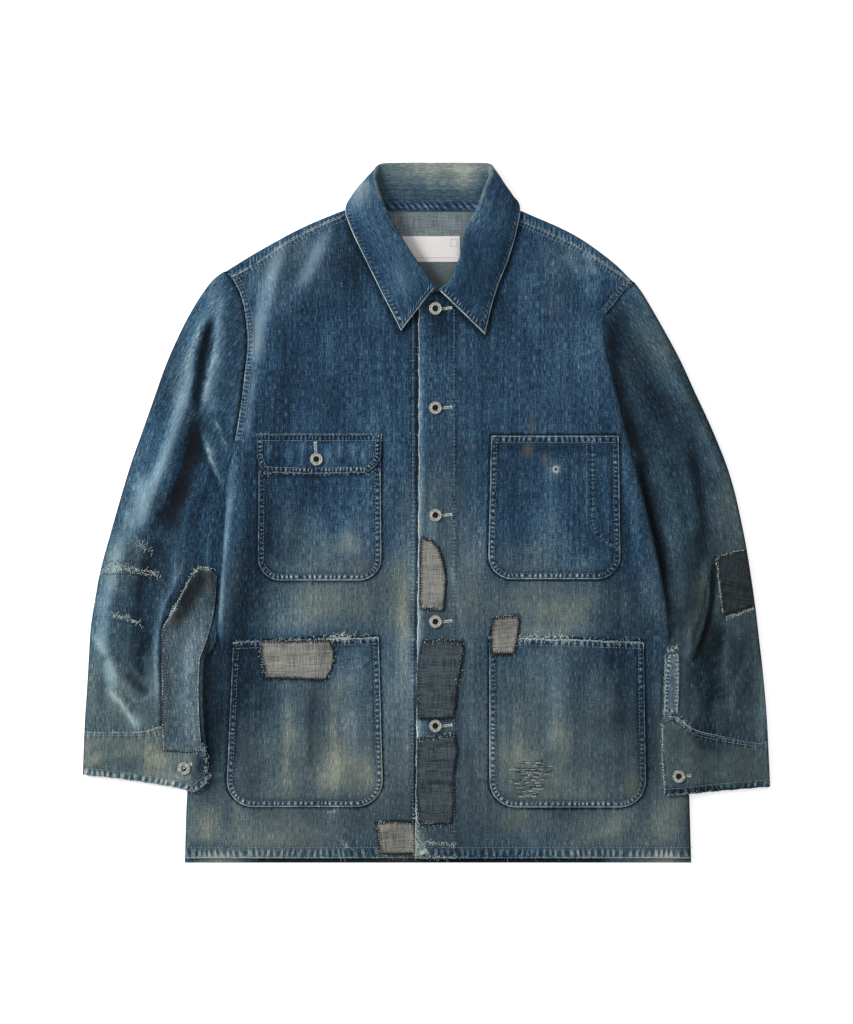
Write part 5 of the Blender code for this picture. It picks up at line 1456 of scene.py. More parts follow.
def collar_middle():
    """The middle of the collar's cloth: a grid of points, the lengths across it and where it rolls."""
    keys, u = range(len(COLLAR)), np.linspace(0, len(COLLAR) - 1, COLLAR_ROWS)

    def read(part, k):
        """One measure of the stations, eased from one to the next."""
        return along([(i, getattr(COLLAR[i], part)[k]) for i in keys], u)

    seam, edge = (np.column_stack([read(part, 0), read(part, 1)]) for part in ("seam", "edge"))
    roll = np.column_stack([read("roll", k) for k in range(3)])
    turn = np.radians(along([(i, COLLAR[i].turn) for i in keys], u))[:, None]
    run = unit(np.gradient(roll[:, :2], axis=0))
    inward = np.column_stack([run[:, 1], -run[:, 0], u * 0])
    up = np.array([0.0, 0.0, 1.0])
    out = inward * np.cos(turn) + up * np.sin(turn)
    to_leaf = up * np.cos(turn) - inward * np.sin(turn)
    bodies = [cloth_tree(n) for n in ("back_panel", "front_right_panel", "front_left_panel")]
    ends = []
    for place, on_body in ((seam, turn[:, 0] < 9), (edge, turn[:, 0] < 1.05)):
        floor = np.max([height(bodies, place + np.array(step)) for step in
                        ((0, 0), (3, 0), (-3, 0), (0, 3), (0, -3))], axis=0)
        floor = np.where(on_body, evened(floor) + 0.9, 0.0)
        ends.append(np.column_stack([place, floor + HALF_COLLAR]))
    centre = roll - out * ROLL_RADIUS
    arc = [centre + (out * math.cos(a) + to_leaf * math.sin(a)) * ROLL_RADIUS
           for a in np.linspace(-math.pi / 2, math.pi / 2, 7)]
    puff = up * LEAF_PUFF * np.cos(turn / 2) ** 2 - inward * LEAF_PUFF * 1.5 * np.sin(turn)
    leaf = [arc[-1] + (ends[1] - arc[-1]) * share + puff for share in (0.35, 0.72)]
    rows = np.array([ends[0], ends[0] + (arc[0] - ends[0]) * 0.5, *arc, *leaf, ends[1]])
    grid, across, rolls = [], [], []
    for i in range(COLLAR_ROWS):
        line = rows[:, i]
        at = lengths(line)
        dense = curved(line, 0.5)
        middle, end = at[5], at[-1]
        s = np.concatenate([np.linspace(0, middle - 4.4, 12), middle + ROLL_ROWS,
                            np.linspace(middle + 4.4, end - 9.2, 12), end - EDGE_ROWS])
        place = np.linspace(0, end, len(dense))
        grid.append(np.column_stack([np.interp(s, place, dense[:, k]) for k in range(3)]))
        across.append(s)
        rolls.append(s - middle)
    return np.array(grid), np.array(across), np.array(rolls)


def grid_faces(rows, columns):
    """Triangles of a grid of points."""
    at = np.arange(rows * columns).reshape(rows, columns)
    a, b, c, d = (part.ravel() for part in (at[:-1, :-1], at[:-1, 1:], at[1:, 1:], at[1:, :-1]))
    return np.vstack([np.column_stack([a, b, c]), np.column_stack([a, c, d])])


COLLAR_FADE = [
    (14, 388, 60, 9, 0.24), (4, 374, 7, 14, 0.1), (45, 376, 14, 18, 0.2), (-26, 374, 14, 14, 0.05),
    (-68, 368, 9, 14, 0.22, 30), (55, 336, 9, 22, 0.12), (-30, 256, 14, 14, 0.06), (-28, 212, 9, 10, 0.08),
    (64, 218, 14, 26, 0.08, 20), (-30, 332, 9, 16, -0.08), (-84, 346, 7, 16, 0.14), (20, 368, 30, 10, 0.1),
    (46, 252, 9, 14, -0.1), (-44, 306, 14, 50, 0.08, 30), (-62, 330, 10, 30, 0.08, 20),
    (-54, 380, 12, 14, -0.12), (68, 374, 12, 14, -0.12), (-76, 358, 12, 20, 0.26), (-30, 262, 14, 20, 0.12),
    (58, 282, 12, 40, -0.1, 20), (-40, 330, 10, 20, -0.06)]


def make_collar(sizes):
    """The collar: up from the neck seam, over its roll and down to its points."""
    grid, across, past_roll = collar_middle()
    rows, columns, _ = grid.shape
    normal = unit(np.cross(np.gradient(grid, axis=0), np.gradient(grid, axis=1)))
    faces = grid_faces(rows, columns)
    if normal[:60, 24:36, 2].mean() < 0:
        normal = -normal
    else:
        faces = faces[:, ::-1]
    flat, across, past_roll = grid.reshape(-1, 3), across.ravel(), past_roll.ravel()
    normal = normal.reshape(-1, 3)
    rim = grid[:, -1, :2]
    cloth = Cloth(rim, ready=(flat[:, :2].copy(), faces, None))
    on_leaf = smooth((past_roll - 1.5) / 3.0)
    down = np.repeat(across.reshape(rows, columns)[:, -1], columns) - across
    tips = [np.linalg.norm(grid[end] - grid, axis=2).ravel() for end in (0, -1)]
    length = np.repeat(lengths(grid[:, 19]), columns)
    tip = np.minimum(*tips)
    gap, where = np.minimum(down, tip), np.where(down < tip, length, across)
    pucker = sizes.pucker_height / MM
    band = hump(gap - 4.9, 1.9) * on_leaf * (0.45 + 0.55 * hump(tip, 26.0))
    low_band = hump(across - 5.0, 4.0) * (past_roll < -8)
    cloth.z += band * pucker * 0.9 * pucker_wave(where) - 0.3 * hump(gap - 5.6, 0.8)
    cloth.z -= 0.55 * (1.0 - smooth(gap / 1.3))
    cloth.z *= on_leaf
    cloth.z += low_band * 0.25 * pucker_wave(length)
    cloth.edge = np.where(on_leaf > 0.5, gap, FAR)
    along_seam = np.where(past_roll < 0, length * 0.6 + across * 0.5, where + gap * 0.5)
    cloth.seam = np.column_stack([along_seam, np.maximum(band * on_leaf, low_band * 0.6)])
    fallen = np.clip(-past_roll, 0.0, 30.0)      # how far down the stand, from the roll
    cloth.z += uneven(flat[:, :2], 40, 61) * 0.35 * smooth(cloth.edge / 14) * on_leaf
    cloth.grain = np.column_stack([across, length])
    cloth.fade += 0.37 + 0.08 * hump(past_roll, 9.0) - 0.06 * hump(cloth.edge - 8, 8)
    at_back = smooth((flat[:, 1] - 345) / 14) * (past_roll < 3)
    cloth.fade += at_back * (0.17 * (1 - smooth((fallen - 22) / 10)) - 0.08 * low_band + 0.04)
    cloth.fade += blobs(flat[:, :2], COLLAR_FADE) * (past_roll < 60)
    cloth.grime += 0.65 * at_back
    points = flat + normal * (HALF_COLLAR + cloth.z[:, None])
    points, outer, inner, walls = shell(points, faces, HALF_COLLAR * 2)
    obj = put_in_scene("collar_folded", points, [outer, walls, inner],
                       [denim("denim_collar")] * 2 + [reverse_denim()], cloth.looks())
    dress(obj, ["collar"], "denim_body", flat=(0.56, 0.10), area=0.05,
          rests_on=["back_panel", "front_right_panel", "front_left_panel"])


# ---- Pockets, flap and patches ----

Pocket = namedtuple("Pocket", "x0 x1 foot_x0 foot_x1 mouth0 mouth1 foot radius")
POCKETS = {
    "chest_pocket_right": Pocket(-189, -52, -190, -51, 79, 79, -76.5, 25),
    "chest_pocket_left": Pocket(73, 216.5, 70, 218.5, 86.5, 86.5, -75, 26),
    "hip_pocket_right": Pocket(-218, -54, -225, -49.5, -146, -140.5, -332, 30),
    "hip_pocket_left": Pocket(71, 245, 71, 247.5, -140.5, -146, -332.5, 30),
}
# fade, stain, soft folds
POCKET_WEAR = {
    "chest_pocket_right": (
        [(-110, -40, 34, 34, 0.16), (-150, -66, 30, 14, 0.1), (-92, -37, 12, 9, 0.14, 20),
         (-125, 15, 50, 28, -0.08), (-165, -20, 14, 50, -0.04), (-72, 0, 12, 40, 0.1)],
        [(-92, -37, 14, 10, 0.25, 20), (-70, -60, 10, 10, 0.15)],
        [([(-160, 30), (-156, -20), (-160, -60)], 0.5, 8, 8),
         ([(-80, 30), (-86, -20), (-80, -60)], 0.45, 8, 8)]),
    "chest_pocket_left": (
        [(145, -40, 60, 40, 0.14), (139, 14, 9, 38, 0.14), (146, 49, 10, 9, 0.1), (190, -26, 26, 22, -0.1),
         (100, 30, 18, 40, -0.06), (145, 74, 80, 8, -0.14), (92, -20, 10, 44, -0.06)],
        [(113.6, 70, 6, 7, 0.6), (134, 60, 4, 6, 0.5), (146, 49, 9, 8, 0.15)],
        [([(184, 80), (184, 20), (188, -20)], -0.5, 3, 3), ([(120, 40), (124, 0), (118, -50)], 0.45, 9, 9),
         ([(200, 80), (201, 20), (208, -20)], 0.5, 5, 5)]),
    "hip_pocket_right": (
        [(-156, -250, 9, 76, 0.2), (-128, -236, 9, 62, -0.12), (-104, -232, 11, 48, 0.2),
         (-102, -292, 20, 26, 0.34), (-76, -225, 14, 60, 0.14), (-195, -205, 24, 54, -0.1),
         (-152, -248, 10, 9, 0.1), (-82, -170, 22, 22, 0.1), (-176, -290, 12, 40, 0.06),
         (-128, -310, 10, 14, -0.06)],
        [(-84, -288, 14, 26, 0.35, 20), (-124, -270, 8, 26, 0.14)],
        [([(-190, -180), (-196, -240), (-190, -300)], 0.5, 8, 8), ([(-156, -200), (-158, -310)], 0.5, 7, 7),
         ([(-104, -180), (-104, -240), (-98, -300)], 0.6, 9, 9), ([(-128, -190),
           (-130, -300)], -0.5, 7, 7)]),
    "hip_pocket_left": (
        [(102, -248, 22, 40, 0.28), (146, -216, 13, 44, 0.28), (122, -230, 7, 50, -0.04),
         (160, -290, 50, 34, 0.12), (112, -170, 26, 16, 0.06), (225, -230, 16, 70, -0.04),
         (178, -250, 12, 50, 0.06), (192, -320, 30, 12, 0.12), (130, -320, 40, 12, 0.1)],
        [(128, -308, 26, 18, 0.3), (232, -308, 9, 16, 0.45), (150, -160, 40, 12, 0.12)],
        [([(212, -170), (206, -230), (214, -290)], 0.5, 9, 9),
         ([(146, -170), (146, -230), (140, -280)], 0.6, 9, 9), ([(100, -200), (104, -290)], 0.5, 9, 9)]),
}
CHANNEL = [[(180.7, 84), (180.7, -14)], [(187.5, 84), (187.5, -12), (192, -24), (201, -33), (217, -40)]]
# where the pencil channel creased: pale rubbed lines and painted light and shade on its creases
CHANNEL_MARKS = [
    ([(183, -6), (187, -20), (195, -31), (205, -37), (217, -42)], 0.13, 1.0, 1.0),
    ([(190, 72), (194, 60), (197, 48)], 0.1, 1.0, 1.2),
    ([(196, 24), (200, 12), (198, 0), (203, -10)], 0.1, 1.0, 1.2),
    ([(203, 40), (206, 28), (202, 18)], 0.08, 1.2, 1.2), ([(192, 40), (194, 10), (196, -16)], -0.1, 4, 4),
    ([(186, 56), (187, 44)], 0.1, 1.4, 1.4), ([(186, 4), (187, -6)], 0.1, 1.4, 1.4)]
EYELET = (145.8, 48.7)
TURNED_IN = (0.7, 1.5, 2.5, 3.6, 4.6, 5.5, 6.4)     # rows of points beside a turned edge


def pocket_lines(pocket):
    """Outline of a pocket: down one side, round the foot and up the other; and its mouth."""
    p = POCKETS[pocket]
    r = p.radius
    quarter = np.linspace(0, math.pi / 2, 12)
    turn0 = [(p.foot_x0 + r - r * math.cos(a), p.foot + r - r * math.sin(a)) for a in quarter]
    turn1 = [(p.foot_x1 - r + r * math.sin(a), p.foot + r - r * math.cos(a)) for a in quarter]
    border = np.array([(p.x0, p.mouth0), *turn0, *turn1, (p.x1, p.mouth1)])
    return border, np.array([(p.x1, p.mouth1), (p.x0, p.mouth0)])


def hole_ring(x, y, radius, seed):
    """A ragged round hole."""
    count = 14
    dice = np.random.default_rng(seed)
    angles = np.linspace(0, 2 * math.pi, count, endpoint=False)
    sizes = radius * dice.uniform(0.75, 1.2, count)
    return np.column_stack([x + np.cos(angles) * sizes, y + np.sin(angles) * sizes])


def ragged(line, seed, size):
    """A line with its points moved a little to each side, and its ends kept."""
    line = Path(line).spaced(1.3)[0]
    dice = np.random.default_rng(seed)
    shift = np.convolve(dice.normal(0, 1, len(line) + 4), np.ones(5) / 5, "valid") * size
    shift[0] = shift[-1] = 0
    return line + left_of(unit(np.gradient(line, axis=0))) * shift[:, None]


def wear_channel(cloth):
    """The wear of the pencil channel and of the worn hole beside it, with painted light and shade on the
    channel's creases.
    """
    for line in CHANNEL:
        cloth.fade += 0.12 * hump(cloth.off(Path(line)), 0.9)
    cloth.sew(Path(CHANNEL[1]), 0.0, 1.9, 0.6, 0.15, grooves=(0.0,), pace=0.8)
    cloth.deep += creased(cloth.xy, CHANNEL_MARKS)
    gap = np.hypot(cloth.x - EYELET[0], cloth.y - EYELET[1])
    cloth.edge = np.minimum(cloth.edge, np.abs(gap - 2.2) * 0.7)
    cloth.fade += 0.3 * hump(gap - 2.5, 1.8)


def make_pocket(name, sizes):
    """A patch pocket: stitched round its sides and foot, turned under at its mouth."""
    p = POCKETS[name]
    side, hip = (RIGHT if p.x1 < 0 else LEFT), name.startswith("hip")
    border, mouth = pocket_lines(name)
    mouth = ragged(mouth, 70 + side, 0.9) if hip else mouth
    rim = ring(border, mouth[1:-1])
    edge, top = Path(border), Path(mouth)
    bands = [(edge, TURNED_IN), (top, (0.7, 1.6, 2.8, 4.0, 5.2, 6.4))]
    holes = []
    if name == "chest_pocket_left":
        bands += [(Path(line), (0, 1.0)) for line in CHANNEL]
        bands += [(Path(path), (0, 1.2)) for path, *_ in CHANNEL_MARKS[:4]]
        bands.append((Path(hole_ring(*EYELET, 3.2, 4)), (0,)))
        holes = [hole_ring(*EYELET, 1.7, 5)]
    cloth = Cloth(rim, grain=3.1, bands=bands, holes=holes)
    ground = [FRONT[side]]
    cloth.lay(ground, sizes.cloth_thickness / MM + 0.25, times=12)
    pucker = sizes.pucker_height / MM
    fade, stain, creases = POCKET_WEAR[name]
    away = smooth(cloth.off(cloth.outline) / 14)
    cloth.z += (creased(cloth.xy, creases) * sizes.crease_height + 0.5) * away
    cloth.z += uneven(cloth.xy, 30, int(abs(p.x0))) * 0.25 * away + uneven(cloth.xy, 12, 5) * 0.08 * away
    by_foot = 0.75 + 0.25 * smooth((p.foot + 34 - cloth.y) / 20)
    cloth.sew(edge, 4.0, 1.9, by_foot * 0.98, pucker, grooves=(1.9, 6.2), raised=0.15, pace=0.76)
    cloth.sew(top, 4.2, 2.6, 0.88, pucker * 0.8, grooves=(7.4,), pace=0.7)
    cloth.wear_edge(edge, 0.6)
    cloth.wear_edge(top, 0.5)
    if holes:
        wear_channel(cloth)
    body_wear_and_light(cloth)
    cloth.fade += blobs(cloth.xy, fade) - 0.09 * hump(cloth.off(edge) - 8.0, 4.0)
    if hip:
        cloth.fade += 0.14 * hump(cloth.off(top), 2.5)
    cloth.stain += blobs(cloth.xy, stain)
    # painted shade round the patches and below the flap
    shade_patches(cloth, name + "_cloth", 2.2, 0.34)
    if name == "chest_pocket_right":
        cloth.shade(Path(FLAP_OUTLINE[3:12]), 3.0, 0.34)
    cloth.rub_high_places(0.2)
    body_piece(name + "_cloth", cloth, sizes, nodes=[name], rests_on=ground)


FLAP_OUTLINE = [(-50.5, 89), (-192, 89), (-191.5, 82), (-191, 62), (-187.5, 52), (-182, 45.2), (-160, 44.4),
                (-125, 43.8), (-90, 44.6), (-67, 45), (-57, 53), (-51.5, 62), (-51, 82)]
FLAP_FADE = [
    (-178, 68, 3, 10, 0.22), (-155, 66, 5, 10, 0.2), (-140, 70, 4, 12, 0.2), (-111, 66, 5, 12, 0.24),
    (-99, 70, 4, 10, 0.2), (-83, 68, 4, 11, 0.22), (-71, 64, 3, 9, 0.2), (-120, 50, 60, 5, 0.1)]


def flap_lines():
    """The flap's free edge, its top and its rim."""
    outline = np.array(FLAP_OUTLINE, float)
    border = np.vstack([outline[1:], outline[:1]])
    return Path(border), Path(outline[:2]), ring(border)


def make_flap(sizes):
    """The flap over the wearer's right chest pocket."""
    edge, top, rim = flap_lines()
    cloth = Cloth(rim, grain=3.0, bands=[(edge, TURNED_IN), (top, (0.8, 1.8, 3.0, 4.4, 6.0, 7.4))])
    cloth.lay([FRONT[RIGHT], "chest_pocket_right_cloth"], sizes.cloth_thickness / MM + 0.3, times=10)
    away = smooth(cloth.off(edge) / 12)
    cloth.z += uneven(cloth.xy, 22, 77) * 0.3 * away + 0.5 * away * smooth((86 - cloth.y) / 8)
    pucker = sizes.pucker_height / MM
    cloth.sew(edge, 3.9, 1.9, 1.0, pucker, grooves=(1.9, 6.2), raised=0.1)
    cloth.sew(top, 4.6, 2.6, 0.8, pucker * 0.8, grooves=(1.9, 8.0))
    cloth.wear_edge(edge, 0.6)
    cloth.wear_edge(top, 0.4)
    body_wear_and_light(cloth, -0.13)
    cloth.fade += blobs(cloth.xy, FLAP_FADE) * 1.4
    cloth.rub_high_places(0.2)
    body_piece("pocket_flap_cloth", cloth, sizes, nodes=["pocket_flap"],
               rests_on=["chest_pocket_right_cloth", FRONT[RIGHT]])


Patch = namedtuple("Patch", "node ground slot tone turn outline")
PATCHES = [
    Patch("patch_hip_right", ["hip_pocket_right_cloth"], "patch_taupe", "taupe", 0,
          [(-186, -146), (-110, -145), (-105, -155), (-105, -168), (-109, -178), (-113.5, -188),
           (-145, -187), (-181, -186), (-182, -175), (-185, -166)]),
    Patch("patch_hip_left", ["front_left_panel", "hip_pocket_left_cloth"], "patch_taupe", "taupe", 8,
          [(77, -120), (90, -118), (103, -117), (104.5, -124), (102, -142), (98, -159), (75, -159),
           (73.5, -145), (74, -131)]),
    Patch("patch_placket_upper", ["front_left_panel"], "patch_taupe", "taupe", 0,
          [(-5, -29), (5, -32), (12, -39), (17, -50), (20, -62), (21.3, -76), (20.3, -95), (18.5, -110),
           (5, -108.5), (-7, -108), (-6.6, -80), (-6.2, -50)]),
    Patch("patch_placket_middle", ["front_left_panel"], "patch_dark", "dark", 0,
          [(-4, -145), (18, -146), (40, -146), (41.5, -155), (38, -175), (34, -195), (33, -210),
           (29.5, -231), (10, -232), (-9, -232), (-10, -205), (-9.6, -174), (-7, -158)]),
    Patch("patch_placket_lower", ["front_left_panel"], "patch_dark", "dark", 0,
          [(-9, -256), (10, -253), (31, -251), (34, -269), (31, -288), (29.5, -304), (30, -320),
           (29.5, -336), (27, -350), (10, -351), (-7, -352), (-9, -334), (-10, -316), (-9.4, -285)]),
    Patch("patch_hem", ["front_right_panel"], "patch_taupe", "taupe", 3,
          [(-56, -350), (-35, -349), (-14, -350), (-13.5, -367), (-13, -384), (-32, -385), (-51, -384),
           (-53, -366)]),
    Patch("patch_forearm_right", ["sleeve_right_tube", "cuff_right_band"], "denim_worn", "forearm", 4,
          [(-257.5, -62.7), (-264.5, -69.5), (-275, -90), (-283, -106), (-292, -120), (-297, -129),
           (-299, -143), (-298.6, -170), (-298, -194), (-298.4, -215), (-298, -236), (-297.5, -254),
           (-297, -268), (-270, -269.5), (-253, -268), (-255.5, -240), (-257, -200), (-255.5, -165),
           (-247.5, -143), (-242.5, -125), (-239, -106), (-237.4, -88), (-236.4, -72), (-243.5, -63.8)]),
    Patch("patch_elbow_left", ["sleeve_left_tube"], "patch_dark", "elbow", -12,
          [(328, -52), (345, -46), (359, -43.5), (362, -60), (366, -84), (369, -104), (354, -109),
           (336, -115), (333, -95), (330, -72)]),
]


def patch_finish(tone):
    """The finish of a patch by its tone."""
    c = colours()
    if tone == "taupe":
        return patch_cloth("taupe_cloth", c.taupe)
    if tone == "dark":
        return patch_cloth("dark_cloth", c.dark_patch, 2.0)
    if tone == "elbow":
        return patch_cloth("elbow_cloth", toned(c.dark_patch, 0.44), 1.8)
    return denim("denim_forearm_patch")


# painted light and shade of the folds on the forearm patch: a dark fold wedge and pale ridges
FOREARM_FOLD_LIGHT = [
    ([(-248, -58), (-258, -84), (-272, -108), (-296, -142)], -0.46, 12, 11),
    ([(-243, -60), (-240, -95), (-246, -112)], -0.3, 8, 12),
    ([(-248, -48), (-266, -82), (-284, -114)], -0.42, 8, 10),
    ([(-263, -66), (-271, -84), (-283, -108), (-297, -134)], 0.26, 1.2, 1.2),
    ([(-256, -68), (-266, -90), (-279, -114), (-294, -138)], 0.22, 1.0, 1.0),
    ([(-246, -104), (-260, -135), (-270, -165), (-272, -210), (-268, -262)], 0.16, 12, 12),
    ([(-294, -146), (-292, -200), (-292, -268)], -0.18, 7, 5),
    ([(-254, -165), (-256, -210), (-254, -262)], 0.1, 4, 5),
    ([(-246, -56), (-262, -84), (-277, -108), (-292, -134)], -0.26, 12, 12)]


PATCH_THICKNESS = 0.9
PATCH_LIFT = 1.2       # from the cloth below to the patch's face
# worn and darker places on the patches, with painted shade at the right end of the wearer's right hip patch
PATCH_FADE_AND_SHADE = [
    (-117, -160, 9, 16, -0.28), (-176, -180, 14, 8, -0.06), (89, -140, 18, 22, -0.12),
    (7, -72, 14, 34, 0.08), (-35, -368, 22, 18, -0.12), (12, -190, 24, 44, 0.12), (10, -300, 24, 50, 0.06)]
PATCH_LINES = [
    ([(-45, -352), (-46, -383)], -0.3, 1.3, 1.3), ([(-37, -352), (-37, -383)], -0.22, 1.0, 1.0),
    ([(-24, -352), (-25, -383)], -0.22, 1.2, 1.2)]


def make_patch(patch, sizes):
    """A patch with a slightly uneven edge, sewn down all round."""
    outline = np.array(patch.outline, float)
    if patch.node != "patch_forearm_right":
        outline = np.vstack([outline, outline[:1]])
        outline = ragged(outline, len(patch.node), 0.55)
    rim = ring(outline[:-1] if np.allclose(outline[0], outline[-1]) else outline)
    border = closed(rim)
    cloth = Cloth(rim, grain=2.2, bands=[(border, (0.6, 1.3, 2.1, 3.0))], rim_step=1.6)
    cloth.lay(patch.ground, PATCH_LIFT, times=6)
    angle = math.radians(patch.turn)
    turn = np.array([[math.cos(angle), -math.sin(angle)], [math.sin(angle), math.cos(angle)]])
    cloth.grain = cloth.xy @ turn
    away = smooth(cloth.off(border) / 6)
    cloth.z += uneven(cloth.xy, 14, len(patch.outline)) * 0.22 * away + uneven(cloth.xy, 6, 9) * 0.08 * away
    cloth.sew(border, 1.4, 1.4, 0.1, sizes.pucker_height / MM * 0.8)
    cloth.wear_edge(border, 0.4)
    cloth.fade += blobs(cloth.xy, PATCH_FADE_AND_SHADE) + creased(cloth.xy, PATCH_LINES)
    if patch.tone == "forearm":
        cloth.fade += 0.54
        # painted fold light and shade on the forearm patch
        cloth.deep += creased(cloth.xy, FOREARM_FOLD_LIGHT)
        cloth.grime += 0.72
    cloth.rub_high_places(0.2)
    sheet_piece(patch.node + "_cloth", cloth, PATCH_THICKNESS, [patch_finish(patch.tone)],
                nodes=[patch.node], slot=patch.slot, rests_on=patch.ground)


SLEEVE_FACING = [(267.5, -225), (283, -225), (284, -205), (284.5, -180), (284, -160), (272.5, -160),
                 (269.5, -180), (268.5, -205)]


def make_sleeve_facing(sizes):
    """The narrow facing of the left sleeve's opening."""
    rim = ring(SLEEVE_FACING)
    border = closed(rim)
    cloth = Cloth(rim, grain=2.0, bands=[(border, (0.6, 1.3, 2.2))], rim_step=1.5)
    cloth.lay(["sleeve_left_tube"], 1.25, times=5)
    cloth.sew(border, 2.0, 1.8, 0.7, sizes.pucker_height / MM * 0.8)
    cloth.wear_edge(border, 0.4)
    cloth.fade += 0.62
    cloth.grime += 0.4
    sheet_piece("sleeve_facing_cloth", cloth, 1.0, [denim("denim_cuff_left")],
                nodes=["sleeve_placket_left"], slot="denim_worn", rests_on=[SLEEVE[LEFT]])


# ---- Buttons and label ----

BUTTONS = [       # name, place and the pieces below it
    ("button_front_1", (10.1, 230), ["front_left_panel"]),
    ("button_front_2", (10.1, 118), ["front_left_panel"]),
    ("button_front_3", (10.1, -3), ["front_left_panel"]),
    ("button_front_4", (10.1, -123), ["front_left_panel"]),
    ("button_front_5", (10.1, -240.5), ["front_left_panel", "patch_placket_middle_cloth"]),
    ("button_flap", (-124, 60), ["pocket_flap_cloth"]),
    ("button_cuff_right", (-273, -288), ["cuff_right_band"]),
    ("button_cuff_left", (284, -297), ["cuff_left_band"]),
]
BUTTON_PROFILE = [(0.0, 1.3), (0.7, 1.25), (1.1, 0.9), (1.5, 0.65), (3.0, 0.6), (3.3, 1.5), (3.6, 2.1),
                  (4.0, 2.2), (4.5, 1.95), (5.3, 1.75), (6.0, 1.95), (6.5, 2.2), (6.9, 2.1), (7.15, 1.5),
                  (7.2, 0.8), (7.0, 0.3), (6.6, 0.05), (0.0, 0.0)]
SHADOWED_TO = 5            # rows of the profile, from the middle, painted as shadow


def make_button(name, place, ground):
    """A pressed ring button whose sunk centre is painted as shadow."""
    count = 40
    base = height([cloth_tree(n) for n in ground], np.array([place]) + np.array(
        [(0, 0), (5, 0), (-5, 0), (0, 5), (0, -5)])).max() + 0.05
    points, rows = [], []
    for r, z in BUTTON_PROFILE:
        turns = 1 if r == 0 else count
        rows.append(np.arange(turns) + len(points))
        points += [(place[0] + r * math.cos(2 * math.pi * k / count),
                    place[1] + r * math.sin(2 * math.pi * k / count), base + z) for k in range(turns)]
    lists = {True: [], False: []}
    for i, (a, b) in enumerate(zip(rows, rows[1:])):
        for k in range(count):
            n = (k + 1) % count
            quad = [a[k % len(a)], b[k % len(b)], b[n % len(b)], a[n % len(a)]]
            face = [int(v) for j, v in enumerate(quad) if v not in quad[:j]]
            lists[i < SHADOWED_TO].append(face)
    mesh = bpy.data.meshes.new(name + "_ring")
    mesh.from_pydata([tuple(c * MM for c in p) for p in points], [], lists[False] + lists[True])
    for finish in (button_metal(), button_hole_shadow()):
        mesh.materials.append(finish)
    for k, polygon in enumerate(mesh.polygons):
        polygon.material_index = int(k >= len(lists[False]))
        polygon.use_smooth = True
    dress(add(name + "_ring", mesh), [name], "button_metal")


def button_metal():
    """Worn plated metal."""
    def make(name):
        metal = Finish(name, roughness=0.5, metallic=0.55)
        place = metal.node("ShaderNodeTexCoord", out="Object")
        fleck = metal.speckle(place, (700.0, 700.0, 700.0), 3.0)
        c = colours().metal
        plated = metal.mix(fleck.between(0.35, 0.65), toned(c, 0.35), toned(c))
        return metal.paint(plated, fleck, depth=0.15, roughness=fleck * 0.4 + 0.3)
    return made("button_metal_worn", make)


def button_hole_shadow():
    """Painted shadow in the sunk middle of the buttons."""
    def make(name):
        metal = Finish(name, roughness=0.8)
        place = metal.node("ShaderNodeTexCoord", out="Object")
        fleck = metal.speckle(place, (900.0, 900.0, 900.0), 2.0)
        return metal.paint(metal.mix(fleck, (0.004, 0.004, 0.005), (0.02, 0.02, 0.02)))
    return made("button_middle", make)


LABEL_BOX = (-37, 283, 38, 312)


def make_label():
    """A bare woven label, sewn down round its edge, with plain red rules and an empty box."""
    def make(name):
        c = colours()
        cloth = Finish(name, roughness=0.8, sheen=0.1)
        u, v, _, grain = cloth.read("grain")
        weave = cloth.speckle(grain, (1.2, 1.2, 0), 2.0)

        def bar(wire, middle, half):
            """1 within half a width of the middle."""
            off = cloth.node("ShaderNodeMath", {0: wire - middle}, operation="ABSOLUTE")
            return 1.0 - off.between(half, half + 0.35)

        rule = bar(v, 287.6, 0.25) * bar(u, 2.0, 30.0)
        box = bar(u, 31.0, 3.6) * bar(v, 304.5, 4.2) * (1.0 - bar(u, 31.0, 2.9) * bar(v, 304.5, 3.5))
        base = cloth.mix(weave, toned(c.label, 0.88), toned(c.label))
        return cloth.paint(cloth.mix((rule + box) * 0.55, base, toned(c.label_red)), weave, depth=0.15)

    x0, y0, x1, y1 = LABEL_BOX
    rim = ring([(x0, y0), (x1, y0), (x1, y1), (x0, y1)])
    border = closed(rim)
    cloth = Cloth(rim, grain=2.4, bands=[(border, (0.6, 1.4))], rim_step=1.8)
    cloth.lay(["back_panel"], 1.0, times=3)
    cloth.z += uneven(cloth.xy, 16, 3) * 0.15
    cloth.wear_edge(border, 0.3)
    sheet_piece("neck_label", cloth, 0.7, [made("label_woven", make)], nodes=["label"], slot="label_cloth",
                rests_on=["back_panel"])


# ---- Threads ----

MISSED_WHIP = 0.07     # share of whip stitches that are gone
STITCH_SINK = 0.25     # the ends of a stitch go this far into the cloth
FRAY_LIFT = 0.35       # a loose end stands up this far


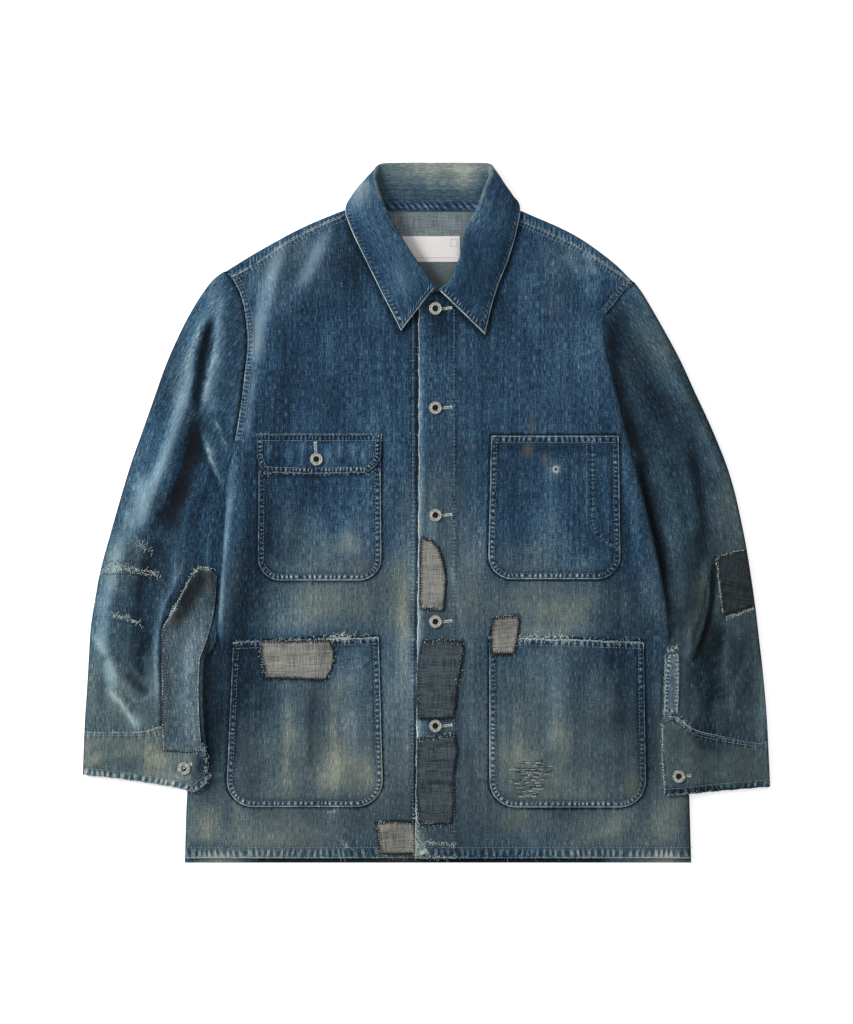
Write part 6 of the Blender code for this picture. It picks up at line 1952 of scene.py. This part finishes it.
class Threads:
    """Many short threads, made as one piece."""

    def __init__(self, seed):
        self.lines = []
        self.dice = np.random.default_rng(seed)

    def run(self, points, radius):
        """One thread through points in millimetres."""
        self.lines.append((np.array(points, float), radius))

    def stitches(self, path, offset, ground, pitch=3.6, length=3.1, radius=0.3, slant=0.0, missed=0.05,
                 low=0.0, high=1.0):
        """Running stitches beside a line."""
        places, way = path.spaced(pitch, offset)
        share = np.linspace(0, 1, len(places))
        keep = (self.dice.random(len(places)) > missed) & (share >= low) & (share <= high)
        places, way = places[keep], way[keep]
        angle = slant + self.dice.normal(0, 0.07, len(way))
        way = np.column_stack([way[:, 0] * np.cos(angle) - way[:, 1] * np.sin(angle),
                               way[:, 0] * np.sin(angle) + way[:, 1] * np.cos(angle)])
        half = length / 2 * self.dice.uniform(0.85, 1.1, len(way))[:, None]
        trees = [cloth_tree(n) for n in ground]
        rows = [places + way * half * k for k in (-1, -0.45, 0.45, 1)]
        lifts = (-STITCH_SINK, radius * 0.8, radius * 0.8, -STITCH_SINK)
        rises = [height(trees, row) + lift for row, lift in zip(rows, lifts)]
        for k in range(len(places)):
            self.run([(*row[k], rise[k]) for row, rise in zip(rows, rises)], radius)

    def across(self, path, offset, ground, pitch, inner, outer, radius, slant=0.35):
        """Whip stitches over an edge, from inside it to outside."""
        places, way = path.spaced(pitch, offset)
        side, lean = left_of(way), way * slant
        trees = [cloth_tree(n) for n in ground]
        sizes = self.dice.uniform(0.8, 1.25, len(places))[:, None]
        a = places + (side + lean) * inner * sizes
        b = places + (side - lean) * -outer * sizes
        middle = a * 0.55 + b * 0.45
        high_a, high_b, top = (height(trees, q) for q in (a, b, middle))
        top = np.maximum(np.maximum(top, high_b), high_a - 0.5)
        for k in range(len(places)):
            if self.dice.random() > MISSED_WHIP:
                self.run([(*a[k], high_a[k] - 0.15), (*(a[k] * 0.8 + b[k] * 0.2), high_a[k] + radius),
                          (*middle[k], top[k] + radius), (*b[k], high_b[k] - 0.15)], radius)

    def frays(self, path, offset, ground, spacing, length, radius=0.13, spread=1.0):
        """Loose curled ends beside a line."""
        places, way = path.spaced(spacing, offset)
        dice, trees, threads = self.dice, [cloth_tree(n) for n in ground], []
        for place, ahead in zip(places, way):
            start = place + dice.normal(0, spread, 2)
            angle = math.atan2(ahead[1], ahead[0]) + dice.normal(0, 0.8)
            step, bend, q = length * dice.uniform(0.4, 1.3) / 5, dice.normal(0, 0.5), start
            line = [q]
            for _ in range(5):
                angle += bend + dice.normal(0, 0.35)
                q = q + step * np.array([math.cos(angle), math.sin(angle)])
                line.append(q)
            threads.append(np.array(line))
        rises = height(trees, np.vstack(threads)).reshape(len(threads), -1)
        for line, rise in zip(threads, rises):
            arch = radius + FRAY_LIFT * np.sin(np.linspace(0.2, math.pi * 0.9, 6)) * dice.uniform(0.3, 1.2)
            arch[0] -= 0.3
            self.run(np.column_stack([line, np.maximum(rise, 0.05) + arch]), radius)

    def build(self, name, finish, slot, sides=4):
        """Make the threads as one piece."""
        points, faces, count = [], [], 0
        turns = np.linspace(0, 2 * math.pi, sides, endpoint=False) + 0.4
        for line, radius in self.lines:
            way = unit(np.gradient(line, axis=0))
            side = unit(np.cross(way, (0.0, 0.0, 1.0)) + np.array([1e-6, 0, 0]))
            other = np.cross(side, way)
            size = np.full(len(line), radius)
            size[0] = size[-1] = radius * 0.55
            rings = (line[:, None] + (side[:, None] * np.cos(turns)[None, :, None]
                                      + other[:, None] * np.sin(turns)[None, :, None]) * size[:, None, None])
            points.append(rings.reshape(-1, 3))
            n = len(line)
            for i in range(n - 1):
                for k in range(sides):
                    a, b = count + i * sides + k, count + i * sides + (k + 1) % sides
                    faces.append((b, a, a + sides, b + sides))
            faces.append(tuple(count + k for k in range(sides)))
            faces.append(tuple(count + (n - 1) * sides + k for k in reversed(range(sides))))
            count += n * sides
        mesh = bpy.data.meshes.new(name)
        mesh.from_pydata((np.vstack(points) * MM).tolist(), [], faces)
        mesh.materials.append(finish)
        mesh.polygons.foreach_set("use_smooth", np.ones(len(faces), bool))
        mesh.update()
        return dress(add(name, mesh), [], slot)


def seams(side):
    """The edge, shoulder and hem of a front, each with its inner side on the left."""
    seam = shoulder_line(side, 0.4)
    hem = np.array([(free_edge(side, HEM_FRONT), HEM_FRONT), (side_edge(side, HEM_FRONT), HEM_FRONT)])
    edge = side_line(side, ARMHOLE_LOW[side], seam[0, 1] - 1.0)
    return [Path(line[::side]) for line in (edge, seam, hem)]


def make_stitches():
    """Rows of machine stitches."""
    c = colours()
    pale = thread("thread_pale", c.thread)
    body = Threads(11)
    for side, name in FRONT.items():
        edge, seam, hem = seams(side)
        for line, offset in ((edge, 1.3), (edge, 7.0), (seam, 1.4), (seam, 5.4)):
            body.stitches(line, offset, [name])
        body.stitches(hem, 12.2, [name], pitch=3.8, length=3.1)
        x = FRONT_STITCH[side]
        body.stitches(Path([(x, -386), (x, 228)]), 0.0, [name], pitch=3.8, length=3.4, radius=0.32)
    body.build("body_stitches", pale, "denim_body")
    small = Threads(12)
    for name in POCKETS:
        border, mouth = pocket_lines(name)
        small.stitches(Path(border), 6.2, [name + "_cloth"], pitch=3.8, length=2.4, radius=0.26)
        small.stitches(Path(mouth), 7.4, [name + "_cloth"], pitch=3.8, length=2.7, radius=0.26)
    for line in CHANNEL:
        small.stitches(Path(line), 0.0, ["chest_pocket_left_cloth"], pitch=3.6, length=2.5, radius=0.26)
    edge, top, _ = flap_lines()
    for line, offset in ((edge, 6.2), (top, 1.6), (top, 8.0)):
        small.stitches(line, offset, ["pocket_flap_cloth"])
    small.build("pocket_stitches", pale, "denim_body")


def make_cuff_stitches():
    """Stitches round the cuffs and the sleeve's facing."""
    rows = Threads(13)
    for side, name in CUFF.items():
        seam, hem = sleeve_parts(side)[0], curved(CUFF_HEM[side], 2.5)[::side]
        for line, offset in ((hem, 8.0), (seam, -1.6), (seam, -4.6)):
            rows.stitches(Path(line), offset * side, [name], pitch=3.4, low=0.02, high=0.98)
    rows.stitches(Path(SLEEVE_FACING[1:5]), 1.6, ["sleeve_facing_cloth"])
    rows.build("cuff_stitches", thread("thread_pale", colours().thread), "denim_worn")


DARNED_CLOTH = ["hip_pocket_left_cloth"]
# height of a row, where it starts and ends
DARNED = [(-280.5, 111, 127), (-283.5, 108, 124), (-285, 126, 141), (-287.5, 92, 103), (-288, 108, 130),
          (-291, 104, 125), (-293.5, 106, 118), (-293, 124, 137), (-296.5, 110, 124), (-300, 107, 132),
          (-303, 100, 126), (-306, 112, 128), (-309, 102, 116), (-310, 119, 129), (-313, 108, 126),
          (-316, 114, 124), (-318.5, 104, 122)]
ZIGZAGS = [        # where a zigzag starts and ends, its step, its height and its drop, on the right sleeve
    (-362, -308, 3.6, -53.5, 4.5), (-357, -344, 2.6, -106, 5.5), (-345, -324, 3.0, -112, 2.5)]
OVERCAST = [[(-364, -69.5), (-340, -69), (-305, -73)], [(-352, -121), (-330, -126)]]
FOREARM_SEWN = [(-298, -130), (-298, -200), (-297, -268), (-270, -269.5), (-253, -268)]


def make_mends():
    """Hand stitches that hold the patches, and darning."""
    c = colours()
    dark = Threads(21)
    for patch in PATCHES:
        border = closed(ring(patch.outline))
        if patch.tone == "forearm":
            border = Path(FOREARM_SEWN)
        cloths = patch.ground + [patch.node + "_cloth"]
        dark.across(border, 0.0, cloths, 2.9, 2.2, 2.0, 0.5)
        dark.stitches(border, -0.5, cloths, pitch=2.6, length=2.6, radius=0.46)
    for y, x0, x1 in DARNED:
        row = [(x0 + (x1 - x0) * t, y + dark.dice.uniform(-1.0, 1.0)) for t in (0, 0.3, 0.6, 1)]
        dark.stitches(Path(row), 0.0, DARNED_CLOTH, pitch=13.0, length=11.0, radius=0.42, missed=0.1)
    for start, end, step, y, drop in ZIGZAGS:
        zigzag = [(x, y - (k % 2) * drop) for k, x in enumerate(np.arange(start, end, step))]
        dark.stitches(Path(zigzag), 0.0, [SLEEVE[RIGHT]], pitch=4.4, length=4.0, radius=0.3)
    for line in OVERCAST:
        dark.stitches(Path(line), 0.0, [SLEEVE[RIGHT]], pitch=2.6, length=2.0, radius=0.4, slant=1.2)
    dark.build("dark_mending", thread("thread_dark", c.thread_dark), "denim_worn")


FRAYED = [      # pieces below, spacing, length and spread of the loose ends, and their line
    (["pocket_flap_cloth", "chest_pocket_right_cloth"], 2.2, 4.0, 0.8,
     [(-186, 44.6), (-120, 43.8), (-62, 45.5)]),
    (["sleeve_right_tube"], 0.55, 4.2, 1.7, [(-368, -65), (-345, -62.5), (-325, -66), (-302, -70)]),
    (["sleeve_right_tube"], 0.7, 4.6, 1.3, [(-356, -115), (-345, -117), (-334, -120), (-322, -126)]),
    (["sleeve_right_tube"], 0.7, 5.0, 2.4, [(-326, -34), (-319, -40), (-313, -44)]),
    (["patch_forearm_right_cloth", "sleeve_right_tube"], 0.7, 4.4, 1.0,
     [(-264, -70), (-257, -62), (-243, -63)]),
    (["patch_forearm_right_cloth", "sleeve_right_tube"], 0.7, 2.0, 0.3,
     [(-266, -72), (-276, -92), (-285, -110), (-297, -130)]),
    (["patch_forearm_right_cloth", "sleeve_right_tube"], 0.5, 4.0, 1.0, [(-282, -104), (-286, -112)]),
    (["patch_forearm_right_cloth", "cuff_right_band"], 2.2, 3.4, 0.7,
     [(-297, -268), (-270, -269.5), (-252, -267)]),
    (["cuff_right_band"], 0.8, 4.6, 1.0, [(-249, -264), (-247, -280), (-246, -300)]),
    (["cuff_right_band"], 0.9, 4.4, 1.0, [(-268, -312), (-260, -314), (-247, -304)]),
    (["cuff_right_band"], 3.0, 3.4, 0.5, [(-389, -297), (-347, -300), (-301, -307), (-270, -312)]),
    (["patch_elbow_left_cloth", "sleeve_left_tube"], 0.35, 1.8, 0.45,
     [(327, -52), (329, -72), (332, -95), (334, -112)]),
    (["patch_elbow_left_cloth", "sleeve_left_tube"], 0.8, 2.4, 0.5,
     [(327, -55), (330, -50), (345, -44.5), (358, -42)]),
    (["sleeve_left_tube"], 0.6, 3.6, 0.6, [(337, -118.5), (354, -113.5), (369, -107.5)]),
    (["sleeve_facing_cloth", "sleeve_left_tube"], 0.45, 1.8, 0.3,
     [(269, -160), (268.5, -200), (268, -228)]),
    (["sleeve_facing_cloth"], 0.6, 1.8, 0.3, [(282, -158), (283, -190), (282, -226)]),
    (["sleeve_facing_cloth", "sleeve_left_tube"], 0.5, 4.0, 1.0,
     [(270, -157), (276, -155), (283, -150)]),
    (["sleeve_left_tube", "cuff_left_band"], 0.5, 5.0, 2.2, [(270, -229), (277, -231), (284, -234)]),
    (["sleeve_left_tube", "cuff_left_band"], 0.6, 4.4, 1.4, [(288, -235), (296, -241)]),
    (["cuff_left_band"], 0.45, 2.2, 0.4, [(265.5, -238), (266, -280), (268.5, -316)]),
    (["cuff_left_band"], 1.4, 3.0, 0.5, [(270, -318), (300, -316), (330, -314)]),
    (["hip_pocket_right_cloth", "front_right_panel"], 0.7, 6.5, 1.2,
     [(-109, -142), (-98, -141), (-86, -141)]),
    (["front_left_panel", "front_right_panel"], 4.5, 3.0, 0.4,
     [(-8, 232), (-8, 120), (-8, 20), (-9, -130), (-11, -250), (-13, -388)]),
    (["patch_hem_cloth", "front_right_panel"], 0.6, 3.6, 1.0, [(-56, -350), (-52, -348), (-48, -350)]),
    (["front_left_panel"], 0.12, 3.6, 1.2, [(-8, -383), (-3, -384), (-1, -381)]),
    (["front_left_panel"], 0.7, 4.0, 0.9, [(-8, -374), (2, -371), (14, -373), (32, -375)]),
    (["front_left_panel"], 0.8, 3.6, 1.2, [(0, -389), (18, -388), (34, -389)]),
    (["front_left_panel"], 0.5, 4.4, 1.1, [(-11, -330), (-10.5, -360), (-11, -386)]),
    (["front_right_panel"], 0.6, 5.0, 1.6, [(-104, -336), (-108, -340)]),
    (["front_right_panel"], 0.9, 4.6, 1.8, [(-96, -370), (-88, -378)]),
    (["hip_pocket_right_cloth", "front_right_panel"], 0.8, 5.0, 1.6,
     [(-116, -142), (-92, -139), (-84, -139.5)]),
    (["hip_pocket_left_cloth", "front_left_panel"], 0.6, 5.0, 1.4,
     [(106, -141), (130, -139.5), (160, -140)]),
    (["patch_hem_cloth", "front_right_panel"], 1.1, 3.6, 0.8, [(-14, -350), (-13, -368), (-13, -386)]),
    (["patch_hem_cloth", "front_right_panel"], 1.4, 3.0, 0.6, [(-56, -352), (-53, -366), (-51, -384)]),
    (["patch_hip_right_cloth", "hip_pocket_right_cloth"], 1.8, 3.0, 0.6,
     [(-187, -150), (-186, -164), (-183, -180)]),
    (["patch_hip_right_cloth", "hip_pocket_right_cloth"], 1.2, 3.4, 0.8,
     [(-105, -155), (-105, -170), (-112, -187)]),
    (["patch_hip_left_cloth", "front_left_panel"], 1.4, 3.4, 0.8,
     [(77, -119), (90, -117), (103, -116)]),
    (["patch_hip_left_cloth", "hip_pocket_left_cloth"], 1.2, 4.0, 1.2,
     [(104, -142), (100, -152), (98, -160)]),
    (["patch_placket_upper_cloth", "front_left_panel"], 1.4, 3.0, 0.8,
     [(-6, -30), (6, -32), (16, -46)]),
    (["patch_placket_upper_cloth", "front_left_panel"], 0.9, 4.0, 1.2,
     [(18, -108), (5, -107), (-7, -107)]),
    (["patch_placket_middle_cloth", "front_left_panel"], 1.6, 3.4, 0.8,
     [(-4, -145), (18, -146), (40, -146)]),
    (["patch_placket_middle_cloth", "front_left_panel"], 2.4, 3.0, 0.6,
     [(41, -150), (38, -176), (34, -196)]),
    (["patch_placket_lower_cloth", "front_left_panel"], 1.2, 3.6, 0.8,
     [(-9, -256), (10, -253), (31, -251)]),
    (["patch_placket_lower_cloth", "front_left_panel"], 1.8, 3.4, 0.8,
     [(-9, -350), (10, -352), (27, -352)]),
]


def make_frays():
    """Loose pale ends along worn edges."""
    c = colours()
    loose = Threads(41)
    for side, name in FRONT.items():
        loose.frays(seams(side)[2], 0.6, [name, "back_panel"], 4.5, 4.0)
    for side, name in ((RIGHT, "hip_pocket_right"), (LEFT, "hip_pocket_left")):
        mouth = Path(pocket_lines(name)[1])
        loose.frays(mouth, 0.3, [name + "_cloth", FRONT[side]], 1.3, 5.0, spread=1.0)
    for ground, spacing, length, spread, line in FRAYED:
        loose.frays(Path(line), 0.0, ground, spacing, length, radius=0.16, spread=spread)
    for y, x0, x1 in DARNED:
        y -= 1.7
        row = Path([(x0 + 3, y), ((x0 + x1) / 2, y + loose.dice.uniform(-1, 1)), (x1 - 1, y)])
        for offset in (-0.5, 0.5):
            loose.stitches(row, offset, DARNED_CLOTH, pitch=9.0, length=8.0, radius=0.22, missed=0.25)
    loose.frays(Path(hole_ring(*EYELET, 3.0, 6)), 0.0, ["chest_pocket_left_cloth"], 0.6, 2.6, spread=0.4)
    loose.build("loose_threads", thread("thread_fray", c.fray), "denim_worn", sides=3)


# both ends of each hole and the pieces below it
BUTTONHOLES = [([(x + 6.4, y - 0.6), (x + 18.5, y + 0.9)], ground) for _, (x, y), ground in BUTTONS[:5]] + [
    ([(-124.6, 66.5), (-125.2, 79.0)], ["pocket_flap_cloth"]),
    ([(288.0, -297.0), (297.5, -296.2)], ["cuff_left_band"]),
    ([(-279.0, -290.5), (-264.5, -283.0)], ["cuff_right_band", "button_cuff_right_ring"])]


def make_buttonholes():
    """Pale worked edges of the buttonholes."""
    work = Threads(51)
    for line, ground in BUTTONHOLES:
        middle = Path(line)
        for offset in (-0.9, 0.9):
            work.across(middle, offset, ground, 0.62, 0.8, 0.8, 0.25, slant=0.0)
        end, bar = middle.p[1], left_of(middle.seg / middle.length)[0]
        work.across(Path([end - bar * 1.5, end + bar * 1.5]), 0.0, ground, 0.6, 0.9, 0.9, 0.28, slant=0.0)
    work.build("buttonholes", thread("thread_buttonhole", colours().fray), "denim_body")


# ---- What a user would change ----

def colour(name, description, default):
    """A colour of the jacket."""
    return FloatVectorProperty(name=name, description=description, default=default, subtype="COLOR",
                               size=3, min=0.0, max=1.0)


class JacketSizes(PropertyGroup):
    """Sizes of the cloth."""
    cloth_thickness: FloatProperty(name="Cloth thickness", description="Thickness of one layer of denim",
                                   default=0.0012, min=0.0005, max=0.002, unit="LENGTH", precision=4)
    pucker_height: FloatProperty(name="Pucker height", description="Height of the puckers along the seams",
                                 default=0.00032, min=0.0, max=0.001, unit="LENGTH", precision=5)
    crease_height: FloatProperty(name="Crease height", description="How deep the soft folds are, as a share",
                                 default=1.0, min=0.0, max=1.5, subtype="FACTOR")


class JacketColours(PropertyGroup):
    """Colours of cloth, thread and metal."""
    indigo: colour("Indigo", "Denim that is little worn", (0.0165, 0.054, 0.108))
    washed: colour("Washed indigo", "Denim washed many times", (0.064, 0.128, 0.192))
    faded: colour("Faded indigo", "Denim rubbed pale", (0.178, 0.240, 0.268))
    worn: colour("Worn through", "Bare weft on edges and high places", (0.40, 0.47, 0.46))
    grime: colour("Grime", "What old dirt leaves of the light", (1.0, 0.87, 0.70))
    stain: colour("Stain", "Brown stains", (0.120, 0.118, 0.090))
    dust: colour("Dust", "Grey that old dirt lays over the cloth", (0.112, 0.130, 0.116))
    reverse: colour("Inside", "Inside of the denim", (0.205, 0.255, 0.275))
    taupe: colour("Pale patch", "Grey-brown patches", (0.190, 0.193, 0.175))
    dark_patch: colour("Dark patch", "Dark patches", (0.040, 0.057, 0.066))
    thread: colour("Thread", "Machine stitches", (0.26, 0.33, 0.35))
    thread_dark: colour("Mending thread", "Stitches round the patches", (0.012, 0.014, 0.018))
    fray: colour("Loose ends", "Frayed cotton", (0.66, 0.76, 0.72))
    metal: colour("Buttons", "Metal of the buttons", (0.42, 0.42, 0.385))
    label: colour("Label", "Woven label", (0.78, 0.755, 0.74))
    label_red: colour("Label rule", "Plain rules on the label", (0.42, 0.12, 0.10))


class JacketView(PropertyGroup):
    """Light and camera."""
    key: FloatProperty(name="Key light", description="Power of the main lamp", default=112.0, min=0.0,
                       max=500.0, unit="POWER")
    fill: FloatProperty(name="Fill light", description="Strength of the light from all round",
                        default=0.38, min=0.0, max=1.0, subtype="FACTOR")
    camera_height: FloatProperty(name="Camera height", description="Height of the camera above the floor",
                                 default=2.732, min=1.0, max=6.0, unit="LENGTH")


# ---- What makes each piece ----

class Step:
    """What the steps share: each makes its pieces with the sizes in the panel."""

    def execute(self, context):
        self.make(context.scene.jacket_sizes)
        return {"FINISHED"}


class JACKET_OT_back(Step, Operator):
    """Make the back"""
    bl_idname = "jacket.back"
    bl_label = "Back"

    def make(self, sizes):
        make_back(sizes)


class JACKET_OT_fronts(Step, Operator):
    """Make the two fronts"""
    bl_idname = "jacket.fronts"
    bl_label = "Fronts"

    def make(self, sizes):
        for side in FRONT:
            make_front(side, sizes)


class JACKET_OT_sleeves(Step, Operator):
    """Make the two sleeves"""
    bl_idname = "jacket.sleeves"
    bl_label = "Sleeves"

    def make(self, sizes):
        for side in SLEEVE:
            make_sleeve(side, sizes)


class JACKET_OT_cuffs(Step, Operator):
    """Make the two cuffs"""
    bl_idname = "jacket.cuffs"
    bl_label = "Cuffs"

    def make(self, sizes):
        for side in CUFF:
            make_cuff(side, sizes)


class JACKET_OT_collar(Step, Operator):
    """Make the collar"""
    bl_idname = "jacket.collar"
    bl_label = "Collar"

    def make(self, sizes):
        make_collar(sizes)


class JACKET_OT_pockets(Step, Operator):
    """Make the four pockets and the flap"""
    bl_idname = "jacket.pockets"
    bl_label = "Pockets and flap"

    def make(self, sizes):
        for name in POCKETS:
            make_pocket(name, sizes)
        make_flap(sizes)


class JACKET_OT_patches(Step, Operator):
    """Make the patches and the facing of the left sleeve"""
    bl_idname = "jacket.patches"
    bl_label = "Patches"

    def make(self, sizes):
        for patch in PATCHES:
            make_patch(patch, sizes)
        make_sleeve_facing(sizes)


class JACKET_OT_buttons(Step, Operator):
    """Make the buttons"""
    bl_idname = "jacket.buttons"
    bl_label = "Buttons"

    def make(self, sizes):
        for name, place, ground in BUTTONS:
            make_button(name, place, ground)


class JACKET_OT_label(Step, Operator):
    """Make the neck label"""
    bl_idname = "jacket.label"
    bl_label = "Label"

    def make(self, sizes):
        make_label()


class JACKET_OT_threads(Step, Operator):
    """Make stitches, mending, buttonholes and loose ends"""
    bl_idname = "jacket.threads"
    bl_label = "Threads"

    def make(self, sizes):
        make_stitches()
        make_cuff_stitches()
        make_mends()
        make_buttonholes()
        make_frays()


class JACKET_OT_stage(Step, Operator):
    """Set up the floor, the lamps and the camera"""
    bl_idname = "jacket.stage"
    bl_label = "Stage"

    def make(self, sizes):
        make_stage(bpy.context.scene.jacket_view)


STEPS = (JACKET_OT_back, JACKET_OT_fronts, JACKET_OT_sleeves, JACKET_OT_cuffs, JACKET_OT_collar,
         JACKET_OT_pockets, JACKET_OT_patches, JACKET_OT_buttons, JACKET_OT_label, JACKET_OT_threads,
         JACKET_OT_stage)


class JACKET_PT_panel(Panel):
    """Sizes, colours, light and the steps"""
    bl_label = "Jacket"
    bl_idname = "JACKET_PT_panel"
    bl_space_type = "VIEW_3D"
    bl_region_type = "UI"
    bl_category = "Jacket"

    def draw(self, context):
        for group in (context.scene.jacket_sizes, context.scene.jacket_colours, context.scene.jacket_view):
            for key in group.__annotations__:
                self.layout.prop(group, key)
        for step in STEPS:
            self.layout.operator(step.bl_idname)


CLASSES = (JacketSizes, JacketColours, JacketView, *STEPS, JACKET_PT_panel)
GROUPS = {"jacket_sizes": JacketSizes, "jacket_colours": JacketColours, "jacket_view": JacketView}


def register():
    for cls in CLASSES:
        bpy.utils.register_class(cls)
    for key, group in GROUPS.items():
        setattr(bpy.types.Scene, key, PointerProperty(type=group))


def unregister():
    for key in GROUPS:
        delattr(bpy.types.Scene, key)
    for cls in reversed(CLASSES):
        bpy.utils.unregister_class(cls)


def main():
    """Make the jacket and the stage."""
    register()
    for step in STEPS:
        getattr(bpy.ops.jacket, step.bl_idname.split(".")[1])()


if __name__ == "__main__":
    main()
